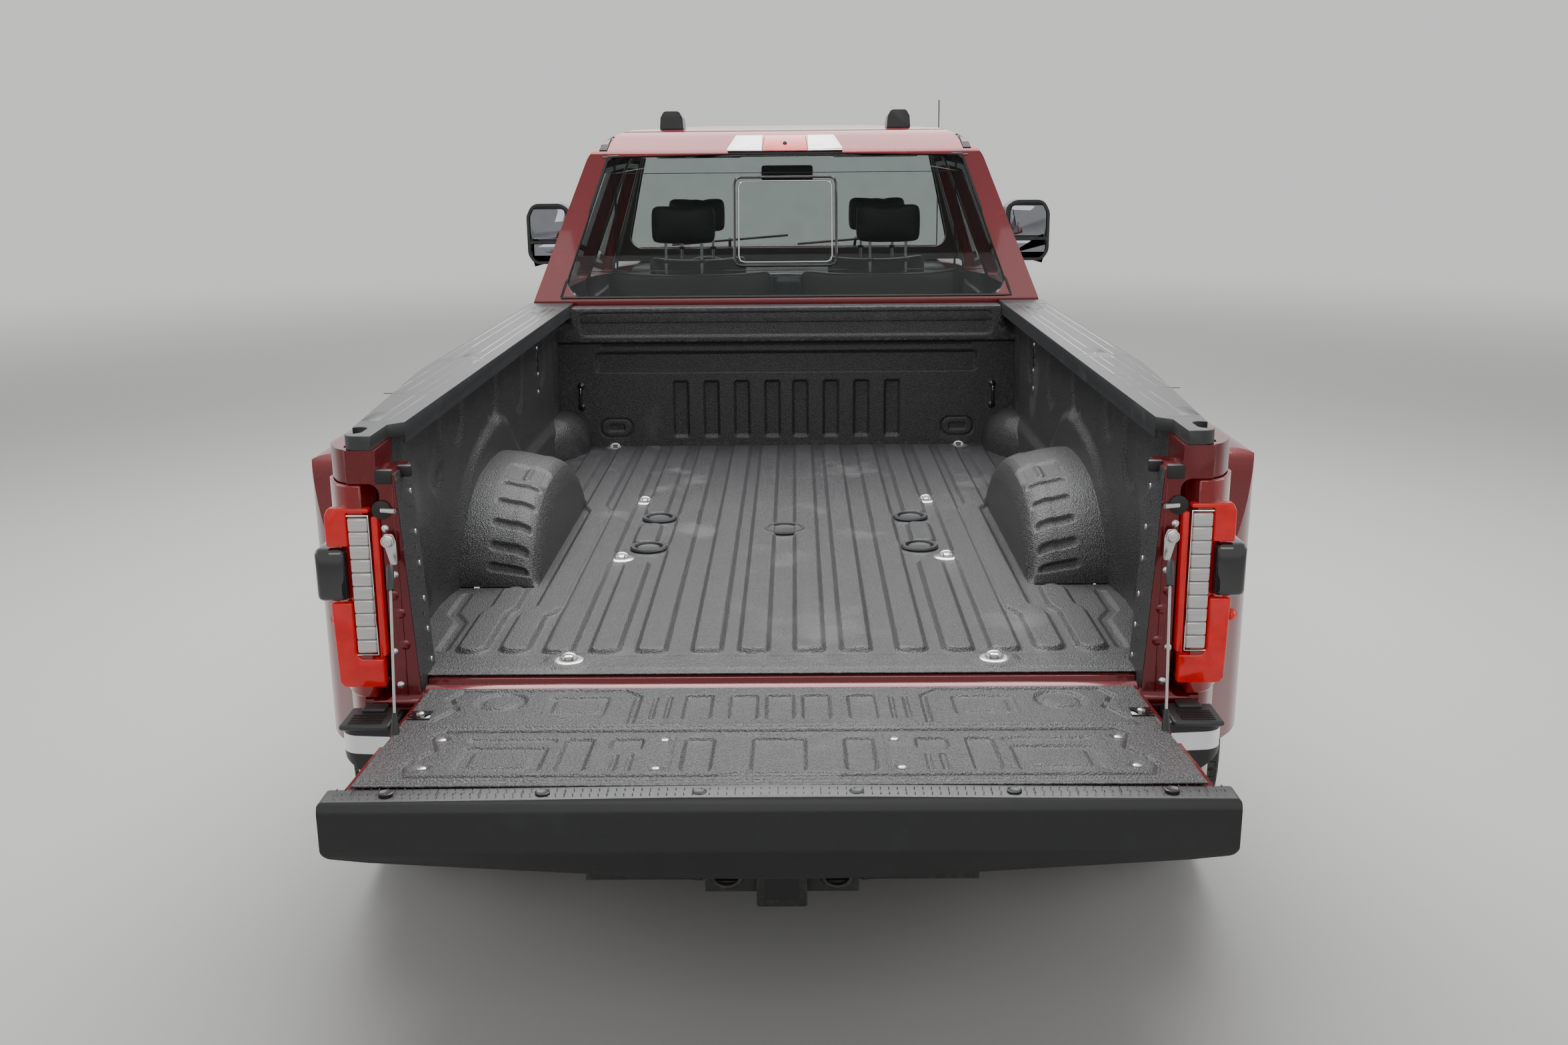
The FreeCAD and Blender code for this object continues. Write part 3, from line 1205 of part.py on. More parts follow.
def cab_shell():
    """Hollow cab with its door openings, windows, floor pan and firewall."""
    shell = cab_solid(0.0)
    cavity = cab_width(FRAME_WALL, CAB_REAR, CAB_FRONT)
    cavity = cavity.common(slab("yz", cab_side(), -BODY_HALF, BODY_HALF, ROOF_WALL))
    room = BODY_HALF - SIDE_WALL
    cavity = cavity.common(block((-room, room), (CAB_REAR, CAB_FRONT), (CAB_FLOOR, ROOF_HEIGHT)))
    tunnel = block((-ROCKER_INNER, ROCKER_INNER), (CAB_REAR - OVERRUN, CAB_FRONT + OVERRUN),
                   (BODY_BASE - OVERRUN, CAB_FLOOR - FLOOR_PAN))
    front = block((-BODY_HALF - OVERRUN, BODY_HALF + OVERRUN),
                  (NOSE_REAR - SKIN_INSET, CAB_FRONT + OVERRUN),
                  (BODY_BASE - OVERRUN, BODY_BASE + NOSE_RISE * 0.948))
    front = front.cut(slab("xz", nose_section(), NOSE_REAR - OVERRUN, CAB_FRONT + OVERRUN * 2,
                           FENDER_WALL + SEAT_GAP))
    shell = shell.cut(Part.makeCompound([cavity])).cut(tunnel).cut(front)
    deep = (CAB_REAR + CAB_LENGTH * 0.6, CAB_FRONT + OVERRUN)
    shell = shell.cut(slab("xz", screen_outline(), *deep))
    shell = shell.cut(slab("xz", backlight_outline(), CAB_REAR - OVERRUN, CAB_REAR + CAB_LENGTH * 0.2))
    rebate = cab_width(0.0 - OVERRUN / 4, CAB_REAR,
                       CAB_FRONT).cut(cab_width(FLANGE_START, CAB_REAR, CAB_FRONT))
    for shares, start, length in DOORS:
        corners = door_outline(shares, start, length)
        shell = shell.cut(rebate.common(side_cut(corners)))
        shell = shell.cut(side_cut(corners, FLANGE_INSET))
    return fused([shell] + strikers(0.0))


def strikers(grow):
    """Striker bars on the rear jambs of all doors, drawn out by grow."""
    bars = []
    for _, start, _ in DOORS:
        jamb = CAB_REAR + start + FLANGE_INSET
        for way in (-1, 1):
            bars.append(rod((way * STRIKER_X, jamb - MOVE_GAP, STRIKER_LEVEL),
                            (way * STRIKER_X, jamb + STRIKER_LENGTH + grow,
                             STRIKER_LEVEL), STRIKER_RADIUS + grow))
    return bars


def door(shares, start, length, window):
    """Right-hand door: outer skin, thick inner body, window opening and handle."""
    low = CAB_REAR + start - OVERRUN
    high = CAB_REAR + start + length + OVERRUN
    corners = door_outline(shares, start, length)
    reach = (BODY_HALF / 3, BODY_HALF + OVERRUN)
    whole = cab_width(0.0, low, high)
    under = cab_width(SKIN, low, high)
    room = BODY_HALF - SIDE_WALL
    hollow = cab_width(FRAME_WALL, low, high).common(block((-room, room), (low, high), (0.0, ROOF_HEIGHT)))
    skin = whole.cut(under).common(slab("yz", corners, *reach, SKIN_INSET))
    body = under.cut(hollow).common(slab("yz", corners, *reach, BODY_INSET))
    level = DOOR_BASE + HANDLE_SHARE * DOOR_HEIGHT
    back = CAB_REAR + start + HANDLE_INSET
    face = BODY_HALF - SKIN
    handle = slab("yz", [
        (back, level, HANDLE_HEIGHT / 2), (back + HANDLE_LENGTH, level, HANDLE_HEIGHT / 2),
        (back + HANDLE_LENGTH, level + HANDLE_HEIGHT, HANDLE_HEIGHT / 2),
        (back, level + HANDLE_HEIGHT, HANDLE_HEIGHT / 2),
    ], face - SKIN, face + HANDLE_STAND)
    opening = slab("yz", door_outline(window, start, length), *reach)
    latch = Part.makeCompound(strikers(SEAT_GAP) + [latch_slot(start)])
    return fused([skin, body, handle]).cut(Part.makeCompound([opening])).cut(latch)


def latch_slot(start):
    """Slot that lets the striker leave the right door towards the inside of the cab."""
    jamb = CAB_REAR + start + FLANGE_INSET
    tall = STRIKER_RADIUS + SEAT_GAP
    return block((BODY_HALF / 2, STRIKER_X), (jamb, jamb + STRIKER_LENGTH + SEAT_GAP),
                 (STRIKER_LEVEL - tall, STRIKER_LEVEL + tall))


def door_glass(start, length, window):
    """Right-hand side window pane."""
    low = CAB_REAR + start - OVERRUN
    high = CAB_REAR + start + length + OVERRUN
    pane = cab_width(GLASS_DEPTH, low, high).cut(cab_width(GLASS_DEPTH + GLASS_SHEET, low, high))
    return pane.common(slab("yz", door_outline(window, start, length), BODY_HALF / 3, BODY_HALF + OVERRUN))


def cab_glass():
    """Windscreen and rear window."""
    pane = slab("yz", cab_side(), -BODY_HALF, BODY_HALF, GLASS_DEPTH)
    pane = pane.cut(slab("yz", cab_side(), -BODY_HALF, BODY_HALF, GLASS_DEPTH + GLASS_SHEET))
    middle = CAB_REAR + CAB_LENGTH * 0.6
    front = pane.common(slab("xz", screen_outline(), middle, CAB_FRONT + OVERRUN))
    rear = pane.common(slab("xz", backlight_outline(), CAB_REAR - OVERRUN, CAB_REAR + CAB_LENGTH * 0.2))
    return Part.makeCompound([front, rear])


def mirror():
    """Right-hand towing mirror: arms, housing and its two glasses set in the rear face."""
    inner = MIRROR_HALF - MIRROR_WIDTH
    corners = outline(MIRROR_SHARES, (inner, MIRROR_BASE), (MIRROR_WIDTH, MIRROR_HEIGHT), MIRROR_WIDTH)
    housing = slab("xz", corners, MIRROR_Y, MIRROR_Y + MIRROR_DEPTH)
    recess = slab("xz", corners, MIRROR_Y - OVERRUN, MIRROR_Y + MIRROR_RIM, MIRROR_RIM)
    split = MIRROR_BASE + MIRROR_SPLIT_SHARE * MIRROR_HEIGHT
    bar = block((inner, MIRROR_HALF), (MIRROR_Y, MIRROR_Y + MIRROR_RIM), (split, split + MIRROR_RIM))
    shapes = [housing.cut(recess), bar.common(housing)]
    for level, share in zip(MIRROR_ROOT_LEVELS, MIRROR_ARM_SHARES):
        tip = (inner + MIRROR_ARM * 2, MIRROR_Y + MIRROR_DEPTH / 2, MIRROR_BASE + share * MIRROR_HEIGHT)
        shapes.append(rod((MIRROR_ROOT_X, MIRROR_ROOT_Y, level), tip, MIRROR_ARM))
    low = CAB_REAR + FRONT_DOOR_START
    arms = fused(shapes)
    return arms.cut(cab_width(-SEAT_GAP, low, CAB_FRONT))


# Front body
def nose_section():
    """Cross-section of the hood and front fenders."""
    return outline(symmetric(NOSE_SECTION_SHARES), (0.0, BODY_BASE), (BODY_HALF, NOSE_RISE), CAB_RADIUS)


def nose_solid(inset):
    """Hood and fenders as one solid, drawn in by inset except at its rear end."""
    length = GRILLE_FACE - NOSE_REAR
    side = outline(NOSE_SIDE_SHARES, (NOSE_REAR, BODY_BASE), (length, NOSE_RISE), CAB_RADIUS)
    plan = outline(symmetric(NOSE_PLAN_SHARES), (0.0, NOSE_REAR), (BODY_HALF, length), CAB_RADIUS)
    whole = slab("xz", nose_section(), NOSE_REAR, GRILLE_FACE + OVERRUN, inset)
    whole = whole.common(slab("yz", side, -BODY_HALF - OVERRUN, BODY_HALF + OVERRUN, inset))
    return whole.common(slab("xy", plan, 0.0, ROOF_HEIGHT, inset))


def lamp_window(inset):
    """Prism of the right headlamp's outline."""
    corners = outline(LAMP_SHARES, (LAMP_INNER, LAMP_BASE), (LAMP_WIDTH, LAMP_RISE), LAMP_WIDTH)
    return slab("xz", corners, GRILLE_FACE - LAMP_WRAP, GRILLE_FACE + OVERRUN, inset)


def front_fenders():
    """Fender panels of both sides with their wheel arches."""
    shell = nose_solid(0.0).cut(nose_solid(FENDER_WALL))
    wide = BODY_HALF + OVERRUN
    hood_half = HOOD_HALF + HOOD_SIDE_GAP
    front = GRILLE_FACE + OVERRUN
    shell = shell.cut(block((-hood_half, hood_half), (NOSE_REAR - OVERRUN, front),
                            (HOOD_LOWEST, ROOF_HEIGHT)))
    shell = shell.cut(block((-LAMP_INNER, LAMP_INNER), (NOSE_REAR - OVERRUN, front), (0.0, ROOF_HEIGHT)))
    room = BODY_HALF - FENDER_WALL
    shell = shell.cut(block((-room, room), (NOSE_REAR - OVERRUN, front),
                            (0.0, BODY_BASE + FENDER_WALL + SEAT_GAP)))
    shell = shell.cut(block((-wide, wide), (AXLE_FRONT + ARCH_RADIUS + OVERRUN, front),
                            (0.0, BUMPER_BASE + BUMPER_RISE + MOVE_GAP)))
    shell = shell.cut(rod((-wide, AXLE_FRONT, TYRE_RADIUS), (wide, AXLE_FRONT, TYRE_RADIUS), ARCH_RADIUS))
    window = lamp_window(-LAMP_GAP)
    return shell.cut(Part.makeCompound([window, mirrored(window)]))


def hood():
    """Hood panel between the fenders."""
    shell = nose_solid(0.0).cut(nose_solid(HOOD_SHEET))
    half = HOOD_HALF - HOOD_SIDE_GAP
    return shell.common(block((-half, half), (HOOD_REAR, GRILLE_FACE + OVERRUN),
                              (HOOD_LOWEST + HOOD_SIDE_GAP, ROOF_HEIGHT)))


def headlamps():
    """Both headlamps, wrapped round the corners."""
    lamp = nose_solid(0.0).cut(nose_solid(LAMP_DEPTH)).common(lamp_window(0.0))
    return both(lamp)


def grille():
    """Grille: rounded surround, cross bars and the fine rows behind them."""
    corners = [
        (-GRILLE_HALF, GRILLE_BASE, GRILLE_ROUND), (GRILLE_HALF, GRILLE_BASE, GRILLE_ROUND),
        (GRILLE_HALF, GRILLE_BASE + GRILLE_RISE, GRILLE_ROUND),
        (-GRILLE_HALF, GRILLE_BASE + GRILLE_RISE, GRILLE_ROUND),
    ]
    ends = (GRILLE_FACE - LAMP_WRAP, GRILLE_FACE + OVERRUN)
    outer = nose_solid(0.0).cut(nose_solid(GRILLE_DEPTH)).common(slab("xz", corners, *ends))
    surround = outer.cut(slab("xz", corners, *ends, GRILLE_FRAME))
    deep = nose_solid(GRILLE_DEPTH / 2).cut(nose_solid(GRILLE_DEPTH)).common(slab("xz", corners, *ends))
    opening = GRILLE_RISE - GRILLE_FRAME * 2
    shapes = [surround]
    half = GRILLE_HALF - GRILLE_FRAME / 2
    for index in range(GRILLE_BARS):
        level = GRILLE_BASE + GRILLE_FRAME + opening * (index + 0.5) / GRILLE_BARS
        bar = block((-half, half), ends, (level - GRILLE_BAR / 2, level + GRILLE_BAR / 2))
        shapes.append(outer.common(bar).cut(nose_solid(GRILLE_DEPTH * 0.6)))
    for index in range(GRILLE_ROWS):
        middle = -half + 2 * half * (index + 0.5) / GRILLE_ROWS
        row = block((middle - GRILLE_ROW, middle + GRILLE_ROW), ends,
                    (GRILLE_BASE, GRILLE_BASE + GRILLE_RISE))
        shapes.append(deep.common(row))
    return fused(shapes)


def radiator():
    """Radiator core on the rails with the tie bars that carry grille and lamps."""
    y = GRILLE_FACE - RADIATOR_SETBACK
    core = block((-RADIATOR_HALF, RADIATOR_HALF), (y, y + RADIATOR_SHEET),
                 (RAIL_FRONT_TOP + SEAT_GAP, RADIATOR_TOP))
    reach = (y, GRILLE_FACE - LAMP_DEPTH)
    top = block((-TIE_BAR_HALF, TIE_BAR_HALF), reach, (RADIATOR_TOP - TIE_BAR, RADIATOR_TOP))
    low = RAIL_FRONT_TOP + TIE_BAR * 2
    bottom = block((-TIE_BAR_HALF, TIE_BAR_HALF), reach, (low - TIE_BAR, low))
    whole = fused([core, top, bottom]).common(nose_solid(LAMP_DEPTH + SEAT_GAP))
    ahead = (y, GRILLE_FACE)
    stays = [
        block((-RADIATOR_HALF, RADIATOR_HALF), ahead, (RADIATOR_TOP - TIE_BAR, RADIATOR_TOP)),
        block((-RADIATOR_HALF, RADIATOR_HALF), ahead, (low - TIE_BAR, low)),
    ]
    held = [stay.common(nose_solid(GRILLE_DEPTH + SEAT_GAP)) for stay in stays]
    return fused([whole] + held)


def cowl():
    """Air intake panel between the hood and the windscreen."""
    top = BODY_BASE + NOSE_RISE - COWL_DROP
    panel = block((-HOOD_HALF, HOOD_HALF), (CAB_FRONT - OVERRUN, HOOD_REAR - MOVE_GAP),
                  (top - COWL_SHEET, top))
    return panel.cut(cab_solid(-SEAT_GAP))


def wheel_liners():
    """Arched liners inside the front wheel arches."""
    sheet = rod((LINER_INNER, AXLE_FRONT, TYRE_RADIUS), (BODY_HALF - FENDER_WALL, AXLE_FRONT, TYRE_RADIUS),
                ARCH_RADIUS + LINER_SHEET)
    sheet = sheet.cut(rod((0.0, AXLE_FRONT, TYRE_RADIUS), (BODY_HALF, AXLE_FRONT, TYRE_RADIUS),
                          ARCH_RADIUS))
    upper = block((0.0, BODY_HALF), (NOSE_REAR, GRILLE_FACE), (BODY_BASE, ROOF_HEIGHT))
    return both(sheet.common(upper).common(nose_solid(FENDER_WALL + SEAT_GAP)))


def front_bumper():
    """Bumper bar, curved in plan and open at the back."""
    front = AXLE_FRONT + FRONT_OVERHANG
    plan = outline(symmetric(BUMPER_PLAN_SHARES), (0.0, front - BUMPER_WRAP), (BUMPER_HALF, BUMPER_WRAP),
                   BUMPER_ROUND)
    ends = (BUMPER_BASE, BUMPER_BASE + BUMPER_RISE)
    bar = slab("xy", plan, *ends).cut(slab("xy", plan, 0.0, ROOF_HEIGHT, BUMPER_SHEET))
    wide = BODY_HALF + OVERRUN
    return bar.common(block((-wide, wide), (front - BUMPER_WRAP, front + OVERRUN), ends))


def running_boards():
    """Side steps on their brackets."""
    inner = ROCKER_INNER + SIDE_WALL
    corners = [
        (inner, BOARD_HEIGHT, BOARD_SHEET / 2), (inner + BOARD_WIDTH, BOARD_HEIGHT, BOARD_SHEET / 2),
        (inner + BOARD_WIDTH, BOARD_HEIGHT + BOARD_SHEET, BOARD_SHEET / 2),
        (inner, BOARD_HEIGHT + BOARD_SHEET, 0.0),
    ]
    shapes = [slab("xz", corners, BOARD_REAR, BOARD_FRONT)]
    for share in CAB_MOUNT_SHARES:
        y = BOARD_REAR + share * (BOARD_FRONT - BOARD_REAR)
        shapes.append(block((ROCKER_INNER + MOUNT_PLATE, inner + MOUNT_PLATE),
                            (y - MOUNT_RADIUS, y + MOUNT_RADIUS),
                            (BOARD_HEIGHT + BOARD_SHEET / 2, BODY_BASE - SEAT_GAP)))
    return both(fused(shapes))


# Interior
def dashboard():
    """Instrument panel across the firewall, steering column and centre console."""
    front = CAB_REAR + CAB_SIDE_SHARES[-1][0] * CAB_LENGTH - ROOF_WALL - SEAT_GAP
    corners = outline(DASH_SHARES, (front - DASH_DEPTH, DASH_BASE), (DASH_DEPTH, DASH_RISE), DASH_ROUND)
    panel = slab("yz", corners, -DASH_HALF, DASH_HALF)
    back = steering_axis() * -STEER_HUB_DEPTH
    start = steering_centre() + back
    column = rod(tuple(start), tuple(start + back * 5), COLUMN_RADIUS)
    rear = front - DASH_DEPTH
    console = block((-CONSOLE_WIDTH / 2, CONSOLE_WIDTH / 2), (rear - CONSOLE_LENGTH, rear + DASH_DEPTH / 2),
                    (CAB_FLOOR, CAB_FLOOR + CONSOLE_RISE))
    return fused([panel, column, console])


def steering_axis():
    """Direction of the steering column, towards the driver."""
    angle = math.radians(90 - STEER_TILT)
    return FreeCAD.Vector(0, -math.cos(angle), math.sin(angle))


def steering_centre():
    """Middle of the steering wheel."""
    return FreeCAD.Vector(STEER_WHEEL_X, STEER_WHEEL_Y, STEER_WHEEL_Z)


def steering_wheel():
    """Rim, hub and three spokes of the steering wheel."""
    axis = steering_axis()
    centre = steering_centre()
    rim = Part.makeTorus(STEER_WHEEL_RADIUS - STEER_RIM, STEER_RIM, centre, axis)
    hub = Part.makeCylinder(STEER_HUB, STEER_HUB_DEPTH, centre - axis * (STEER_HUB_DEPTH - SEAT_GAP), axis)
    shapes = [rim, hub]
    across = FreeCAD.Vector(1, 0, 0)
    up = axis.cross(across)
    for angle in (0, 180, 270):
        way = across * math.cos(math.radians(angle)) - up * math.sin(math.radians(angle))
        start = centre - axis * (STEER_RIM / 2)
        shapes.append(rod(tuple(start), tuple(start + way * (STEER_WHEEL_RADIUS - STEER_RIM)),
                          STEER_RIM * 0.8))
    return fused(shapes)


def seat(rear, x_low, x_high, head_places):
    """Seat or bench from its side outline, with head restraints on posts and a floor pedestal."""
    size = (SEAT_LENGTH, SEAT_RISE)
    body = slab("yz", outline(SEAT_SIDE_SHARES, (rear, CAB_FLOOR), size, SEAT_LENGTH), x_low, x_high)
    shapes = [body]
    foot = (rear + SEAT_LENGTH * 0.3, rear + SEAT_LENGTH * 0.85)
    shapes.append(block((x_low + SEAT_FOOT, x_high - SEAT_FOOT), foot,
                        (CAB_FLOOR, CAB_FLOOR + SEAT_RISE * 0.12)))
    for x in head_places:
        corners = outline(HEAD_SHARES, (rear, CAB_FLOOR), size, SEAT_LENGTH)
        shapes.append(slab("yz", corners, x - HEAD_WIDTH / 2, x + HEAD_WIDTH / 2))
        for way in (-1, 1):
            post_x = x + way * HEAD_WIDTH / 4
            post_y = rear + SEAT_LENGTH * 0.12
            shapes.append(rod((post_x, post_y, CAB_FLOOR + SEAT_RISE * 0.7),
                              (post_x, post_y, CAB_FLOOR + SEAT_RISE * 0.85), SEAT_POST))
    return fused(shapes)


def seats():
    """Two front seats and the rear bench."""
    half = SEAT_WIDTH / 2
    front = seat(FRONT_SEAT_REAR, SEAT_X - half, SEAT_X + half, [SEAT_X])
    bench = seat(REAR_SEAT_REAR, -REAR_SEAT_HALF, REAR_SEAT_HALF, [-SEAT_X, SEAT_X])
    return Part.makeCompound([front, mirrored(front), bench])


# Bed
def bed_block(x, y, z):
    """Box measured from the rear edge of the bed floor."""
    along = (BED_REAR + y[0], BED_REAR + y[1])
    return block(x, along, (FLOOR_HEIGHT + z[0], FLOOR_HEIGHT + z[1]))


def rib(x_low, x_high, y_low, y_high):
    """Raised floor rib with sloping sides and ends."""
    base = FLOOR_HEIGHT - FLOOR_SHEET / 2
    top = FLOOR_HEIGHT + RIB_HEIGHT
    across = plain([(x_low, base), (x_high, base), (x_high - RIB_SLOPE, top), (x_low + RIB_SLOPE, top)])
    slope = RIB_SLOPE * 2
    start = BED_REAR + y_low
    end = BED_REAR + y_high
    along = plain([(start, base), (end, base), (end - slope, top), (start + slope, top)])
    return slab("xz", across, start, end).common(slab("yz", along, x_low, x_high))


def floor_ribs():
    """All ribs of the right half of the floor."""
    ribs = [rib(x, x + RIB_WIDTH, RIB_TAIL, BED_LENGTH - RIB_HEAD) for x in RIB_STARTS]
    for x in OUTER_RIB_STARTS:
        for start, end in OUTER_RIB_RUNS:
            ribs.append(rib(x, x + RIB_WIDTH, start, end))
    return ribs


def bed_floor():
    """Ribbed floor with its cross sills, load sockets and the rear sill."""
    half = WALL_FACE - SEAT_GAP
    plate = bed_block((-half, half), (0.0, BED_LENGTH - SEAT_GAP), (-FLOOR_SHEET, 0.0))
    shapes = [plate]
    pads = []
    for x, y in TIE_DOWN_PLACES:
        foot = (x, BED_REAR + y, FLOOR_HEIGHT - FLOOR_SHEET)
        pads.append(rod(foot, (x, BED_REAR + y, FLOOR_HEIGHT + OVERRUN), TIE_DOWN_RADIUS + TIE_DOWN_PAD))
    for piece in floor_ribs():
        flat = piece.cut(Part.makeCompound(pads))
        shapes += [flat, mirrored(flat)]
    under = FLOOR_HEIGHT - FLOOR_SHEET
    for share in SILL_SHARES:
        y = BED_REAR + share * BED_LENGTH
        inside = abs(y - AXLE_REAR) < ARCH_HALF + SILL_WIDTH
        reach = SILL_INNER_HALF if inside else SILL_HALF
        shapes.append(block((-reach, reach), (y - SILL_WIDTH / 2, y + SILL_WIDTH / 2),
                            (RAIL_REAR_TOP + SEAT_GAP, under)))
    reach = POST_FOOT - SEAT_GAP
    shapes.append(bed_block((-reach, reach), (-SILL_REACH, SILL_BACK), (-SILL_DROP, -FLOOR_SHEET)))
    places = [(x, y) for x in (-PUCK_X, PUCK_X) for y in PUCK_YS]
    for x, y in places:
        shapes.append(socket(x, y, PUCK_RING))
    shapes.append(socket(0.0, BALL_Y, PUCK_RING))
    holes = [socket_hole(x, y, PUCK_RADIUS) for x, y in places]
    holes.append(socket_hole(0.0, BALL_Y, BALL_RADIUS))
    reach = ARCH_HALF + SEAT_GAP
    for way in (-1, 1):
        near, far = sorted((way * (ARCH_INNER - SEAT_GAP), way * WALL_FACE))
        holes.append(block((near, far), (AXLE_REAR - reach, AXLE_REAR + reach),
                           (under - OVERRUN, ROOF_HEIGHT)))
        near, far = sorted((way * POST_FOOT, way * BED_OUTER))
        holes.append(bed_block((near, far), (-OVERRUN, POST_DEPTH - POST_REAR + SEAT_GAP),
                               (-OVERRUN, OVERRUN)))
    return fused(shapes).cut(Part.makeCompound(holes))


def socket(x, y, radius):
    """Ring round a load socket in the floor."""
    low = FLOOR_HEIGHT - SOCKET_DROP
    return rod((x, BED_REAR + y, low), (x, BED_REAR + y, FLOOR_HEIGHT + RIB_HEIGHT), radius)


def socket_hole(x, y, radius):
    """Bore of a load socket."""
    low = FLOOR_HEIGHT - SOCKET_DROP - OVERRUN
    return rod((x, BED_REAR + y, low), (x, BED_REAR + y, FLOOR_HEIGHT + OVERRUN), radius)


def bed_front_wall():
    """Wall ahead of the load space, with its pressed slots and the overhanging top panel."""
    half = WALL_FACE - SEAT_GAP
    inside = RAIL_CAP_INNER - SEAT_GAP * 2
    shoulder = RAIL_CAP_TOP - RAIL_CAP_LIP - SEAT_GAP * 2
    wall = bed_block((-half, half), (BED_LENGTH, BED_LENGTH + BED_WALL), (-FLOOR_SHEET, shoulder))
    head = bed_block((-inside, inside), (BED_LENGTH, BED_LENGTH + BED_WALL), (shoulder, FRONT_WALL_TOP))
    lip = bed_block((-inside, inside), (BED_LENGTH - FRONT_LIP, BED_LENGTH), (FRONT_STEP, FRONT_WALL_TOP))
    face = BED_REAR + BED_LENGTH
    cuts = []
    for index in range(SLOT_SIDE_COUNT):
        x = SLOT_NEAR + index * SLOT_PITCH
        for way in (-1, 1):
            low = way * x - SLOT_WIDTH / 2
            upward = (FLOOR_HEIGHT + SLOT_BASE, FLOOR_HEIGHT + SLOT_TOP)
            corners = plate_corners((low, low + SLOT_WIDTH), upward, SLOT_WIDTH / 3)
            cuts.append(slab("xz", corners, face - OVERRUN, face + SLOT_DEPTH))
    for way in (-1, 1):
        low = way * OVAL_X - OVAL_WIDTH / 2
        base = FLOOR_HEIGHT + OVAL_LEVEL - OVAL_HEIGHT / 2
        corners = plate_corners((low, low + OVAL_WIDTH), (base, base + OVAL_HEIGHT), OVAL_HEIGHT / 2)
        cuts.append(slab("xz", corners, face - OVERRUN, face + SLOT_DEPTH / 2))
    cuts.append(bed_block((-RECESS_HALF, RECESS_HALF), (BED_LENGTH - OVERRUN, BED_LENGTH + SLOT_DEPTH),
                          (RECESS_BASE, RECESS_TOP)))
    return fused([wall, head, lip]).cut(Part.makeCompound(cuts))


def bedside_solid(grow):
    """Right bed wall as a solid, drawn out by grow."""
    base = FLOOR_HEIGHT - BEDSIDE_DROP
    rise = BEDSIDE_DROP + RAIL_CAP_TOP - RAIL_CAP_SHEET - SEAT_GAP
    section = outline(BEDSIDE_SHARES, (WALL_FACE, base), (BED_OUTER - WALL_FACE, rise), BEDSIDE_ROUND)
    start = BED_REAR - POST_REAR
    end = BED_REAR + BED_LENGTH + BED_WALL
    whole = slab("xz", section, start, end, -grow)
    plan = outline(BEDSIDE_PLAN_SHARES, (0.0, start), (BED_OUTER, end - start), BED_LENGTH / 2)
    return whole.common(slab("xy", plan, 0.0, ROOF_HEIGHT, -grow))


def bed_sides():
    """Bed walls with their rear posts, wheel arches and tail lamp openings."""
    foot = FLOOR_HEIGHT - SILL_DROP
    head = FLOOR_HEIGHT + RAIL_CAP_TOP - RAIL_CAP_SHEET - SEAT_GAP
    post = slab("xz", plain([
        (POST_FOOT, foot), (POST_HEAD, FLOOR_HEIGHT + POST_TOP), (TAIL_INNER, FLOOR_HEIGHT + POST_TOP),
        (TAIL_INNER, head), (WALL_FACE + BED_LINER, head), (WALL_FACE + BED_LINER, foot),
    ]), BED_REAR - POST_REAR, BED_REAR + POST_DEPTH - POST_REAR)
    boss = rod((POST_FOOT, GATE_HINGE_Y, GATE_HINGE_Z), (WALL_FACE, GATE_HINGE_Y, GATE_HINGE_Z),
               HINGE_PIN * 2.2)
    rear = BED_REAR - POST_REAR
    level = FLOOR_HEIGHT + STUD_LEVEL
    shank = rod((STUD_X, rear + STUD_RADIUS, level), (STUD_X, rear - STUD_LENGTH, level), STUD_RADIUS)
    knob = rod((STUD_X, rear - STUD_LENGTH, level), (STUD_X, rear - STUD_LENGTH - STUD_RADIUS / 2, level),
               STUD_RADIUS * 1.2)
    whole = fused([bedside_solid(0.0), post, boss, shank, knob])
    start = GATE_FOOT_HALF - OVERRUN
    hole = rod((start, GATE_HINGE_Y, GATE_HINGE_Z),
               (GATE_FOOT_HALF + HINGE_LENGTH + MOVE_GAP, GATE_HINGE_Y, GATE_HINGE_Z),
               HINGE_PIN + HINGE_GAP)
    arch = rod((0.0, AXLE_REAR, TYRE_RADIUS), (BODY_HALF, AXLE_REAR, TYRE_RADIUS), WHEEL_CUT)
    stake = stake_hole(head - OVERRUN * 2)
    whole = whole.cut(Part.makeCompound([hole, arch])).cut(tail_window(-TAIL_GAP)).cut(stake)
    return both(whole)


def tail_window(inset):
    """Prism of the right tail lamp's outline."""
    corners = [
        (TAIL_INNER, FLOOR_HEIGHT + TAIL_BASE, BED_LINER), (BED_OUTER, FLOOR_HEIGHT + TAIL_BASE, 0.0),
        (BED_OUTER, FLOOR_HEIGHT + TAIL_TOP, 0.0), (TAIL_INNER, FLOOR_HEIGHT + TAIL_TOP, BED_LINER),
    ]
    start = BED_REAR - POST_REAR
    end = start + TAIL_DEPTH + (SEAT_GAP if inset else 0.0)
    prism = slab("xz", corners, start - OVERRUN, end, inset)
    return prism.common(block((0.0, TAIL_OUTER - inset), (start - OVERRUN, end), (0.0, ROOF_HEIGHT)))


def tail_lamps():
    """Upright tail lamps at the rear corners."""
    return both(tail_window(0.0).common(bedside_solid(TAIL_PROUD / 2)))


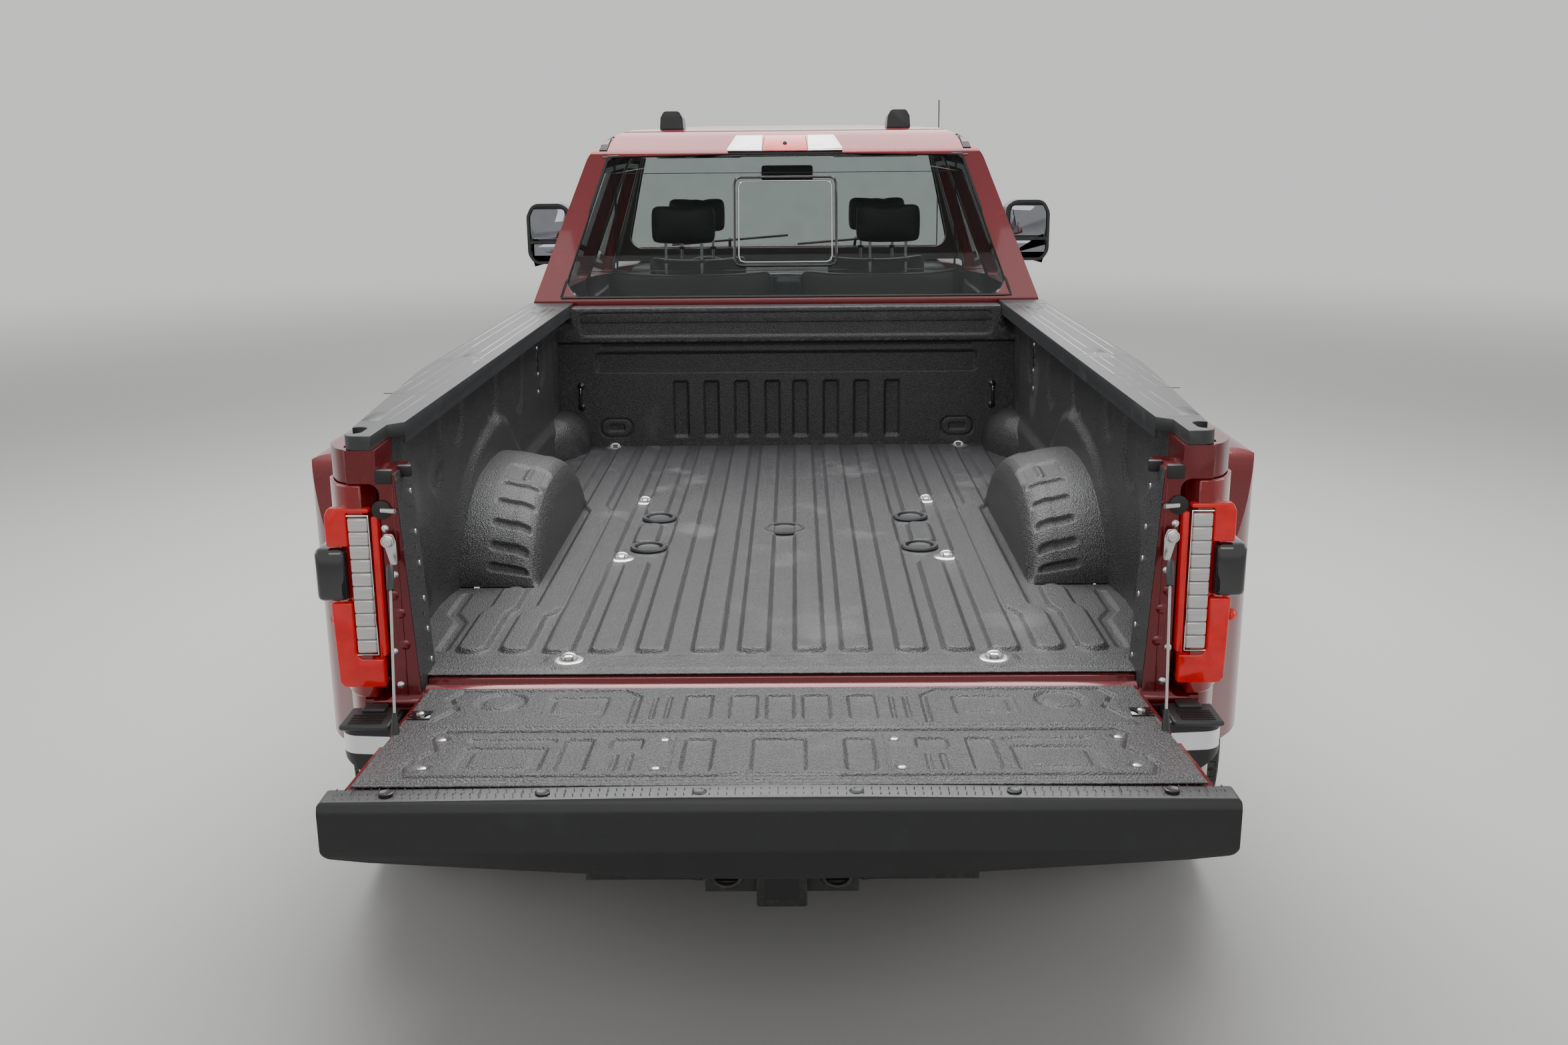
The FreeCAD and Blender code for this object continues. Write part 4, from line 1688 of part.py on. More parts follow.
def bed_liners():
    """Inner side walls of the load space, with channels pressed into them."""
    head = RAIL_CAP_TOP - RAIL_CAP_SHEET - SEAT_GAP
    start = POST_DEPTH - POST_REAR + SEAT_GAP
    sheet = bed_block((BED_INNER, WALL_FACE - SEAT_GAP), (start, BED_LENGTH - SEAT_GAP), (SEAT_GAP, head))
    sheet = sheet.fuse(corner_bulge()).removeSplitter()
    cuts = [wheelhouse_solid(-SEAT_GAP)]
    shelf = [(BED_REAR + y, FLOOR_HEIGHT + z, OVERRUN) for y, z in WALL_SHELF]
    low, high = (BED_REAR, BED_REAR + BED_LENGTH)
    level = FLOOR_HEIGHT + RAIL_CAP_TOP
    around = [(high, shelf[-1][1], 0.0), (high, level, 0.0), (low, level, 0.0), (low, shelf[0][1], 0.0)]
    cuts.append(slab("yz", shelf + around, BED_INNER - SEAT_GAP, BED_INNER + WALL_SHELF_DEPTH))
    for line, half in WALL_COLUMNS:
        places = [(BED_REAR + y, FLOOR_HEIGHT + z) for y, z in line]
        cuts.append(slab("yz", strip(places, half), BED_INNER - SEAT_GAP, BED_INNER + WALL_COLUMN_DEPTH))
    return both(sheet.cut(fused(cuts[1:])).cut(cuts[0]))


def corner_bulge():
    """Bulge in the front lower corner of the load space's right side."""
    base = FLOOR_HEIGHT + SEAT_GAP
    end = BED_REAR + BED_LENGTH - SEAT_GAP
    plan = [(x, BED_REAR + y, CORNER_ROUND) for x, y in CORNER_PLAN]
    outer = WALL_FACE - SEAT_GAP
    plan += [(CORNER_PLAN[-1][0], end, 0.0), (outer, end, 0.0), (outer, plan[0][1], 0.0)]
    face = [(x, base + z, CORNER_ROUND) for x, z in CORNER_FACE]
    face += [(outer, face[-1][1], 0.0), (outer, base, 0.0)]
    bulge = slab("xy", plan, base, FLOOR_HEIGHT + RAIL_CAP_TOP)
    return bulge.common(slab("xz", face, plan[0][1], end))


def wheelhouse_solid(inset):
    """Right wheelhouse as a solid, drawn in by inset."""
    base = FLOOR_HEIGHT - FLOOR_SHEET
    corners = outline(ARCH_SHARES, (AXLE_REAR, base), (ARCH_HALF, ARCH_RISE + FLOOR_SHEET), ARCH_BEND)
    return slab("yz", corners, ARCH_INNER + inset, WALL_FACE - SEAT_GAP, inset)


def wheelhouse_grooves():
    """Grooves across the rear slope of the right wheelhouse and the recess in its crown."""
    bars = []
    for y, z in ARCH_GROOVES:
        start = (ARCH_GROOVE_START, AXLE_REAR + y, FLOOR_HEIGHT + z)
        bars.append(rod(start, (ARCH_GROOVE_END, AXLE_REAR + y, FLOOR_HEIGHT + z), ARCH_GROOVE_RADIUS))
    along = (AXLE_REAR + ARCH_CROWN_RECESS[0], AXLE_REAR + ARCH_CROWN_RECESS[1])
    corners = plate_corners((ARCH_GROOVE_START, ARCH_GROOVE_END), along, ARCH_CROWN_ROUND)
    bars.append(slab("xy", corners, FLOOR_HEIGHT + OVERRUN, ROOF_HEIGHT))
    crust = wheelhouse_solid(0.0).cut(wheelhouse_solid(ARCH_GROOVE_DEPTH))
    return crust.common(Part.makeCompound(bars))


def wheelhouses():
    """Wheelhouses in the load space, open below and towards the wheels."""
    base = FLOOR_HEIGHT - FLOOR_SHEET
    cavity = wheelhouse_solid(ARCH_SHEET)
    mouth = block((ARCH_INNER + ARCH_SHEET, WALL_FACE),
                  (AXLE_REAR - ARCH_HALF + ARCH_SHEET, AXLE_REAR + ARCH_HALF - ARCH_SHEET),
                  (base - OVERRUN, base + ARCH_SHEET * 2))
    return both(wheelhouse_solid(0.0).cut(Part.makeCompound([cavity, mouth])).cut(wheelhouse_grooves()))


def stake_hole(low):
    """Oval stake pocket near the rear end of the right bed rail."""
    middle = (RAIL_CAP_INNER + RAIL_CAP_OUTER) / 2
    y = BED_REAR + STAKE_SETBACK
    across = (middle - STAKE_HALF, middle + STAKE_HALF)
    along = (y - STAKE_LENGTH / 2, y + STAKE_LENGTH / 2)
    return slab("xy", plate_corners(across, along, STAKE_HALF), low, ROOF_HEIGHT)


def rail_caps():
    """Caps on the bed walls, with an inner lip and a stake pocket."""
    head = FLOOR_HEIGHT + RAIL_CAP_TOP
    start = BED_REAR - POST_REAR
    end = BED_REAR + BED_LENGTH + BED_WALL
    shift = RAIL_CAP_SHEET
    plan = [
        (RAIL_CAP_INNER + shift, start, 0.0), (RAIL_CAP_TAIL, start, OVERRUN),
        (RAIL_CAP_OUTER, BED_REAR + BED_LENGTH * 0.35, BED_LENGTH), (RAIL_CAP_OUTER + MOVE_GAP, end, 0.0),
        (RAIL_CAP_INNER, end, 0.0), (RAIL_CAP_INNER, start + POST_DEPTH + shift, 0.0),
        (RAIL_CAP_INNER + shift, start + POST_DEPTH, 0.0),
    ]
    cap = slab("xy", plan, head - RAIL_CAP_SHEET, head)
    lip = block((RAIL_CAP_INNER, RAIL_CAP_INNER + MOVE_GAP), (start + POST_DEPTH + shift, end),
                (head - RAIL_CAP_LIP, head - RAIL_CAP_SHEET))
    whole = fused([cap, lip]).cut(stake_hole(head - RAIL_CAP_LIP))
    return both(whole)


def fender_solid(inset):
    """Right twin-wheel fender as a solid, drawn in by inset."""
    start = (WALL_FACE + BED_OUTER) / 2
    section = outline(FENDER_SECTION_SHARES, (start, FENDER_BASE), (FENDER_HALF - start, FENDER_RISE),
                      FENDER_ROUND)
    plan = outline(FENDER_PLAN_SHARES, (start, AXLE_REAR), (FENDER_HALF - start, FENDER_LENGTH_HALF),
                   FENDER_ROUND)
    side = outline(FENDER_SIDE_SHARES, (AXLE_REAR, FENDER_BASE), (FENDER_LENGTH_HALF, FENDER_RISE),
                   FENDER_ROUND)
    low = AXLE_REAR - FENDER_LENGTH_HALF
    high = AXLE_REAR + FENDER_LENGTH_HALF
    whole = slab("xz", section, low, high, inset)
    whole = whole.common(slab("xy", plan, 0.0, ROOF_HEIGHT, inset))
    return whole.common(slab("yz", side, start, FENDER_HALF, inset))


def rear_fenders():
    """Wide fenders over the twin rear wheels, seated on the bed walls."""
    shell = fender_solid(0.0).cut(bedside_solid(SEAT_GAP))
    shell = shell.cut(fender_solid(FENDER_SHEET))
    mouth = block((BED_INNER, FENDER_HALF + OVERRUN),
                  (AXLE_REAR - FENDER_LENGTH_HALF, AXLE_REAR + FENDER_LENGTH_HALF),
                  (FENDER_BASE - OVERRUN, FENDER_BASE + FENDER_SHEET))
    arch = rod((BED_INNER, AXLE_REAR, TYRE_RADIUS), (FENDER_HALF + OVERRUN, AXLE_REAR, TYRE_RADIUS),
               WHEEL_CUT)
    return both(shell.cut(Part.makeCompound([mouth, arch])))


def tie_downs():
    """Tie-down loops on the bed floor."""
    shapes = []
    for x, y in TIE_DOWN_PLACES:
        base = FLOOR_HEIGHT + SEAT_GAP
        plate = rod((x, BED_REAR + y, base), (x, BED_REAR + y, base + TIE_DOWN_HEIGHT), TIE_DOWN_RADIUS)
        loop = Part.makeTorus(TIE_DOWN_RADIUS * 0.6, TIE_DOWN_HEIGHT / 2,
                              FreeCAD.Vector(x, BED_REAR + y, base + TIE_DOWN_HEIGHT), ALONG)
        above = rod((x, BED_REAR + y, base), (x, BED_REAR + y, base + TIE_DOWN_RADIUS * 2), TIE_DOWN_RADIUS)
        shapes.append(fused([plate, loop.common(above)]))
    return Part.makeCompound(shapes + [mirrored(shape) for shape in shapes])


# Rear bumper and hitch
def rear_bumper():
    """Rear bumper with a dip under the tailgate and the arched valance below it."""
    def level(drop):
        return FLOOR_HEIGHT - drop

    right = [
        (REAR_BUMPER_DIP_HALF, level(REAR_BUMPER_DIP), 0.0),
        (REAR_BUMPER_DIP_HALF + MOVE_GAP, level(REAR_BUMPER_TOP), REAR_BUMPER_ROUND),
        (REAR_BUMPER_HALF, level(REAR_BUMPER_TOP), REAR_BUMPER_ROUND * 2),
        (REAR_BUMPER_HALF, level(REAR_BUMPER_END), REAR_BUMPER_ROUND * 2),
        (REAR_BUMPER_BASE_HALF, level(REAR_BUMPER_BASE), REAR_BUMPER_ROUND * 2),
    ]
    front_view = right + [(-u, v, r) for u, v, r in reversed(right)]
    rear = BED_REAR - REAR_BUMPER_REACH
    front = rail_rear() - SEAT_GAP
    corner = BED_REAR - REAR_BUMPER_FRONT
    half = RAIL_OUTER + OVERRUN
    right = [
        (0.0, rear, 0.0), (REAR_BUMPER_HALF / 2, rear, REAR_BUMPER_HALF),
        (REAR_BUMPER_HALF, rear + REAR_BUMPER_SWEEP, REAR_BUMPER_ROUND * 4),
        (REAR_BUMPER_HALF, corner, 0.0),
        (half, corner, 0.0), (half, front, 0.0), (0.0, front, 0.0),
    ]
    plan = right[1:-1] + [(-u, v, r) for u, v, r in reversed(right[1:-1])]
    bar = slab("xz", front_view, rear - OVERRUN,
               corner + OVERRUN).common(slab("xy", plan, 0.0, ROOF_HEIGHT))
    corners = outline(VALANCE_SHARES, (0.0, level(VALANCE_BASE)), (VALANCE_HALF, VALANCE_RISE),
                      VALANCE_ROUND)
    valance = slab("xz", corners, front - VALANCE_SHEET, front)
    opening = HITCH_HALF + MOVE_GAP / 2
    receiver = block((-opening, opening), (rear, front + OVERRUN),
                     (HITCH_TOP - HITCH_HALF - opening, HITCH_TOP - HITCH_HALF + opening))
    chains = block((-CHAIN_PLATE_HALF - MOVE_GAP, CHAIN_PLATE_HALF + MOVE_GAP), (rear, front + OVERRUN),
                   (HITCH_TOP - HITCH_HALF - CHAIN_RADIUS * 2, HITCH_TOP - HITCH_HALF + CHAIN_RADIUS * 1.5))
    return fused([bar, valance]).cut(Part.makeCompound([receiver, chains]))


def hitch():
    """Receiver hitch: square tube, cross tube under the rails and the safety-chain plate."""
    middle = HITCH_TOP - HITCH_HALF
    rear = BED_REAR - HITCH_REACH
    tube_rear = BED_REAR - HITCH_TUBE_REACH
    tube_front = tube_rear + HITCH_TUBE
    cross = block((-RAIL_OUTER, RAIL_OUTER), (tube_rear, tube_front),
                  (middle - HITCH_TUBE / 2, middle + HITCH_TUBE / 2))
    receiver = block((-HITCH_HALF, HITCH_HALF), (rear, tube_rear),
                     (middle - HITCH_HALF, middle + HITCH_HALF))
    bore = HITCH_HALF - HITCH_WALL
    inside = block((-bore, bore), (rear - OVERRUN, tube_rear), (middle - bore, middle + bore))
    plate_y = BED_REAR - CHAIN_REACH
    plate = block((-CHAIN_PLATE_HALF, CHAIN_PLATE_HALF), (plate_y, plate_y + CHAIN_PLATE),
                  (middle - CHAIN_RADIUS * 1.4, middle + CHAIN_RADIUS * 1.4))
    shapes = [cross, receiver, plate]
    low = RAIL_REAR_TOP - RAIL_DEPTH - SEAT_GAP
    holes = [inside]
    for way in (-1, 1):
        near, far = sorted((way * (RAIL_OUTER - RAIL_WIDTH), way * RAIL_OUTER))
        shapes.append(block((near, far), (tube_rear, tube_front), (middle, low)))
        across = (way * CHAIN_X - CHAIN_HALF, way * CHAIN_X + CHAIN_HALF)
        upward = (middle - CHAIN_RADIUS / 2, middle + CHAIN_RADIUS / 2)
        corners = plate_corners(across, upward, CHAIN_RADIUS / 2)
        holes.append(slab("xz", corners, plate_y - OVERRUN, plate_y + OVERRUN))
    return fused(shapes).cut(Part.makeCompound(holes))


# Tailgate, drawn lowered
def gate_plan(inset, y_low, y_high):
    """Plan outline of the lowered tailgate between two distances behind the bed, drawn in by inset."""
    run = GATE_END - GATE_HINGE_BACK
    spread = GATE_HEAD_HALF - GATE_FOOT_HALF
    corners = []
    for distance, way in ((y_low, 1), (y_high, 1), (y_high, -1), (y_low, -1)):
        half = GATE_FOOT_HALF + spread * (distance - GATE_HINGE_BACK) / run - inset
        corners.append((way * half, BED_REAR - distance))
    return plain(corners)


def tailgate():
    """Tailgate body with its hinge pins and the cable anchor pockets."""
    radius = GATE_THICK / 2
    low = GATE_HINGE_Z - radius
    top = GATE_HINGE_Z + radius - GATE_LINER - SEAT_GAP
    body = slab("xy", gate_plan(0.0, GATE_HINGE_BACK, GATE_END), low, top)
    edge = rod((-GATE_FOOT_HALF, GATE_HINGE_Y, GATE_HINGE_Z), (GATE_FOOT_HALF, GATE_HINGE_Y, GATE_HINGE_Z),
               radius)
    shapes = [body, edge]
    pocket_y = BED_REAR - CABLE_GATE_Y
    anchor = GATE_HEAD_HALF - CABLE_PIN_LENGTH * 3
    for way in (-1, 1):
        shapes.append(rod((way * (GATE_FOOT_HALF - HINGE_LENGTH), GATE_HINGE_Y, GATE_HINGE_Z),
                          (way * (GATE_FOOT_HALF + HINGE_LENGTH), GATE_HINGE_Y, GATE_HINGE_Z), HINGE_PIN))
    whole = fused(shapes).cut(gate_pockets())
    level = FLOOR_HEIGHT - CABLE_GATE_DROP
    pins = []
    for way in (-1, 1):
        pins.append(rod((way * (anchor - CABLE_PIN), pocket_y, level),
                        (way * (anchor + CABLE_PIN_LENGTH), pocket_y, level),
                        CABLE_PIN))
    return fused([whole] + pins)


def gate_pockets():
    """Side pockets of the tailgate in which the cables are anchored."""
    pocket_y = BED_REAR - CABLE_GATE_Y
    cuts = []
    for way in (-1, 1):
        near, far = sorted((way * (GATE_HEAD_HALF - CABLE_PIN_LENGTH * 3),
                            way * (GATE_HEAD_HALF + OVERRUN)))
        cuts.append(block((near, far), (pocket_y - CABLE_POCKET / 2, pocket_y + CABLE_POCKET / 2),
                          (FLOOR_HEIGHT - CABLE_POCKET, FLOOR_HEIGHT)))
    return Part.makeCompound(cuts)


def gate_pressings(low, high):
    """Hollows of the tailgate's inner skin between two levels: slots, trays, dishes and end lobes."""
    def hollow(x_low, x_high, ends, radius):
        """Rounded hollow between two places across and two distances behind the bed."""
        along = (BED_REAR - ends[1], BED_REAR - ends[0])
        return slab("xy", plate_corners((x_low, x_high), along, radius), low, high)

    slots = [(x, width, BAND_SLOT_ENDS) for x, width in BAND_SLOTS]
    slots += [(x, width, PANEL_SLOT_ENDS) for x, width in PANEL_SLOTS]
    slots.append((*PANEL_SHORT_SLOT, PANEL_SHORT_ENDS))
    shapes = [hollow(x - width / 2, x + width / 2, ends, PRESSED_ROUND) for x, width, ends in slots]
    shapes.append(hollow(TRAY_INNER, TRAY_OUTER, TRAY_ENDS, PRESSED_ROUND))
    inner = (LOBE_ENDS[0] + LOBE_GROOVE, LOBE_ENDS[1] - LOBE_GROOVE)
    lobe = hollow(LOBE_INNER, LOBE_OUTER, LOBE_ENDS, LOBE_ROUND)
    left = LOBE_INNER + LOBE_GROOVE
    shapes.append(lobe.cut(hollow(left, LOBE_OUTER - LOBE_GROOVE, inner, LOBE_ROUND - LOBE_GROOVE)))
    y = BED_REAR - DISH_BEHIND
    dish = rod((DISH_X, y, low), (DISH_X, y, high), DISH_RADIUS)
    shapes.append(dish.cut(rod((DISH_X, y, low), (DISH_X, y, high), DISH_RADIUS - DISH_RING)))
    return shapes + [mirrored(shape) for shape in shapes if shape.BoundBox.XMin > 0]


def tailgate_liner():
    """Inner skin of the tailgate: a band, a bead and a broad panel, each with its pressed hollows."""
    top = GATE_HINGE_Z + GATE_THICK / 2
    base = top - GATE_LINER
    middle = (base + top) / 2
    start = GATE_HINGE_BACK + GATE_LINER_START
    sheet = slab("xy", gate_plan(GATE_LINER_INSET, start, GATE_END - GATE_LINER), base, middle)
    inset = GATE_LINER_INSET * 2
    band = slab("xy", gate_plan(inset, start + GATE_LINER_INSET, BEAD_START), middle, top)
    panel = slab("xy", gate_plan(inset, BEAD_START + BEAD_WIDTH * 3, PANEL_END), middle, top)
    bead = slab("xy", gate_plan(inset, BEAD_START + BEAD_WIDTH, BEAD_START + BEAD_WIDTH * 2), middle, top)
    hollows = Part.makeCompound(gate_pressings(middle, top + OVERRUN))
    return fused([sheet, band, panel, bead]).cut(gate_pockets()).cut(hollows)


def tailgate_spoiler():
    """Cap along the tailgate's free edge, arched at its lower side."""
    def level(drop):
        return FLOOR_HEIGHT - drop

    corners = [
        (-SPOILER_HALF, level(SPOILER_EDGE), SPOILER_LIP),
        (-SPOILER_HALF, level(SPOILER_DROP), SPOILER_LIP * 2),
        (-SPOILER_HALF * 0.9, level(SPOILER_DROP + SPOILER_LIP), SPOILER_ROUND / 4),
        (0.0, level(SPOILER_BELLY), SPOILER_ROUND * 3),
        (SPOILER_HALF * 0.9, level(SPOILER_DROP + SPOILER_LIP), SPOILER_ROUND / 4),
        (SPOILER_HALF, level(SPOILER_DROP), SPOILER_LIP * 2),
        (SPOILER_HALF, level(SPOILER_EDGE), SPOILER_LIP),
        (0.0, level(SPOILER_TOP), SPOILER_ROUND * 3),
    ]
    start = BED_REAR - GATE_END - SEAT_GAP
    end = BED_REAR - GATE_REACH
    whole = slab("xz", corners, end, start)
    side = [
        (start, level(0.0), 0.0), (end + SPOILER_LIP, level(SPOILER_TOP), SPOILER_LIP),
        (end, level(SPOILER_LIP * 3), SPOILER_LIP * 2),
        (end, level(SPOILER_BACK - SPOILER_LIP), SPOILER_LIP),
        (end + SPOILER_LIP * 2, level(SPOILER_BELLY), 0.0),
        (start - SPOILER_LIP, level(SPOILER_BELLY), 0.0),
        (start, level(SPOILER_BACK), 0.0),
    ]
    return whole.common(slab("yz", side, -SPOILER_HALF, SPOILER_HALF))


def gate_cables():
    """Stay cables from the rear posts to the tailgate, with their end eyes."""
    level = FLOOR_HEIGHT - CABLE_GATE_DROP
    anchor = GATE_HEAD_HALF - CABLE_PIN_LENGTH * 3 + CABLE_PIN_LENGTH / 2
    eye_radius = CABLE_PIN * 2
    low = FreeCAD.Vector(anchor, BED_REAR - CABLE_GATE_Y, level)
    high = FreeCAD.Vector(STUD_X, BED_REAR - POST_REAR - STUD_LENGTH / 2, FLOOR_HEIGHT + STUD_LEVEL)
    run = (high - low).normalize()
    cable = rod(tuple(low + run * eye_radius), tuple(high - run * eye_radius), CABLE_RADIUS)
    lower = rod((low.x - CABLE_RADIUS, low.y, low.z), (low.x + CABLE_RADIUS, low.y, low.z), eye_radius)
    lower = lower.fuse(rod(tuple(low + run * CABLE_PIN), tuple(low + run * eye_radius * 2), CABLE_RADIUS))
    lower = lower.cut(rod((low.x - OVERRUN, low.y, low.z), (low.x + OVERRUN, low.y, low.z),
                          CABLE_PIN + SEAT_GAP))
    upper = rod((high.x, high.y - STUD_RADIUS, high.z), (high.x, high.y + STUD_RADIUS, high.z), eye_radius)
    upper = upper.cut(rod((high.x, high.y - OVERRUN, high.z), (high.x, high.y + OVERRUN, high.z),
                          STUD_RADIUS + SEAT_GAP))
    return both(fused([cable, lower, upper]))


# Roof fittings
def roof_lamps():
    """Five marker lamps on the roof and the high stop lamp above the rear window."""
    crust = cab_solid(-ROOF_LAMP_RISE).cut(cab_solid(-SEAT_GAP))
    shapes = []
    front = CAB_REAR + CAB_LENGTH * 0.72 - ROOF_LAMP_INSET
    for index in range(ROOF_LAMP_COUNT):
        x = -ROOF_LAMP_SPAN / 2 + ROOF_LAMP_SPAN * index / (ROOF_LAMP_COUNT - 1)
        across = (x - ROOF_LAMP_WIDTH / 2, x + ROOF_LAMP_WIDTH / 2)
        corners = plate_corners(across, (front, front + ROOF_LAMP_LENGTH), ROOF_LAMP_WIDTH / 3)
        shapes.append(crust.common(slab("xy", corners, ROOF_HEIGHT * 0.8, ROOF_HEIGHT * 1.2)))
    rear = cab_solid(-STOP_LAMP_PROUD).cut(cab_solid(-SEAT_GAP))
    corners = [
        (-STOP_LAMP_HALF, STOP_LAMP_BASE, MOVE_GAP), (STOP_LAMP_HALF, STOP_LAMP_BASE, MOVE_GAP),
        (STOP_LAMP_TOP_HALF, STOP_LAMP_BASE + STOP_LAMP_RISE, MOVE_GAP),
        (-STOP_LAMP_TOP_HALF, STOP_LAMP_BASE + STOP_LAMP_RISE, MOVE_GAP),
    ]
    shapes.append(rear.common(slab("xz", corners, CAB_REAR - OVERRUN, CAB_REAR + CAB_LENGTH * 0.2)))
    return Part.makeCompound(shapes)


def antennas():
    """Two roof pods and the mast on the right front fender."""
    y = CAB_REAR + ROOF_PUCK_SETBACK
    shapes = []
    roof = cab_solid(-SEAT_GAP)
    for way in (-1, 1):
        corners = outline(PUCK_SHARES, (way * ROOF_PUCK_X, ROOF_HEIGHT - ROOF_PUCK_RISE),
                          (ROOF_PUCK_HALF, ROOF_PUCK_RISE * 2), ROOF_PUCK_RISE)
        pod = slab("xz", corners, y, y + ROOF_PUCK_LENGTH)
        top = ROOF_HEIGHT + ROOF_PUCK_RISE
        nose = plain([
            (y, ROOF_HEIGHT - ROOF_PUCK_RISE), (y, top), (y + ROOF_PUCK_LENGTH / 2, top),
            (y + ROOF_PUCK_LENGTH, ROOF_HEIGHT), (y + ROOF_PUCK_LENGTH, ROOF_HEIGHT - ROOF_PUCK_RISE),
        ])
        shapes.append(pod.common(slab("yz", nose, -BODY_HALF, BODY_HALF)).cut(roof))
    low = BODY_BASE + NOSE_RISE * 0.8
    mast = fused([
        rod((MAST_X, MAST_Y, low), (MAST_X, MAST_Y, MAST_TOP), MAST_RADIUS),
        rod((MAST_X, MAST_Y, low), (MAST_X, MAST_Y, BODY_BASE + NOSE_RISE * 0.96), MAST_FOOT),
    ])
    shapes.append(mast.cut(nose_solid(-SEAT_GAP)))
    return Part.makeCompound(shapes)


def write_all():
    """Store every piece as its own file."""
    write("frame", frame())
    write("engine_block", engine_block())
    write("driveline", driveline())
    write("front_axle", front_axle())
    write("rear_axle", rear_axle())
    write("suspension", suspension())
    write("fuel_tank", fuel_tank())
    write("exhaust", exhaust())
    write("spare_wheel", spare_wheel())
    write("hitch", hitch())
    right_knuckle = knuckle()
    write("knuckle_right", right_knuckle)
    write("knuckle_left", mirrored(right_knuckle))
    write("tie_rod", tie_rod())
    front = front_wheel(FRONT_WHEEL_X, AXLE_FRONT, TYRE_RADIUS)
    write("wheel_front_right", front)
    write("wheel_front_left", mirrored(front))
    rear = wheel_pair(REAR_WHEEL_X, AXLE_REAR, TYRE_RADIUS)
    write("wheels_rear_right", rear)
    write("wheels_rear_left", mirrored(rear))
    write("cab_shell", cab_shell())
    write("cab_glass", cab_glass())
    for name, (shares, start, length), window in (
            ("front", DOORS[0], FRONT_WINDOW_SHARES), ("rear", DOORS[1], REAR_WINDOW_SHARES)):
        leaf = door(shares, start, length, window)
        write(f"door_{name}_right", leaf)
        write(f"door_{name}_left", mirrored(leaf))
        pane = door_glass(start, length, window)
        write(f"glass_{name}_right", pane)
        write(f"glass_{name}_left", mirrored(pane))
    glass = mirror()
    write("mirror_right", glass)
    write("mirror_left", mirrored(glass))
    write("hood", hood())
    write("front_fenders", front_fenders())
    write("wheel_liners", wheel_liners())
    write("headlamps", headlamps())
    write("grille", grille())
    write("radiator", radiator())
    write("cowl", cowl())
    write("front_bumper", front_bumper())
    write("running_boards", running_boards())
    write("dashboard", dashboard())
    write("steering_wheel", steering_wheel())
    write("seats", seats())
    write("bed_floor", bed_floor())
    write("bed_front_wall", bed_front_wall())
    write("bed_sides", bed_sides())
    write("bed_liners", bed_liners())
    write("wheelhouses", wheelhouses())
    write("rail_caps", rail_caps())
    write("rear_fenders", rear_fenders())
    write("tail_lamps", tail_lamps())
    write("tie_downs", tie_downs())
    write("rear_bumper", rear_bumper())
    write("tailgate", tailgate())
    write("tailgate_liner", tailgate_liner())
    write("tailgate_spoiler", tailgate_spoiler())
    write("gate_cables", gate_cables())
    write("roof_lamps", roof_lamps())
    write("antennas", antennas())


os.makedirs("parts", exist_ok=True)
write_all()
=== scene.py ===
"""Looks of a crew-cab pickup truck with twin rear wheels and its tailgate lowered.

Everything is in metres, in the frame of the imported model: +X right, +Y forwards, +Z up.
"""

import json
import logging
import math
from dataclasses import dataclass
from enum import Enum
from functools import partial
from typing import Callable, Iterable, Sequence

import bmesh
import bpy
import numpy as np
from mathutils import Matrix, Vector
from mathutils.bvhtree import BVHTree

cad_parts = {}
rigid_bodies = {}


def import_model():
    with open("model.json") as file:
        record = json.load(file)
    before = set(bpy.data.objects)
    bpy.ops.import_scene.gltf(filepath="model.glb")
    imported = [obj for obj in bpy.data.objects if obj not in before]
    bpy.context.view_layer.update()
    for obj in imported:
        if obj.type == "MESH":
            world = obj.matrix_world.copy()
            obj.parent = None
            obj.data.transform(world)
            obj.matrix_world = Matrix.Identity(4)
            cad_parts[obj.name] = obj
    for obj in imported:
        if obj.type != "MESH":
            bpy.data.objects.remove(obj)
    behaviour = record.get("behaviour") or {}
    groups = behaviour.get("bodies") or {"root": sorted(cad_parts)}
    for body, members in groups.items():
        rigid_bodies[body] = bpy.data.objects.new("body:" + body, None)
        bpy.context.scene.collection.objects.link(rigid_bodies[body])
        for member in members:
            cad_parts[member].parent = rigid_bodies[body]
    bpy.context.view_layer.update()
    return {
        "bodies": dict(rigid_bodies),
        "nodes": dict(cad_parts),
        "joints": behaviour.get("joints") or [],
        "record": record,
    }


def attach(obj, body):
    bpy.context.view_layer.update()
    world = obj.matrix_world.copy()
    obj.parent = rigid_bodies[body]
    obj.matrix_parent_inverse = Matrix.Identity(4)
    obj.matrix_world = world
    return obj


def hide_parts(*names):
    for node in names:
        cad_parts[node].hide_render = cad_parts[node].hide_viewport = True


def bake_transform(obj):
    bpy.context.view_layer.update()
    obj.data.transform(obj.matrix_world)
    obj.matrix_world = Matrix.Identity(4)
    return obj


LOG = logging.getLogger("pickup")
BED_REAR = -2.9715
POST_FACE = BED_REAR - 0.06
FLOOR = 0.915
AXLE_REAR = -1.8515
AXLE_FRONT = 2.6185
WHEEL_HEIGHT = 0.4
CAB_REAR = -0.3865
BEVEL_TURN = 32
MERGE = 2e-5
SIDES = (-1, 1)
HANDS = (("left", -1), ("right", 1))

DUST_COLOUR = (0.3, 0.28, 0.25)
UP = (0, 0, 1)
DOWN = (0, 0, -1)
AHEAD = (0, 1, 0)
BACK = (0, -1, 0)
INWARD = (-1, 0, 0)

Colour = tuple[float, float, float]
Point = tuple[float, float, float]
Spot = tuple[float, float]
Outline = tuple[Spot, ...]
Put = Callable[..., Sequence[float]]
Mesh = bmesh.types.BMesh
Shape = Mesh | list[Mesh]
Face = bmesh.types.BMFace
Tree = bpy.types.NodeTree
Socket = bpy.types.NodeSocket
Node = bpy.types.Node
Piece = bpy.types.Object


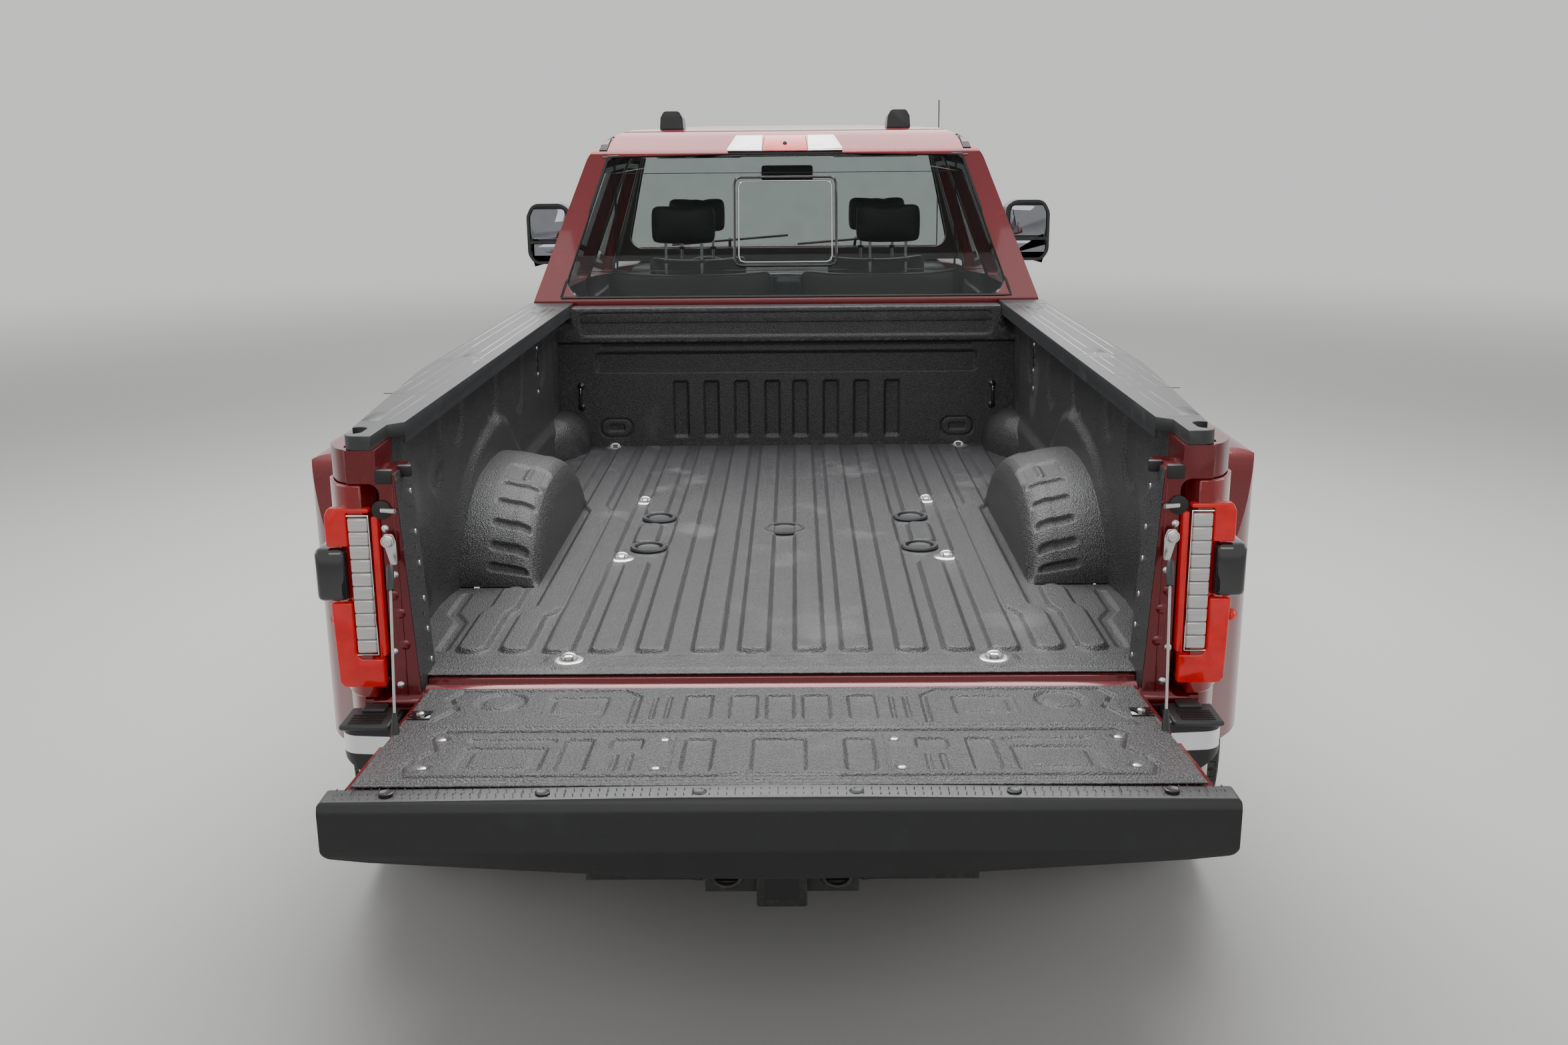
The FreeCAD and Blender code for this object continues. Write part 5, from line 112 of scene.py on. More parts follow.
# Finishes
class Texture(Enum):
    """The surface patterns that a finish can have."""

    GRAIN = "grain"
    PEBBLE = "pebble"
    FLAKE = "flake"
    WEAVE = "weave"
    STREAK = "streak"


def wired(tree: Tree, kind: str, inputs: dict[str | int, object], **options: object) -> Node:
    """Add a shader node, set its options, and link or fill its inputs.

    Args:
        tree: Tree that gets the node.
        kind: Type of the node, without the beginning that all types share.
        inputs: Socket or value of each input, by name or number.
        options: Settings of the node.

    Returns:
        The node.
    """
    node = tree.nodes.new(f"ShaderNode{kind}")
    for option, value in options.items():
        setattr(node, option, value)
    for label, value in inputs.items():
        if isinstance(value, Socket):
            tree.links.new(value, node.inputs[label])
        else:
            node.inputs[label].default_value = value
    return node


class NodeKit:
    """Shared shader node groups, each built once."""

    def __init__(self) -> None:
        """Start with no groups."""
        self.groups: dict[str, Tree] = {}

    def start(self, name: str, entry: str, exits: Sequence[str]) -> tuple[Tree, Node, Node]:
        """Make an empty group; gives its tree with the input and output nodes."""
        tree = bpy.data.node_groups.new(name, "ShaderNodeTree")
        for label, way in ((entry, "INPUT"), *((exit_name, "OUTPUT") for exit_name in exits)):
            tree.interface.new_socket(name=label, in_out=way, socket_type="NodeSocketFloat")
        self.groups[name] = tree
        return tree, tree.nodes.new("NodeGroupInput"), tree.nodes.new("NodeGroupOutput")

    @staticmethod
    def math(tree: Tree, kind: str, first: object, second: object) -> Socket:
        """Calculate with two numbers or sockets."""
        return wired(tree, "Math", {0: first, 1: second}, operation=kind).outputs[0]

    @staticmethod
    def ramp(tree: Tree, source: Socket, low: float, high: float) -> Socket:
        """Stretch a number between two limits to 0 and 1."""
        return wired(tree, "MapRange", {"From Min": low, "From Max": high, "Value": source}).outputs[0]

    @staticmethod
    def noise(tree: Tree, scale: object, detail: float) -> Socket:
        """Noise on object coordinates, with its features per metre and its octaves."""
        place = wired(tree, "TexCoord", {}).outputs["Object"]
        return wired(tree, "TexNoise", {"Detail": detail, "Vector": place, "Scale": scale}).outputs["Fac"]

    @staticmethod
    def cells(tree: Tree, scale: Socket, feature: str) -> Node:
        """Cell pattern on object coordinates, with its cells per metre."""
        place = wired(tree, "TexCoord", {}).outputs["Object"]
        return wired(tree, "TexVoronoi", {"Vector": place, "Scale": scale}, feature=feature)

    def texture(self, kind: Texture) -> Tree:
        """Give the group of a surface pattern, with a Height and a Tone."""
        if kind.value in self.groups:
            return self.groups[kind.value]
        tree, start, end = self.start(kind.value, "Scale", ("Height", "Tone"))
        scale = start.outputs["Scale"]
        times = partial(self.math, tree, "MULTIPLY")
        broad = self.noise(tree, times(scale, 0.012), 3.0)
        if kind is Texture.PEBBLE:
            cell = self.cells(tree, scale, "SMOOTH_F1").outputs["Distance"]
            height = self.math(tree, "SUBTRACT", 1.0, cell)
            fine = self.noise(tree, times(scale, 1.7), 2.0)
            height = self.math(tree, "ADD", height, times(fine, 0.7))
            tone = self.ramp(tree, height, 0.85, 1.5)
        elif kind is Texture.FLAKE:
            spark = self.cells(tree, scale, "F1").outputs["Color"]
            height = self.noise(tree, times(scale, 0.1), 1.0)
            tone = self.math(tree, "POWER", times(spark, 1.0), 2.0)
        elif kind is Texture.WEAVE:
            inputs = {"Vector": wired(tree, "TexCoord", {}).outputs["Object"], "Scale": scale}
            waves = [wired(tree, "TexWave", inputs, bands_direction=way).outputs["Fac"] for way in "XZ"]
            height = self.math(tree, "MAXIMUM", *waves)
            tone = times(height, broad)
        elif kind is Texture.STREAK:
            place = wired(tree, "TexCoord", {}).outputs["Object"]
            stretch = wired(tree, "Mapping", {"Scale": (0.04, 1.0, 1.0), "Vector": place})
            height = wired(tree, "TexNoise",
                           {"Vector": stretch.outputs["Vector"], "Scale": scale}).outputs["Fac"]
            tone = height
        else:
            height = self.noise(tree, scale, 5.0)
            tone = times(self.ramp(tree, height, 0.3, 0.75), broad)
        tree.links.new(height, end.inputs["Height"])
        tree.links.new(self.math(tree, "ADD", tone, self.ramp(tree, broad, 0.62, 0.9)), end.inputs["Tone"])
        return tree

    def mask(self, name: str) -> Tree:
        """Give the group that masks rubbed edges ("wear") or dust on faces that look up ("dust")."""
        if name in self.groups:
            return self.groups[name]
        tree, start, end = self.start(name, "Amount", ("Mask",))
        shape = wired(tree, "NewGeometry", {})
        if name == "wear":
            share = self.ramp(tree, shape.outputs["Pointiness"], 0.53, 0.62)
            spots = self.ramp(tree, self.noise(tree, 60.0, 6.0), 0.48, 0.62)
        else:
            split = wired(tree, "SeparateXYZ", {0: shape.outputs["Normal"]})
            share = self.ramp(tree, split.outputs["Z"], 0.1, 1.0)
            spots = self.ramp(tree, self.noise(tree, 9.0, 7.0), 0.35, 0.75)
        times = partial(self.math, tree, "MULTIPLY")
        tree.links.new(times(times(share, spots), start.outputs["Amount"]), end.inputs["Mask"])
        return tree


@dataclass(frozen=True)
class Finish:
    """One surface finish of the truck."""

    name: str
    slot: str
    colour: Colour
    accent: Colour
    roughness: float = 0.5
    metallic: float = 0.0
    coat: float = 0.0
    texture: Texture = Texture.GRAIN
    scale: float = 500.0
    depth: float = 0.0002
    wear: float = 0.0
    dust: float = 0.0
    spread: float = 0.08
    clear: float = 0.0
    glow: float = 0.0
    bend: float = 1.5

    def build(self, kit: NodeKit) -> bpy.types.Material:
        """Make the material.

        Args:
            kit: Shared node groups.

        Returns:
            The material.
        """
        material = bpy.data.materials.new(self.name)
        material.use_nodes = True
        tree = material.node_tree
        shader = tree.nodes["Principled BSDF"]
        pattern = wired(tree, "Group", {"Scale": self.scale}, node_tree=kit.texture(self.texture))
        tone = pattern.outputs["Tone"]
        colour = self.mixed(tree, tone, self.colour, self.accent)
        light = tuple(min(1.0, value * 2.5 + 0.05) for value in self.accent)
        for name, amount, cover in (("wear", self.wear, light), ("dust", self.dust, DUST_COLOUR)):
            if amount:
                mask = wired(tree, "Group", {"Amount": amount}, node_tree=kit.mask(name))
                colour = self.mixed(tree, mask.outputs["Mask"], colour, cover)
        tree.links.new(colour, shader.inputs["Base Color"])
        low, high = max(0.0, self.roughness - self.spread), min(1.0, self.roughness + self.spread)
        rough = wired(tree, "MapRange", {"To Min": low, "To Max": high, "Value": tone})
        tree.links.new(rough.outputs[0], shader.inputs["Roughness"])
        if self.depth:
            height = pattern.outputs["Height"]
            bump = wired(tree, "Bump", {"Distance": self.depth, "Strength": 1.0, "Height": height})
            tree.links.new(bump.outputs["Normal"], shader.inputs["Normal"])
        values = {"Metallic": self.metallic, "Coat Weight": self.coat, "Coat Roughness": 0.04,
                  "IOR": self.bend,
                  "Transmission Weight": self.clear}
        for label, value in values.items():
            shader.inputs[label].default_value = value
        if self.glow:
            tree.links.new(colour, shader.inputs["Emission Color"])
            shader.inputs["Emission Strength"].default_value = self.glow
        if self.clear:
            self.let_light_in(tree, shader)
        return material

    def let_light_in(self, tree: Tree, shader: Node) -> None:
        """Let lamps and soft light pass the glass straight."""
        path = wired(tree, "LightPath", {})
        light = (*(min(1.0, value * 1.5) for value in self.accent), 1.0)
        clear = wired(tree, "BsdfTransparent", {"Color": light})
        mix = wired(tree, "MixShader", {1: shader.outputs[0], 2: clear.outputs[0]})
        way = NodeKit.math(tree, "MAXIMUM", path.outputs["Is Shadow Ray"], path.outputs["Is Diffuse Ray"])
        tree.links.new(way, mix.inputs["Fac"])
        output = next(node for node in tree.nodes if node.type == "OUTPUT_MATERIAL")
        tree.links.new(mix.outputs[0], output.inputs["Surface"])

    @staticmethod
    def mixed(tree: Tree, factor: Socket, first: object, second: object) -> Socket:
        """Mix two colours or sockets by the share of the second one."""
        pair = [value if isinstance(value, Socket) else (*value, 1.0) for value in (first, second)]
        return wired(tree, "Mix", {"Factor": factor, 6: pair[0], 7: pair[1]}, data_type="RGBA").outputs[2]


FINISHES = (
    Finish("red_paint", "body_red", (0.125, 0.0009, 0.004), (0.23, 0.003, 0.01), 0.3, 0.35, 0.6,
           Texture.FLAKE, 1400.0,
           0.00002, spread=0.04),
    Finish("bed_spray", "black_plastic", (0.03, 0.03, 0.032), (0.15, 0.15, 0.155), 0.42,
           texture=Texture.PEBBLE,
           scale=300.0, depth=0.0016, wear=0.2),
    Finish("cap_plastic", "black_plastic", (0.03, 0.031, 0.033), (0.06, 0.062, 0.066), 0.45, scale=1300.0,
           depth=0.0002, dust=0.03, wear=0.1),
    Finish("trim_plastic", "black_plastic", (0.007, 0.008, 0.008), (0.018, 0.02, 0.02), 0.42, scale=1100.0,
           depth=0.0002, wear=0.1),
    Finish("gloss_black", "gloss_plastic", (0.006, 0.006, 0.007), (0.014, 0.014, 0.015), 0.1, coat=1.0,
           scale=60.0, depth=0.0),
    Finish("chassis_paint", "chassis_black", (0.012, 0.012, 0.012), (0.04, 0.038, 0.035), 0.5, scale=300.0,
           depth=0.0004, dust=0.35, wear=0.5),
    Finish("cast_metal", "engine_grey", (0.12, 0.12, 0.12), (0.28, 0.27, 0.26), 0.5, 0.8, scale=420.0,
           depth=0.0006, dust=0.25, wear=0.6),
    Finish("bare_steel", "steel", (0.3, 0.29, 0.28), (0.5, 0.49, 0.47), 0.35, 1.0, texture=Texture.STREAK,
           scale=900.0, depth=0.00006, wear=0.3),
    Finish("zinc", "steel", (0.62, 0.62, 0.61), (0.82, 0.82, 0.8), 0.32, 0.9, scale=700.0, depth=0.00008),
    Finish("chrome_plate", "chrome", (0.78, 0.79, 0.8), (0.92, 0.92, 0.93), 0.06, 1.0, scale=40.0, depth=0.0,
           spread=0.03),
    Finish("red_lens", "lamp_red", (0.5, 0.001, 0.001), (0.85, 0.006, 0.003), 0.18, coat=0.3, scale=26.0,
           depth=0.0, glow=0.32),
    Finish("deep_red_lens", "lamp_red", (0.2, 0.001, 0.001), (0.36, 0.003, 0.002), 0.1, coat=0.7, scale=40.0,
           depth=0.0, glow=0.12),
    Finish("amber_lens", "lamp_red", (0.7, 0.18, 0.01), (0.95, 0.3, 0.03), 0.12, coat=1.0, scale=30.0,
           depth=0.0, glow=0.15),
    Finish("clear_lens", "lamp_clear", (0.93, 0.94, 0.95), (1.0, 1.0, 1.0), 0.03, scale=30.0, depth=0.0,
           clear=1.0, bend=1.35, spread=0.02),
    Finish("frosted_lens", "lamp_clear", (0.42, 0.41, 0.4), (0.85, 0.84, 0.82), 0.2, 0.35, 1.0,
           texture=Texture.STREAK, scale=260.0, depth=0.0006),
    Finish("reflector", "chrome", (0.7, 0.71, 0.73), (0.95, 0.95, 0.96), 0.12, 1.0, scale=90.0,
           depth=0.0004),
    Finish("dark_glass", "glass", (0.36, 0.39, 0.39), (0.42, 0.45, 0.45), 0.0, scale=12.0, depth=0.0,
           clear=1.0, bend=1.2, spread=0.0),
    Finish("pale_glass", "glass", (0.74, 0.8, 0.78), (0.82, 0.88, 0.86), 0.0, scale=12.0, depth=0.0,
           clear=1.0, bend=1.2, spread=0.0),
    # The mirror glass is a dark grey metal: its darkness is painted shade of the dark surroundings that it
    # reflects.
    Finish("mirror_face", "glass", (0.22, 0.23, 0.25), (0.3, 0.31, 0.33), 0.03, 1.0, scale=12.0, depth=0.0,
           spread=0.01),
    Finish("tyre_rubber", "tyre", (0.012, 0.012, 0.012), (0.035, 0.034, 0.032), 0.72, scale=500.0,
           depth=0.0005,
           dust=0.3, wear=0.3),
    Finish("soft_rubber", "rubber", (0.008, 0.008, 0.008), (0.02, 0.02, 0.02), 0.6, scale=800.0,
           depth=0.0002),
    Finish("wheel_metal", "chrome", (0.55, 0.56, 0.57), (0.75, 0.76, 0.77), 0.22, 1.0, 0.4, scale=200.0,
           depth=0.00005, dust=0.1),
    Finish("seat_leather", "leather", (0.014, 0.014, 0.015), (0.035, 0.034, 0.034), 0.45,
           texture=Texture.PEBBLE,
           scale=520.0, depth=0.00012, wear=0.2),
    Finish("headliner", "leather", (0.22, 0.21, 0.2), (0.32, 0.31, 0.3), 0.9, texture=Texture.WEAVE,
           scale=380.0,
           depth=0.0004),
    Finish("carpet", "leather", (0.012, 0.012, 0.013), (0.04, 0.04, 0.042), 0.95, texture=Texture.PEBBLE,
           scale=700.0, depth=0.002),
    Finish("screen_glass", "gloss_plastic", (0.004, 0.006, 0.01), (0.02, 0.03, 0.05), 0.08, coat=1.0,
           scale=9.0,
           depth=0.0, glow=0.3),
)


# Shape helpers
class Form:
    """Shape pressed into a sheet."""

    def height(self, u: np.ndarray, v: np.ndarray) -> np.ndarray:
        """Give the height that the form adds at each place.

        Args:
            u: Places across the sheet.
            v: Places along the sheet.

        Returns:
            The heights.
        """
        raise NotImplementedError

    def edges(self) -> tuple[list[float], list[float]]:
        """Give the places across and along at which the sheet needs close lines."""
        return [], []


@dataclass(frozen=True)
class Pressing(Form):
    """Rounded rectangle pressed into a sheet, raised where its depth is above zero."""

    left: float
    right: float
    low: float
    high: float
    depth: float
    radius: float = 0.012
    slope: float = 0.01

    def height(self, u: np.ndarray, v: np.ndarray) -> np.ndarray:
        """Give the height that the pressing adds at each place."""
        radius = min(self.radius, (self.right - self.left) / 2, (self.high - self.low) / 2)
        across = np.abs(u - (self.left + self.right) / 2) - (self.right - self.left) / 2 + radius
        along = np.abs(v - (self.low + self.high) / 2) - (self.high - self.low) / 2 + radius
        outside = np.hypot(np.maximum(across, 0), np.maximum(along, 0))
        distance = outside + np.minimum(np.maximum(across, along), 0) - radius
        return self.depth * eased(0.5 - distance / self.slope)

    def edges(self) -> tuple[list[float], list[float]]:
        """Give the pressing's own edges."""
        return [self.left, self.right], [self.low, self.high]


@dataclass(frozen=True)
class Channel(Form):
    """Band of even width along a line of points, pressed into a sheet."""

    points: Outline
    half: float
    depth: float
    slope: float = 0.01

    def height(self, u: np.ndarray, v: np.ndarray) -> np.ndarray:
        """Give the height that the band adds at each place."""
        nearest = np.full(u.shape, 1e9)
        for (u0, v0), (u1, v1) in zip(self.points, self.points[1:]):
            du, dv = u1 - u0, v1 - v0
            share = np.clip(((u - u0) * du + (v - v0) * dv) / (du * du + dv * dv), 0, 1)
            nearest = np.minimum(nearest, np.hypot(u - u0 - share * du, v - v0 - share * dv))
        return self.depth * eased(0.5 - (nearest - self.half) / self.slope)

    def edges(self) -> tuple[list[float], list[float]]:
        """Give the middle and both sides of the band at its points."""
        ways = (-self.half, 0, self.half)
        across = [u + way for u, _ in self.points for way in ways]
        return across, [v + way for _, v in self.points for way in ways]


@dataclass(frozen=True)
class Shelf(Form):
    """Lower part of a sheet that stands proud, with a sloping upper side between two lines."""

    upper: Outline
    lower: Outline
    depth: float

    def height(self, u: np.ndarray, v: np.ndarray) -> np.ndarray:
        """Give the height that the shelf adds at each place."""
        high = np.interp(u, *zip(*self.upper))
        low = np.interp(u, *zip(*self.lower))
        return self.depth * eased((high - v) / np.maximum(high - low, 0.004))


def twins(near: float, far: float, *rest: float) -> list[Pressing]:
    """Two like pressings, as far to the left of the middle as to the right."""
    return [Pressing(-far, -near, *rest), Pressing(near, far, *rest)]


def eased(share: np.ndarray) -> np.ndarray:
    """Turn a straight rise from 0 to 1 into a soft one."""
    share = np.clip(share, 0, 1)
    return share * share * (3 - 2 * share)


def stations(low: float, high: float, step: float, edges: Iterable[float], fine: float) -> list[float]:
    """Places of a sheet's lines, close together near the edges of its pressings.

    Args:
        low: First place.
        high: Last place.
        step: Widest spacing.
        edges: Places that need close lines.
        fine: Spacing there.

    Returns:
        The places in order.
    """
    places = list(np.linspace(low, high, max(2, int((high - low) / step) + 1)))
    for edge in edges:
        places += [edge + way * fine for way in (-1.5, -0.75, 0, 0.75, 1.5)]
    kept = [low]
    for place in sorted(places):
        if kept[-1] + fine * 0.45 < place < high - fine * 0.45:
            kept.append(place)
    return kept + [high]


def sheet(
    across: Sequence[float], along: Sequence[float], forms: Sequence[Form], put: Put
) -> Mesh:
    """Pressed sheet as one grid whose lines are moved to their places.

    Args:
        across: Places of the lines across.
        along: Places of the lines along.
        forms: Pressings and channels, added up.
        put: Turns (u, v, height) into a point.

    Returns:
        The sheet.
    """
    bm = bmesh.new()
    columns, rows = len(across) - 1, len(along) - 1
    bmesh.ops.create_grid(bm, x_segments=columns, y_segments=rows, size=1.0)
    points = np.array([vertex.co for vertex in bm.verts])
    column = np.rint((points[:, 0] + 1) / 2 * columns).astype(int)
    row = np.rint((points[:, 1] + 1) / 2 * rows).astype(int)
    u, v = np.array(across)[column], np.array(along)[row]
    height = sum((form.height(u, v) for form in forms), np.zeros(len(u)))
    for vertex, place, step, rise in zip(bm.verts, u, v, height):
        vertex.co = put(place, step, rise)
    return bm


def pressed_sheet(
    width: tuple[float, float], length: tuple[float, float], forms: Sequence[Form],
    put: Put, step: float = 0.06, fine: float = 0.005,
) -> Mesh:
    """Pressed sheet with lines where its forms need them.

    Args:
        width: First and last place across.
        length: First and last place along.
        forms: Pressings and channels.
        put: Turns (u, v, height) into a point.
        step: Widest spacing of the lines.
        fine: Spacing near edges.

    Returns:
        The sheet.
    """
    marks = [form.edges() for form in forms]
    across = stations(*width, step, [place for mark in marks for place in mark[0]], fine)
    along = stations(*length, step, [place for mark in marks for place in mark[1]], fine)
    return sheet(across, along, forms, put)


def thinned(bm: Mesh, turn: float = 0.3) -> Mesh:
    """Merge the faces of a pressed sheet that turn by less than an angle in degrees."""
    bmesh.ops.dissolve_limit(bm, angle_limit=math.radians(turn), verts=bm.verts, edges=bm.edges)
    return bm


def rounded_box(low: Point, high: Point, radius: float, steps: int = 2) -> Mesh:
    """Box with rounded edges.

    Args:
        low: Lowest corner.
        high: Highest corner.
        radius: Radius of the edges.
        steps: Faces round each edge.

    Returns:
        The box.
    """
    bm = bmesh.new()
    bmesh.ops.create_cube(bm, size=1.0)
    size = Vector(high) - Vector(low)
    bmesh.ops.scale(bm, vec=size, verts=bm.verts)
    bmesh.ops.translate(bm, vec=Vector(low) + size / 2, verts=bm.verts)
    bmesh.ops.bevel(bm, geom=bm.edges[:], offset=min(radius, min(size) * 0.49), segments=steps, profile=0.5,
                    affect="EDGES", material=-1)
    return bm


def outline_plate(
    points: Sequence[Spot], put: Put, low: float, high: float,
    corner: float = 0.0, edge: float = 0.0,
) -> Mesh:
    """Plate of a flat outline, with rounded corners and softened edges.

    Args:
        points: Corners of the outline.
        put: Turns (u, v, level) into a point.
        low: Level of the first side.
        high: Level of the other side.
        corner: Radius of the outline's corners.
        edge: Radius of the plate's edges.

    Returns:
        The plate.
    """
    bm = bmesh.new()
    corners = [bm.verts.new(put(u, v, low)) for u, v in points]
    bm.faces.new(corners)
    if corner:
        bmesh.ops.bevel(bm, geom=bm.verts[:], offset=corner, segments=4, profile=0.5, affect="VERTICES",
                        material=-1)
    grown = bmesh.ops.extrude_face_region(bm, geom=bm.faces[:])
    moved = [item for item in grown["geom"] if isinstance(item, bmesh.types.BMVert)]
    start, end = Vector(put(0.0, 0.0, low)), Vector(put(0.0, 0.0, high))
    bmesh.ops.translate(bm, vec=end - start, verts=moved)
    bmesh.ops.recalc_face_normals(bm, faces=bm.faces)
    if edge:
        rim = [item for item in bm.edges if len(item.link_faces) == 2 and item.calc_face_angle() > 1.0]
        bmesh.ops.bevel(bm, geom=rim, offset=edge, segments=2, profile=0.5, affect="EDGES", material=-1)
    return bm


def lathe(profile: Sequence[Spot], centre: Point, axis: Point, steps: int = 32) -> Mesh:
    """Turned shape.

    Args:
        profile: Places along the axis with their radius.
        centre: Point of the axis at place zero.
        axis: Direction of the axis.
        steps: Faces round it.

    Returns:
        The turned shape.
    """
    bm = bmesh.new()
    chain = [bm.verts.new((radius, 0.0, along)) for along, radius in profile]
    for first, second in zip(chain, chain[1:]):
        bm.edges.new((first, second))
    bmesh.ops.spin(bm, geom=bm.verts[:] + bm.edges[:], cent=(0, 0, 0), axis=UP, dvec=(0, 0, 0),
                   angle=2 * math.pi, steps=steps, use_merge=True, use_duplicate=False)
    bmesh.ops.remove_doubles(bm, verts=bm.verts, dist=1e-6)
    bmesh.ops.recalc_face_normals(bm, faces=bm.faces)
    turn = Vector(UP).rotation_difference(Vector(axis)).to_matrix().to_4x4()
    bmesh.ops.transform(bm, matrix=Matrix.Translation(centre) @ turn, verts=bm.verts)
    return bm


def tube(points: Sequence[Point], radius: float, smooth: bool = True, sides: int = 4) -> Mesh:
    """Round bar along a line.

    Args:
        points: Points of the line.
        radius: Radius of the bar.
        smooth: Whether the line bends softly through its points.
        sides: Quarter resolution of the section.

    Returns:
        The bar.
    """
    curve = bpy.data.curves.new("line", "CURVE")
    curve.dimensions = "3D"
    curve.bevel_depth = radius
    curve.bevel_resolution = sides
    curve.use_fill_caps = True
    spline = curve.splines.new("NURBS" if smooth else "POLY")
    spline.points.add(len(points) - 1)
    for knot, point in zip(spline.points, points):
        knot.co = (*point, 1.0)
    if smooth:
        spline.order_u = 3
        spline.use_endpoint_u = True
        spline.resolution_u = 8
    holder = bpy.data.objects.new("line", curve)
    bpy.context.scene.collection.objects.link(holder)
    bpy.context.view_layer.update()
    mesh = bpy.data.meshes.new_from_object(holder.evaluated_get(bpy.context.evaluated_depsgraph_get()))
    bm = bmesh.new()
    bm.from_mesh(mesh)
    bpy.data.objects.remove(holder)
    bpy.data.curves.remove(curve)
    bpy.data.meshes.remove(mesh)
    bmesh.ops.remove_doubles(bm, verts=bm.verts, dist=1e-6)
    bmesh.ops.recalc_face_normals(bm, faces=bm.faces)
    return bm


def joined(parts: Iterable[Mesh]) -> Mesh:
    """Put several meshes in one."""
    whole = bmesh.new()
    for part in parts:
        mesh = bpy.data.meshes.new("part")
        part.to_mesh(mesh)
        part.free()
        whole.from_mesh(mesh)
        bpy.data.meshes.remove(mesh)
    return whole


def mirrored(bm: Mesh) -> Mesh:
    """Copy of a mesh on the other side of the truck."""
    twin = bm.copy()
    bmesh.ops.scale(twin, vec=(-1, 1, 1), verts=twin.verts)
    bmesh.ops.reverse_faces(twin, faces=twin.faces)
    return twin


def paired(shape: Shape) -> Mesh:
    """Right-hand meshes with their left-hand twins."""
    bm = joined(shape) if isinstance(shape, list) else shape
    return joined([mirrored(bm), bm])


def bed_point(x: float, y: float, z: float) -> Point:
    """Point given from the middle of the bed floor's rear edge."""
    return (x, BED_REAR + y, FLOOR + z)


def upright(u: float, v: float, level: float) -> Point:
    """Point on a wall that faces along the truck."""
    return (u, level, v)


def sideways(u: float, v: float, level: float) -> Point:
    """Point on a wall that faces across the truck."""
    return (level, u, v)


def on_post(u: float, v: float, level: float) -> Point:
    """Point on the rear posts, given from the height of the bed floor."""
    return (u, level, FLOOR + v)


def painted(bm: Mesh, first: Callable[[Face], bool]) -> Mesh:
    """Give the faces that pass a test the first finish and all others the second."""
    for face in bm.faces:
        face.material_index = int(not first(face))
    return bm


def handed(bm: Mesh, way: int) -> Mesh:
    """A right-hand mesh, or its twin where the left side is meant."""
    return bm if way > 0 else mirrored(bm)


def islands(bm: Mesh) -> list[list[Face]]:
    """Faces of a mesh, sorted into its separate parts."""
    left, groups = set(bm.faces), []
    while left:
        first = left.pop()
        group, edge = [first], [first]
        while edge:
            face = edge.pop()
            for side in face.edges:
                for near in side.link_faces:
                    if near in left:
                        left.remove(near)
                        group.append(near)
                        edge.append(near)
        groups.append(group)
    return groups


def kept(bm: Mesh, test: Callable[[Face], bool]) -> Mesh:
    """Leave only the faces that pass a test."""
    bmesh.ops.delete(bm, geom=[face for face in bm.faces if not test(face)], context="FACES")
    return bm


def split_at(bm: Mesh, point: Point, normal: Point, clear: bool = False) -> None:
    """Cut a mesh along a plane, and clear what lies beyond it where that is asked."""
    bmesh.ops.bisect_plane(bm, geom=bm.verts[:] + bm.edges[:] + bm.faces[:], plane_co=point, plane_no=normal,
                           clear_outer=clear)


class Skin:
    """Finds points on the surface of CAD nodes, so that trim lies on it."""

    def __init__(self, frame: dict, *nodes: str) -> None:
        """Read the meshes of the named nodes."""
        bm = bmesh.new()
        for node in nodes:
            bm.from_mesh(frame["nodes"][node].data)
        self.tree = BVHTree.FromBMesh(bm)
        bm.free()

    def hit(self, start: Point, way: Point, rise: float = 0.0) -> Vector | None:
        """Find the surface from a point along a direction, or a point that far above it."""
        place, _, _, _ = self.tree.ray_cast(Vector(start), Vector(way))
        return None if place is None else place - Vector(way).normalized() * rise

    def bead(self, points: Sequence[Point], way: Point, radius: float, closed: bool = True,
             step: float = 0.03,
             rise: float = 0.0) -> Mesh:
        """Round bead along a line laid on the surface.

        Args:
            points: Corners of the line, off the surface.
            way: Direction towards the surface.
            radius: Radius of the bead.
            closed: Whether the line returns to its start.
            step: Spacing of the points found.
            rise: Distance left above the surface.

        Returns:
            The bead.
        """
        corners = [Vector(point) for point in points] + ([Vector(points[0])] if closed else [])
        path = []
        for first, second in zip(corners, corners[1:]):
            count = max(1, int((second - first).length / step))
            path += [self.hit(first.lerp(second, index / count), way, rise) for index in range(count)]
        path.append(self.hit(corners[-1], way, rise))
        return tube([tuple(point) for point in path if point], radius, False, 1)


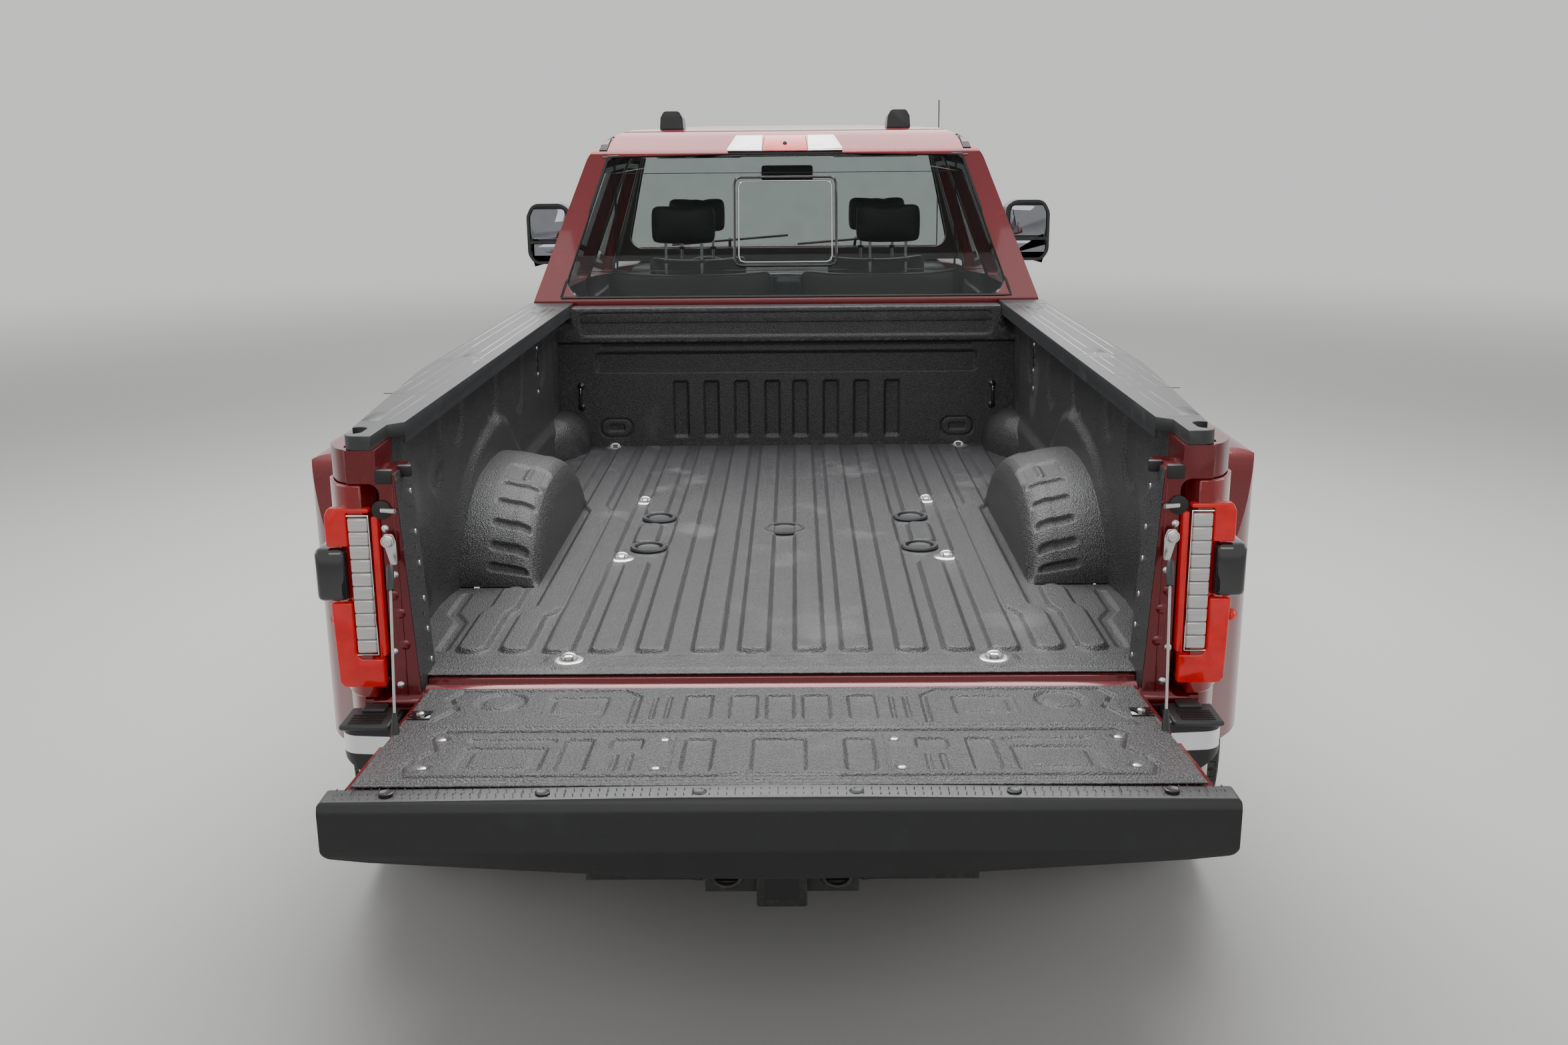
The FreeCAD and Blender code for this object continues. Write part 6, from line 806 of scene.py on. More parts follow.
class Shop:
    """Holds the frame and its finishes, and puts pieces on their bodies."""

    def __init__(self, frame: dict) -> None:
        """Build all finishes for the loaded frame."""
        self.frame = frame
        kit = NodeKit()
        self.finishes = {finish.name: finish for finish in FINISHES}
        self.materials = {finish.name: finish.build(kit) for finish in FINISHES}

    def dress(self, finish: str, *nodes: str) -> None:
        """Give CAD nodes a finish by its name."""
        for node in nodes:
            data = self.frame["nodes"][node].data
            data.materials.clear()
            data.materials.append(self.materials[finish])

    def copied(self, node: str) -> Mesh:
        """Merged copy of a CAD node's mesh, with its flat parts as single faces."""
        bm = bmesh.new()
        bm.from_mesh(self.frame["nodes"][node].data)
        bmesh.ops.remove_doubles(bm, verts=bm.verts, dist=MERGE)
        bmesh.ops.dissolve_limit(bm, angle_limit=math.radians(0.5), verts=bm.verts, edges=bm.edges)
        return bm

    def add(
        self, name: str, shape: Shape, finish: str, body: str = "chassis", replaces: Sequence[str] = (),
        bevel: float = 0.0, sharp: float = 40.0, thick: float = 0.0, more: Sequence[str] = (),
    ) -> Piece:
        """Make a piece from one or more meshes and put it on its body.

        Args:
            name: Name of the piece.
            shape: Its mesh or meshes, which are used up.
            finish: Name of its finish.
            body: CAD body that it rides on.
            replaces: CAD nodes that it stands for.
            bevel: Width of softened edges.
            sharp: Angle in degrees above which an edge stays crisp.
            thick: Wall given to an open sheet.
            more: Further finishes for faces with a material index.

        Returns:
            The piece.
        """
        bm = joined(shape) if isinstance(shape, list) else shape
        mesh = bpy.data.meshes.new(name)
        bm.to_mesh(mesh)
        bm.free()
        for label in (finish, *more):
            mesh.materials.append(self.materials[label])
        mesh.shade_smooth()
        mesh.set_sharp_from_angle(angle=math.radians(sharp))
        piece = bpy.data.objects.new(name, mesh)
        bpy.context.scene.collection.objects.link(piece)
        if thick:
            wall = piece.modifiers.new("wall", "SOLIDIFY")
            wall.thickness = thick
            wall.offset = -1.0
            even = piece.modifiers.new("even", "WEIGHTED_NORMAL")
            even.keep_sharp = True
        if bevel:
            edge = piece.modifiers.new("edge", "BEVEL")
            edge.width = bevel
            edge.segments = 2
            edge.limit_method = "ANGLE"
            edge.angle_limit = math.radians(BEVEL_TURN)
            edge.use_clamp_overlap = True
        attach(piece, body)
        if replaces:
            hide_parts(*replaces)
        LOG.info("%s on %s", name, body)
        return piece

    def soften(self, node: str, finish: str, body: str, bevel: float = 0.002, sharp: float = 40.0) -> Piece:
        """Replace a CAD node by a copy with softened edges, on the same body."""
        return self.add(f"{node}_soft", self.copied(node), finish, body, (node,), bevel, sharp)


@dataclass
class Assembly:
    """Part of the truck, whose pieces come from the shop."""

    shop: Shop

    def build(self) -> None:
        """Make every piece of the part."""
        raise NotImplementedError

    def add(self, name: str, shape: Shape, finish: str, *place: object, **options: object) -> Piece:
        """Make a piece in the shop."""
        return self.shop.add(name, shape, finish, *place, **options)


# Load space
@dataclass
class Bed(Assembly):
    """Load space: ribbed floor, pressed walls, wheelhouses and the caps on its rails."""

    half: float = 0.8695
    length: float = 2.4915
    rib_height: float = 0.011
    rib_starts: tuple[float, ...] = (0.030, 0.136, 0.262, 0.368, 0.473)
    rib_width: float = 0.066
    rib_tail: float = 0.128
    rib_head: float = 2.442
    rib_slope: float = 0.016
    wall_low: float = 0.0003
    wall_high: float = 0.5095
    arch_inner: float = 0.638
    arch_half: float = 0.47
    arch_rise: float = 0.245
    sockets: Outline = ((-0.384, 1.0), (0.384, 1.0), (-0.384, 1.338), (0.384, 1.338))
    loops: Outline = ((0.472, 0.076), (0.450, 0.900), (0.451, 1.562), (0.652, 2.440))

    def build(self) -> None:
        """Make every piece of the load space."""
        self.floor()
        self.front_wall()
        self.side_walls()
        self.wheelhouses()
        self.rails()
        self.sides()
        self.fittings()

    def ribs(self) -> list[Form]:
        """Give the ribs of both halves of the floor."""
        forms: list[Form] = []
        low, high = self.rib_tail, self.rib_head
        for start in self.rib_starts:
            socketed = start == self.rib_starts[3]
            for first, last in ((low, 0.86), (1.06, 1.27), (1.40, high)) if socketed else ((low, high),):
                forms += twins(start, start + self.rib_width, first, last, self.rib_height, 0.02,
                               self.rib_slope)
        lines = (((0.608, 0.165), (0.608, 0.39), (0.577, 0.455), (0.577, 1.44), (0.600, 1.50),
                  (0.600, 2.40)),
                 ((0.706, 0.165), (0.706, 0.41), (0.690, 0.46), (0.690, 0.59)),
                 ((0.706, 1.68), (0.706, 2.36)))
        gutter = ((0.775, 0.165), (0.775, 0.36), (0.81, 0.43), (0.81, 0.58))
        for way in SIDES:
            for line in lines:
                forms.append(Channel(tuple((way * x, y) for x, y in line), 0.033, self.rib_height,
                                     self.rib_slope))
            forms.append(Channel(tuple((way * x, y) for x, y in gutter), 0.012, -0.005, 0.012))
            forms += [Channel(((way * x, y), (way * x, y + 0.002)), 0.052, 0.004, 0.02) for x,
                      y in self.loops]
        forms.append(Pressing(-self.half + 0.02, self.half - 0.02, 0.028, 0.11, 0.002, 0.01, 0.01))
        return forms

    def floor(self) -> None:
        """Make the pressed floor and keep what lies under it."""
        forms = self.ribs()
        places = [(x, y, 0.053) for x, y in self.sockets] + [(0.0, 1.199, 0.062)]
        for x, y, radius in places:
            forms.append(Channel(((x, y), (x, y + 0.001)), radius + 0.016, 0.003, 0.018))
        bm = pressed_sheet((-self.half, self.half), (0.0, self.length), forms, bed_point, 0.07, 0.0055)
        top = self.rib_height
        for vertex in bm.verts:
            vertex.co.z = min(vertex.co.z, FLOOR + top)
        gaps = [face for face in bm.faces if abs(face.calc_center_median().x) > self.arch_inner + 0.012
                and abs(face.calc_center_median().y - AXLE_REAR) < self.arch_half - 0.02]
        bmesh.ops.delete(bm, geom=gaps, context="FACES")
        self.add("floor_sheet", thinned(bm), "bed_spray", replaces=("bed_floor",), thick=0.004,
                      sharp=60)
        under = self.shop.copied("bed_floor")
        split_at(under, (0, 0, FLOOR - 0.005), UP, True)
        self.add("floor_sills", under, "red_paint", sharp=35)
        rings = []
        for x, y, radius in places:
            centre = bed_point(x, y, 0.0)
            rings.append(lathe([(-0.01, radius - 0.004), (0.008, radius), (0.0125, radius - 0.004),
                                (0.0125, radius - 0.012), (0.006, radius - 0.017), (0.004, radius - 0.017)],
                               centre, UP, 40))
            rings.append(lathe([(-0.03, radius - 0.018), (0.005, radius - 0.018), (0.0085, radius - 0.022),
                                (0.007, radius - 0.03), (0.0065, 0.0)], centre, UP, 40))
        self.add("socket_caps", rings, "cap_plastic", sharp=45)

    def front_wall(self) -> None:
        """Make the wall ahead of the load space."""
        forms: list[Form] = [Pressing(-0.9, 0.9, 0.399, 0.62, 0.026, 0.004, 0.012),
                             Pressing(-0.775, 0.775, 0.423, 0.509, -0.006, 0.028, 0.012),
                             Pressing(-0.722, 0.722, 0.283, 0.357, -0.012, 0.02, 0.014),
                             Pressing(-0.70, 0.70, 0.372, 0.388, -0.004, 0.008, 0.01)]
        for index in range(4):
            x = 0.053 + 0.116 * index
            forms += twins(x - 0.0285, x + 0.0285, 0.034, 0.248, -0.013, 0.012, 0.012)
        for half, *rest in ((0.066, 0.03, 0.11, -0.005, 0.04, 0.007),
                            (0.056, 0.04, 0.10, 0.006, 0.03, 0.006),
                            (0.034, 0.054, 0.086, -0.005, 0.016, 0.006)):
            forms += twins(0.65 - half, 0.65 + half, *rest)
        face = BED_REAR + self.length + 0.0005

        def put(u: float, v: float, rise: float) -> Point:
            """Point of the front wall."""
            return (u, face - rise, FLOOR + v)

        bm = pressed_sheet((-self.half + 0.001, self.half - 0.001), (0.0, 0.523), forms, put, 0.06, 0.0045)
        for vertex in bm.verts:
            limit = self.half - 0.001 if vertex.co.z < FLOOR + 0.487 else 0.8035
            vertex.co.x = max(-limit, min(limit, vertex.co.x))
        bmesh.ops.reverse_faces(bm, faces=bm.faces)
        self.add("front_wall_sheet", thinned(bm), "bed_spray", thick=0.003, sharp=60,
                      replaces=("bed_front_wall",))
        head = rounded_box((-0.8035, face - 0.0258, FLOOR + 0.47), (0.8035, face + 0.059, FLOOR + 0.5299),
                           0.007, 3)
        self.add("front_wall_head", head, "bed_spray")
        back = self.shop.copied("bed_front_wall")
        split_at(back, (0, face + 0.03, 0), BACK, True)
        split_at(back, (0, 0, FLOOR + 0.49), UP, True)
        self.add("front_wall_back", back, "red_paint", sharp=35)
        hooks = []
        for way in SIDES:
            x, y = way * 0.779, face - 0.004
            for level in (0.152, 0.232):
                hooks.append(lathe([(0.0, 0.0), (0.0, 0.014), (0.004, 0.014), (0.007, 0.009), (0.01, 0.0)],
                                   (x, y + 0.004, FLOOR + level), BACK, 16))
            hooks.append(tube([(x, y, FLOOR + 0.152), (x, y - 0.028, FLOOR + 0.158),
                               (x, y - 0.03, FLOOR + 0.192),
                               (x, y - 0.028, FLOOR + 0.226), (x, y, FLOOR + 0.232)], 0.0055))
        self.add("wall_hooks", hooks, "gloss_black")

    def side_walls(self) -> None:
        """Make the pressed inner walls with their columns, shelf and front corner bulge."""
        shelf = Shelf(
            ((0.0, -0.2), (0.45, -0.05), (0.5, 0.0), (0.613, 0.118), (0.684, 0.204), (0.774, 0.261),
             (0.921, 0.31),
             (1.056, 0.333), (1.185, 0.352), (1.3, 0.352), (1.43, 0.315), (1.54, 0.23), (1.66, 0.158),
             (1.7, 0.15),
             (2.5, 0.142)),
            ((0.0, -0.4), (0.45, -0.3), (0.6, -0.1), (0.655, -0.03), (0.713, 0.09), (0.786, 0.178),
             (0.875, 0.238),
             (1.017, 0.29), (1.185, 0.312), (1.3, 0.31), (1.4, 0.285), (1.5, 0.19), (1.62, 0.115),
             (1.7, 0.108),
             (2.5, 0.1)), 0.018)
        forms: list[Form] = [
            shelf,
            Channel(((0.585, 0.60), (0.548, 0.345)), 0.062, -0.011, 0.04),
            Channel(((0.87, 0.60), (0.80, 0.41)), 0.058, -0.009, 0.04),
            Channel(((1.30, 0.60), (1.245, 0.41)), 0.076, -0.011, 0.04),
            Channel(((1.73, 0.60), (1.67, 0.36)), 0.07, -0.009, 0.04),
            Channel(((2.16, 0.60), (2.10, 0.37)), 0.062, -0.011, 0.04),
            Channel(((0.26, 0.60), (0.22, 0.30), (0.30, 0.12), (0.38, 0.05)), 0.03, -0.006, 0.03),
            Pressing(2.33, 2.41, 0.16, 0.60, -0.008, 0.03, 0.03),
        ]
        inner = 0.857

        def put(u: float, v: float, rise: float) -> Point:
            """Point of the right-hand wall."""
            return (min(inner - rise, self.half - 0.0035), BED_REAR + u, FLOOR + v)

        across = np.linspace(0.0703, self.length, 250)
        along = np.linspace(self.wall_low, self.wall_high, 58)
        bm = sheet(across, along, forms, put)
        gaps = []
        for face in bm.faces:
            centre = face.calc_center_median()
            share = abs(centre.y - AXLE_REAR) / self.arch_half
            if share < 0.93 and centre.z < FLOOR + (self.arch_rise - 0.03) * (1 - share ** 3):
                gaps.append(face)
        bmesh.ops.delete(bm, geom=gaps, context="FACES")
        bmesh.ops.reverse_faces(bm, faces=bm.faces)
        self.add("side_wall_sheets", paired(thinned(bm)), "bed_spray", replaces=("bed_liners",),
                      thick=0.003, sharp=60)
        self.corners()
        self.jambs()
        bolts = []
        for y, z in ((0.13, 0.43), (0.13, 0.36), (0.13, 0.28), (0.14, 0.20), (0.15, 0.13), (0.16, 0.07),
                     (2.02, 0.44), (2.02, 0.35), (2.01, 0.29), (1.95, 0.05)):
            bolts.append(lathe([(-0.01, 0.009), (0.002, 0.009), (0.005, 0.006), (0.006, 0.0)],
                               bed_point(inner + 0.001, y, z), INWARD, 12))
        self.add("wall_bolts", paired(bolts), "zinc")
        # The slots are dark boxes set in the wall: painted shade standing in for the openings.
        slots = []
        for y, z in ((0.115, 0.405), (0.115, 0.325), (2.02, 0.41), (2.02, 0.38)):
            slots.append(rounded_box(bed_point(inner - 0.002, y - 0.014, z - 0.018),
                                     bed_point(inner + 0.004, y + 0.014, z + 0.018), 0.0015))
        self.add("wall_slots", paired(slots), "gloss_black")

    def corners(self) -> None:
        """Make the bulges in the front lower corners."""
        def put(turn: float, y: float, rise: float) -> Point:
            """Point of the bulge from its turn upwards."""
            reach = float(np.interp(y, (2.15, 2.2, 2.281, 2.369), (0.0, 0.042, 0.09, 0.121)))
            top = float(np.interp(y, (2.15, 2.2, 2.3), (0.0, 0.1, 0.139)))
            return (0.868 - reach * math.sin(turn) ** 0.8, BED_REAR + y, FLOOR + top * math.cos(turn) ** 0.8)

        bm = sheet(np.linspace(0.0, math.pi / 2, 13), np.linspace(2.151, self.length, 24), (), put)
        self.add("corner_bulges", paired(bm), "bed_spray", thick=0.002, sharp=70)

    def jambs(self) -> None:
        """Make the sprayed inner faces of the rear posts with their rivets."""
        foot, lean = 0.765, 0.0502

        def put(v: float, y: float, rise: float) -> Point:
            """Point of the leaning inner face."""
            return (foot + lean * (v + 0.078) - 0.0002, BED_REAR + y, FLOOR + v)

        bm = sheet(np.linspace(-0.02, 0.459, 25), np.linspace(-0.059, 0.0695, 9), (), put)
        bmesh.ops.reverse_faces(bm, faces=bm.faces)
        self.add("jamb_sheets", paired(bm), "bed_spray", thick=0.0007, sharp=60)
        # The holes here are thin dark discs on the surface: painted shade standing in for open holes.
        rivets, holes = [], []
        for z in (0.40, 0.31, 0.24, 0.16, 0.09, 0.02):
            rivets.append(lathe([(0.0, 0.007), (0.002, 0.006), (0.0035, 0.0)], put(z, 0.045, 0.0), INWARD,
                                12))
            holes.append(lathe([(0.0, 0.0075), (0.0012, 0.006), (0.0014, 0.0)], put(z - 0.03, 0.03, 0.0),
                               INWARD, 12))
        self.add("jamb_rivets", paired(rivets), "zinc")
        self.add("jamb_holes", paired(holes), "gloss_black")

    def wheelhouses(self) -> None:
        """Make the domed wheelhouses with their pressed grooves."""
        outer, inner, rise, reach = self.half, self.arch_inner, self.arch_rise, self.arch_half
        places = reach * np.sin(np.linspace(-math.pi / 2, math.pi / 2, 241))
        levels = rise * (1 - np.minimum(1.0, np.abs(places) / reach) ** 2.6) ** 0.62
        steps = np.hypot(np.diff(places), np.diff(levels))
        run = np.concatenate(([0.0], np.cumsum(steps)))
        slant = np.arctan2(np.gradient(levels, run), np.gradient(places, run))
        forms = []
        for y in (-0.452, -0.416, -0.362, -0.290, -0.203):
            middle = float(np.interp(y, places, run))
            forms.append(Pressing(0.0995, 0.2045, middle - 0.012, middle + 0.012, -0.008, 0.012, 0.011))
        low, high = (float(np.interp(y, places, run)) for y in (-0.165, -0.03))
        forms.append(Pressing(0.1, 0.208, low, high, -0.007, 0.02, 0.02))
        forms.append(Pressing(0.145, 0.16, low + 0.015, high - 0.015, 0.006, 0.007, 0.012))
        turn = 0.085

        def put(u: float, v: float, depth: float) -> Point:
            """Point of the dome: across its top, round its turn and down its side."""
            y, top, tilt = (float(np.interp(v, run, table)) for table in (places, levels, slant))
            bend = min(turn, top)
            flat = outer - inner - bend
            arc = bend * math.pi / 2
            if u < flat:
                x, z, normal = outer - u, top - 0.02 * (u / flat) ** 2, (0.0, 1.0)
            elif u < flat + arc:
                angle = (u - flat) / bend
                normal = (-math.sin(angle), math.cos(angle))
                x = inner + bend + bend * normal[0]
                z = top - 0.02 - bend + bend * normal[1]
            else:
                share = (u - flat - arc) / max(1e-6, full - flat - arc)
                x, z, normal = inner, (top - 0.02 - bend) * (1 - share), (-1.0, 0.0)
            shift = depth * normal[1]
            return (x + normal[0] * depth, AXLE_REAR + y - shift * math.sin(tilt),
                    FLOOR + max(z, 0.0) + shift * math.cos(tilt))

        full = outer - inner - turn + turn * math.pi / 2 + rise - turn
        marks = [form.edges() for form in forms]
        across = stations(0.0, full, 0.026, [place for mark in marks for place in mark[0]] + [0.15, 0.28],
                          0.006)
        along = stations(0.0, float(run[-1]), 0.026, [place for mark in marks for place in mark[1]], 0.0045)
        bm = sheet(across, along, forms, put)
        bmesh.ops.remove_doubles(bm, verts=bm.verts, dist=1e-5)
        bmesh.ops.reverse_faces(bm, faces=bm.faces)
        self.add("wheelhouse_domes", paired(bm), "bed_spray", replaces=("wheelhouses",), thick=0.003,
                      sharp=70)

    def rails(self) -> None:
        """Make the caps on the rails, with their panel lines and plugs."""
        self.shop.soften("rail_caps", "cap_plastic", "chassis", 0.005)
        top = FLOOR + 0.54
        lines = []
        for x0, x1, y0, y1 in ((0.845, 0.872, 0.12, 1.02), (0.905, 0.935, 0.50, 1.02),
                               (0.845, 0.872, 1.06, 2.40),
                               (0.92, 0.95, 1.06, 2.40)):
            for x in (x0, x1):
                lines.append(rounded_box(bed_point(x - 0.0012, y0, 0.5385),
                                         bed_point(x + 0.0012, y1, 0.5403), 0.0004, 1))
        for y in (0.10, 0.48, 1.02, 1.06, 2.40):
            lines.append(rounded_box(bed_point(0.835, y, 0.5385),
                                     bed_point(0.955 if y > 0.4 else 0.90, y + 0.003, 0.5403),
                                     0.0004, 1))
        self.add("rail_lines", paired(lines), "gloss_black")
        covers = []
        for y in (0.115, 1.10, 2.20):
            covers.append(rounded_box((0.865, BED_REAR + y, top - 0.004),
                                      (0.905, BED_REAR + y + 0.105, top + 0.0006),
                                      0.003, 2))
        self.add("rail_covers", paired(covers), "trim_plastic")

    def sides(self) -> None:
        """Make the outer panels, the wide fenders and the rear posts' fittings."""
        self.shop.soften("bed_sides", "red_paint", "chassis", 0.004)
        fender = self.shop.soften("rear_fenders", "red_paint", "chassis", 0.016, 30)
        fender.modifiers["edge"].segments = 5
        fender.modifiers["edge"].angle_limit = math.radians(20)
        face = POST_FACE
        rubber, steel, holes = [], [], []
        level = FLOOR + 0.455
        rubber.append(rounded_box((0.795, face - 0.003, level - 0.016),
                                  (0.832, face + 0.012, level + 0.014), 0.004))
        rubber.append(rounded_box((0.770, face + 0.0505, level - 0.012),
                                  (0.80, face + 0.066, level + 0.012), 0.003))
        rubber.append(lathe([(0.0, 0.0), (0.0, 0.02), (0.004, 0.02), (0.006, 0.012), (0.008, 0.0)],
                            (0.822, face, FLOOR + 0.385), BACK, 20))
        steel.append(tube([(0.822, face - 0.004, FLOOR + 0.385), (0.791, face - 0.013, FLOOR + 0.385)],
                          0.0055, False))
        for x, z in ((0.818, 0.345), (0.818, 0.075), (0.81, 0.0), (0.805, 0.245)):
            steel.append(lathe([(0.0, 0.0), (0.0, 0.008), (0.003, 0.008), (0.006, 0.005), (0.007, 0.0)],
                               (x, face + 0.001, FLOOR + z), BACK, 12))
        for x, z in ((0.80, 0.16), (0.795, 0.09), (0.812, 0.20)):
            holes.append(lathe([(0.0, 0.012), (0.002, 0.010), (0.003, 0.0)], (x, face + 0.0005, FLOOR + z),
                               BACK, 20))
        self.add("post_bumpers", paired(rubber), "soft_rubber")
        self.add("post_screws", paired(steel), "zinc")
        self.add("post_dimples", paired(holes), "red_paint")
        seams = [rounded_box((0.795, face - 0.0015, FLOOR - 0.03), (0.7985, face + 0.004, FLOOR + 0.43),
                             0.0012, 2)]
        self.add("post_seams", paired(seams), "red_paint")

    def fittings(self) -> None:
        """Make the tie-down loops."""
        plates = []
        for x, y in self.loops:
            centre = bed_point(x, y, 0.0004)
            plates.append(lathe([(0.0, 0.0), (0.0, 0.034), (0.004, 0.036), (0.0065, 0.031), (0.0075, 0.02),
                                 (0.0055, 0.017), (0.0055, 0.0)], centre, UP, 32))
            for way in SIDES:
                base = (x + way * 0.012, BED_REAR + y, FLOOR + 0.005)
                plates.append(lathe([(0.0, 0.006), (0.006, 0.0055), (0.008, 0.003), (0.0085, 0.0)], base,
                                    UP, 12))
            ring = [(x + 0.02 * math.cos(a), BED_REAR + y, FLOOR + 0.006 + 0.014 * math.sin(a))
                    for a in np.linspace(0, math.pi, 7)]
            plates.append(tube(ring, 0.003, True, 2))
        self.add("floor_loops", paired(plates), "zinc", replaces=("tie_downs",))


# Tailgate
@dataclass
class Tailgate(Assembly):
    """Lowered tailgate: painted shell, sprayed inner skin, cap with a scale, and its stay cables."""

    hinge: float = 0.05
    end: float = 0.56
    foot_half: float = 0.758
    head_half: float = 0.785
    inset: float = 0.014
    top: float = -0.005
    ticks: int = 52
    tick_pitch: float = 0.0152
    screws: Outline = ((0.655, 0.345), (0.655, 0.478), (0.222, 0.35), (0.226, 0.482))

    def build(self) -> None:
        """Make every piece of the tailgate."""
        self.shop.soften("tailgate", "red_paint", "tailgate", 0.003)
        self.skin()
        self.cap()
        self.fittings()
        self.cables()

    def put(self, u: float, v: float, rise: float) -> Point:
        """Point of the skin from its share across, its distance behind the bed and its height."""
        spread = (self.head_half - self.foot_half) * (v - self.hinge) / (self.end - self.hinge)
        half = self.foot_half + spread - self.inset
        return (u / self.foot_half * half, BED_REAR - v, FLOOR + self.top + rise)

    def skin(self) -> None:
        """Make the pressed inner skin."""
        deep = -0.0055
        forms: list[Form] = [
            Channel(((-0.70, 0.283), (0.70, 0.283)), 0.007, 0.004, 0.012),
            Channel(((-0.655, 0.308), (0.655, 0.308), (0.68, 0.33), (0.655, 0.40), (0.695, 0.47),
                     (0.68, 0.519),
                     (-0.68, 0.519), (-0.695, 0.47), (-0.655, 0.40), (-0.68, 0.33), (-0.655, 0.308)), 0.004,
                     -0.006, 0.009),
            Channel(((-0.75, 0.54), (0.75, 0.54)), 0.006, -0.003, 0.01),
        ]
        hook = ((0.30, 0.262), (0.30, 0.12), (0.335, 0.088), (0.68, 0.088), (0.70, 0.13), (0.67, 0.19),
                (0.70, 0.25))
        dish = ((0.585, 0.150), (0.587, 0.151))
        for way in SIDES:
            bands = [(hook, 0.006, deep, 0.01), (dish, 0.052, -0.005, 0.012), (dish, 0.034, 0.0045, 0.012)]
            for line, half, depth, slope in bands:
                forms.append(Channel(tuple((way * x, y) for x, y in line), half, depth, slope))
            forms += [Channel(((way * x, y), (way * x + 0.001, y)), 0.013, -0.003, 0.012) for x,
                      y in self.screws]
        for near, far, low, high, depth, radius in (
            (0.36, 0.49, 0.125, 0.225, -0.004, 0.008), (0.38, 0.47, 0.142, 0.208, 0.003, 0.008),
            (0.075 - 0.028, 0.075 + 0.028, 0.115, 0.248, deep, 0.01),
            (0.17 - 0.028, 0.17 + 0.028, 0.115, 0.248, deep, 0.01),
            (0.44, 0.60, 0.385, 0.495, -0.0045, 0.008), (0.465, 0.575, 0.405, 0.475, 0.003, 0.006),
            (0.43, 0.60, 0.345, 0.365, -0.004, 0.008), (0.358, 0.41, 0.345, 0.495, deep, 0.01),
            (0.262, 0.322, 0.345, 0.395, deep, 0.008), (0.125, 0.18, 0.345, 0.495, deep, 0.01),
        ):
            forms += twins(near, far, low, high, depth, radius, 0.009)
        for x, half, low, high in ((0.262, 0.004, 0.125, 0.245), (0.232, 0.004, 0.125, 0.245),
                                   (0.278, 0.005, 0.42, 0.495), (0.306, 0.005, 0.42, 0.495)):
            forms += twins(x - half, x + half, low, high, -0.004, 0.004, 0.007)
        forms += twins(0.20, 0.206, 0.33, 0.5, -0.0015, 0.003, 0.006)
        forms.append(Pressing(-0.028, 0.028, 0.115, 0.248, deep, 0.01, 0.009))
        forms.append(Pressing(-0.05, 0.05, 0.345, 0.495, deep, 0.01, 0.009))
        forms.append(Pressing(-0.11, 0.11, 0.322, 0.332, -0.003, 0.004, 0.007))
        forms.append(Pressing(-0.11, 0.11, 0.505, 0.512, -0.003, 0.004, 0.007))
        bm = pressed_sheet((-self.foot_half, self.foot_half), (self.hinge + 0.0246, self.end - 0.001),
                           forms, self.put,
                           0.05, 0.0042)
        bmesh.ops.reverse_faces(bm, faces=bm.faces)
        self.add("gate_skin", thinned(bm), "bed_spray", "tailgate", ("tailgate_liner",), thick=0.0035,
                      sharp=60)

    def cap(self) -> None:
        """Make the cap along the free edge, with its scale and plugs."""
        cap = self.shop.copied("tailgate_spoiler")
        cap.normal_update()
        painted(cap, lambda face: face.normal.z >= 0.8)
        self.add("tailgate_cap", cap, "cap_plastic", "tailgate", ("tailgate_spoiler",), 0.004,
                      more=("trim_plastic",))
        ticks, plugs = [], []
        for index in range(-self.ticks, self.ticks + 1):
            length = 0.012 if index % 5 == 0 else 0.007
            x = index * self.tick_pitch
            for start in (0.571, 0.599 - length):
                ticks.append(rounded_box((x - 0.0008, BED_REAR - start - length, FLOOR - 0.0052),
                                         (x + 0.0008, BED_REAR - start, FLOOR - 0.0034), 0.0002, 1))
        self.add("cap_scale", ticks, "gloss_black", "tailgate")
        for x in (-0.70, -0.42, -0.14, 0.14, 0.42, 0.70):
            plugs.append(lathe([(-0.004, 0.0), (-0.004, 0.0135), (0.0016, 0.0135), (0.003, 0.011),
                                (0.0015, 0.008),
                                (0.0015, 0.0)], (x, BED_REAR - 0.586, FLOOR - 0.0062), UP, 24))
        self.add("cap_plugs", plugs, "trim_plastic", "tailgate")

    def fittings(self) -> None:
        """Make screws, hinge straps, the outer handle and the latches."""
        heads = []
        for way in SIDES:
            for x, y in self.screws:
                place = self.put(way * x, y, -0.0035)
                heads.append(lathe([(0.0, 0.0), (0.0, 0.0085), (0.0022, 0.0085), (0.0042, 0.006),
                                    (0.0045, 0.0035),
                                    (0.0025, 0.003), (0.0025, 0.0)], place, UP, 20))
        self.add("skin_screws", heads, "zinc", "tailgate")
        straps, bolts = [], []
        for way in SIDES:
            low, high = sorted((way * 0.705, way * 0.752))
            straps.append(rounded_box((low, BED_REAR - 0.245, FLOOR - 0.006),
                                      (high, BED_REAR - 0.205, FLOOR - 0.0012),
                                      0.0015))
            bolts.append(lathe([(0.0, 0.0), (0.0, 0.008), (0.003, 0.008), (0.005, 0.005), (0.005, 0.0)],
                               (way * 0.728, BED_REAR - 0.225, FLOOR - 0.0012), UP, 16))
        self.add("gate_straps", straps, "gloss_black", "tailgate")
        self.add("gate_strap_bolts", bolts, "bare_steel", "tailgate")
        low = FLOOR - 0.0755
        handle = [rounded_box((-0.13, BED_REAR - 0.485, low - 0.004), (0.13, BED_REAR - 0.375, low + 0.004),
                              0.003, 3),
                  rounded_box((-0.10, BED_REAR - 0.465, low - 0.012), (0.10, BED_REAR - 0.43, low - 0.002),
                              0.005, 3)]
        self.add("gate_handle", handle, "gloss_black", "tailgate")
        latches = []
        for way in SIDES:
            near, far = sorted((way * 0.7805, way * 0.755))
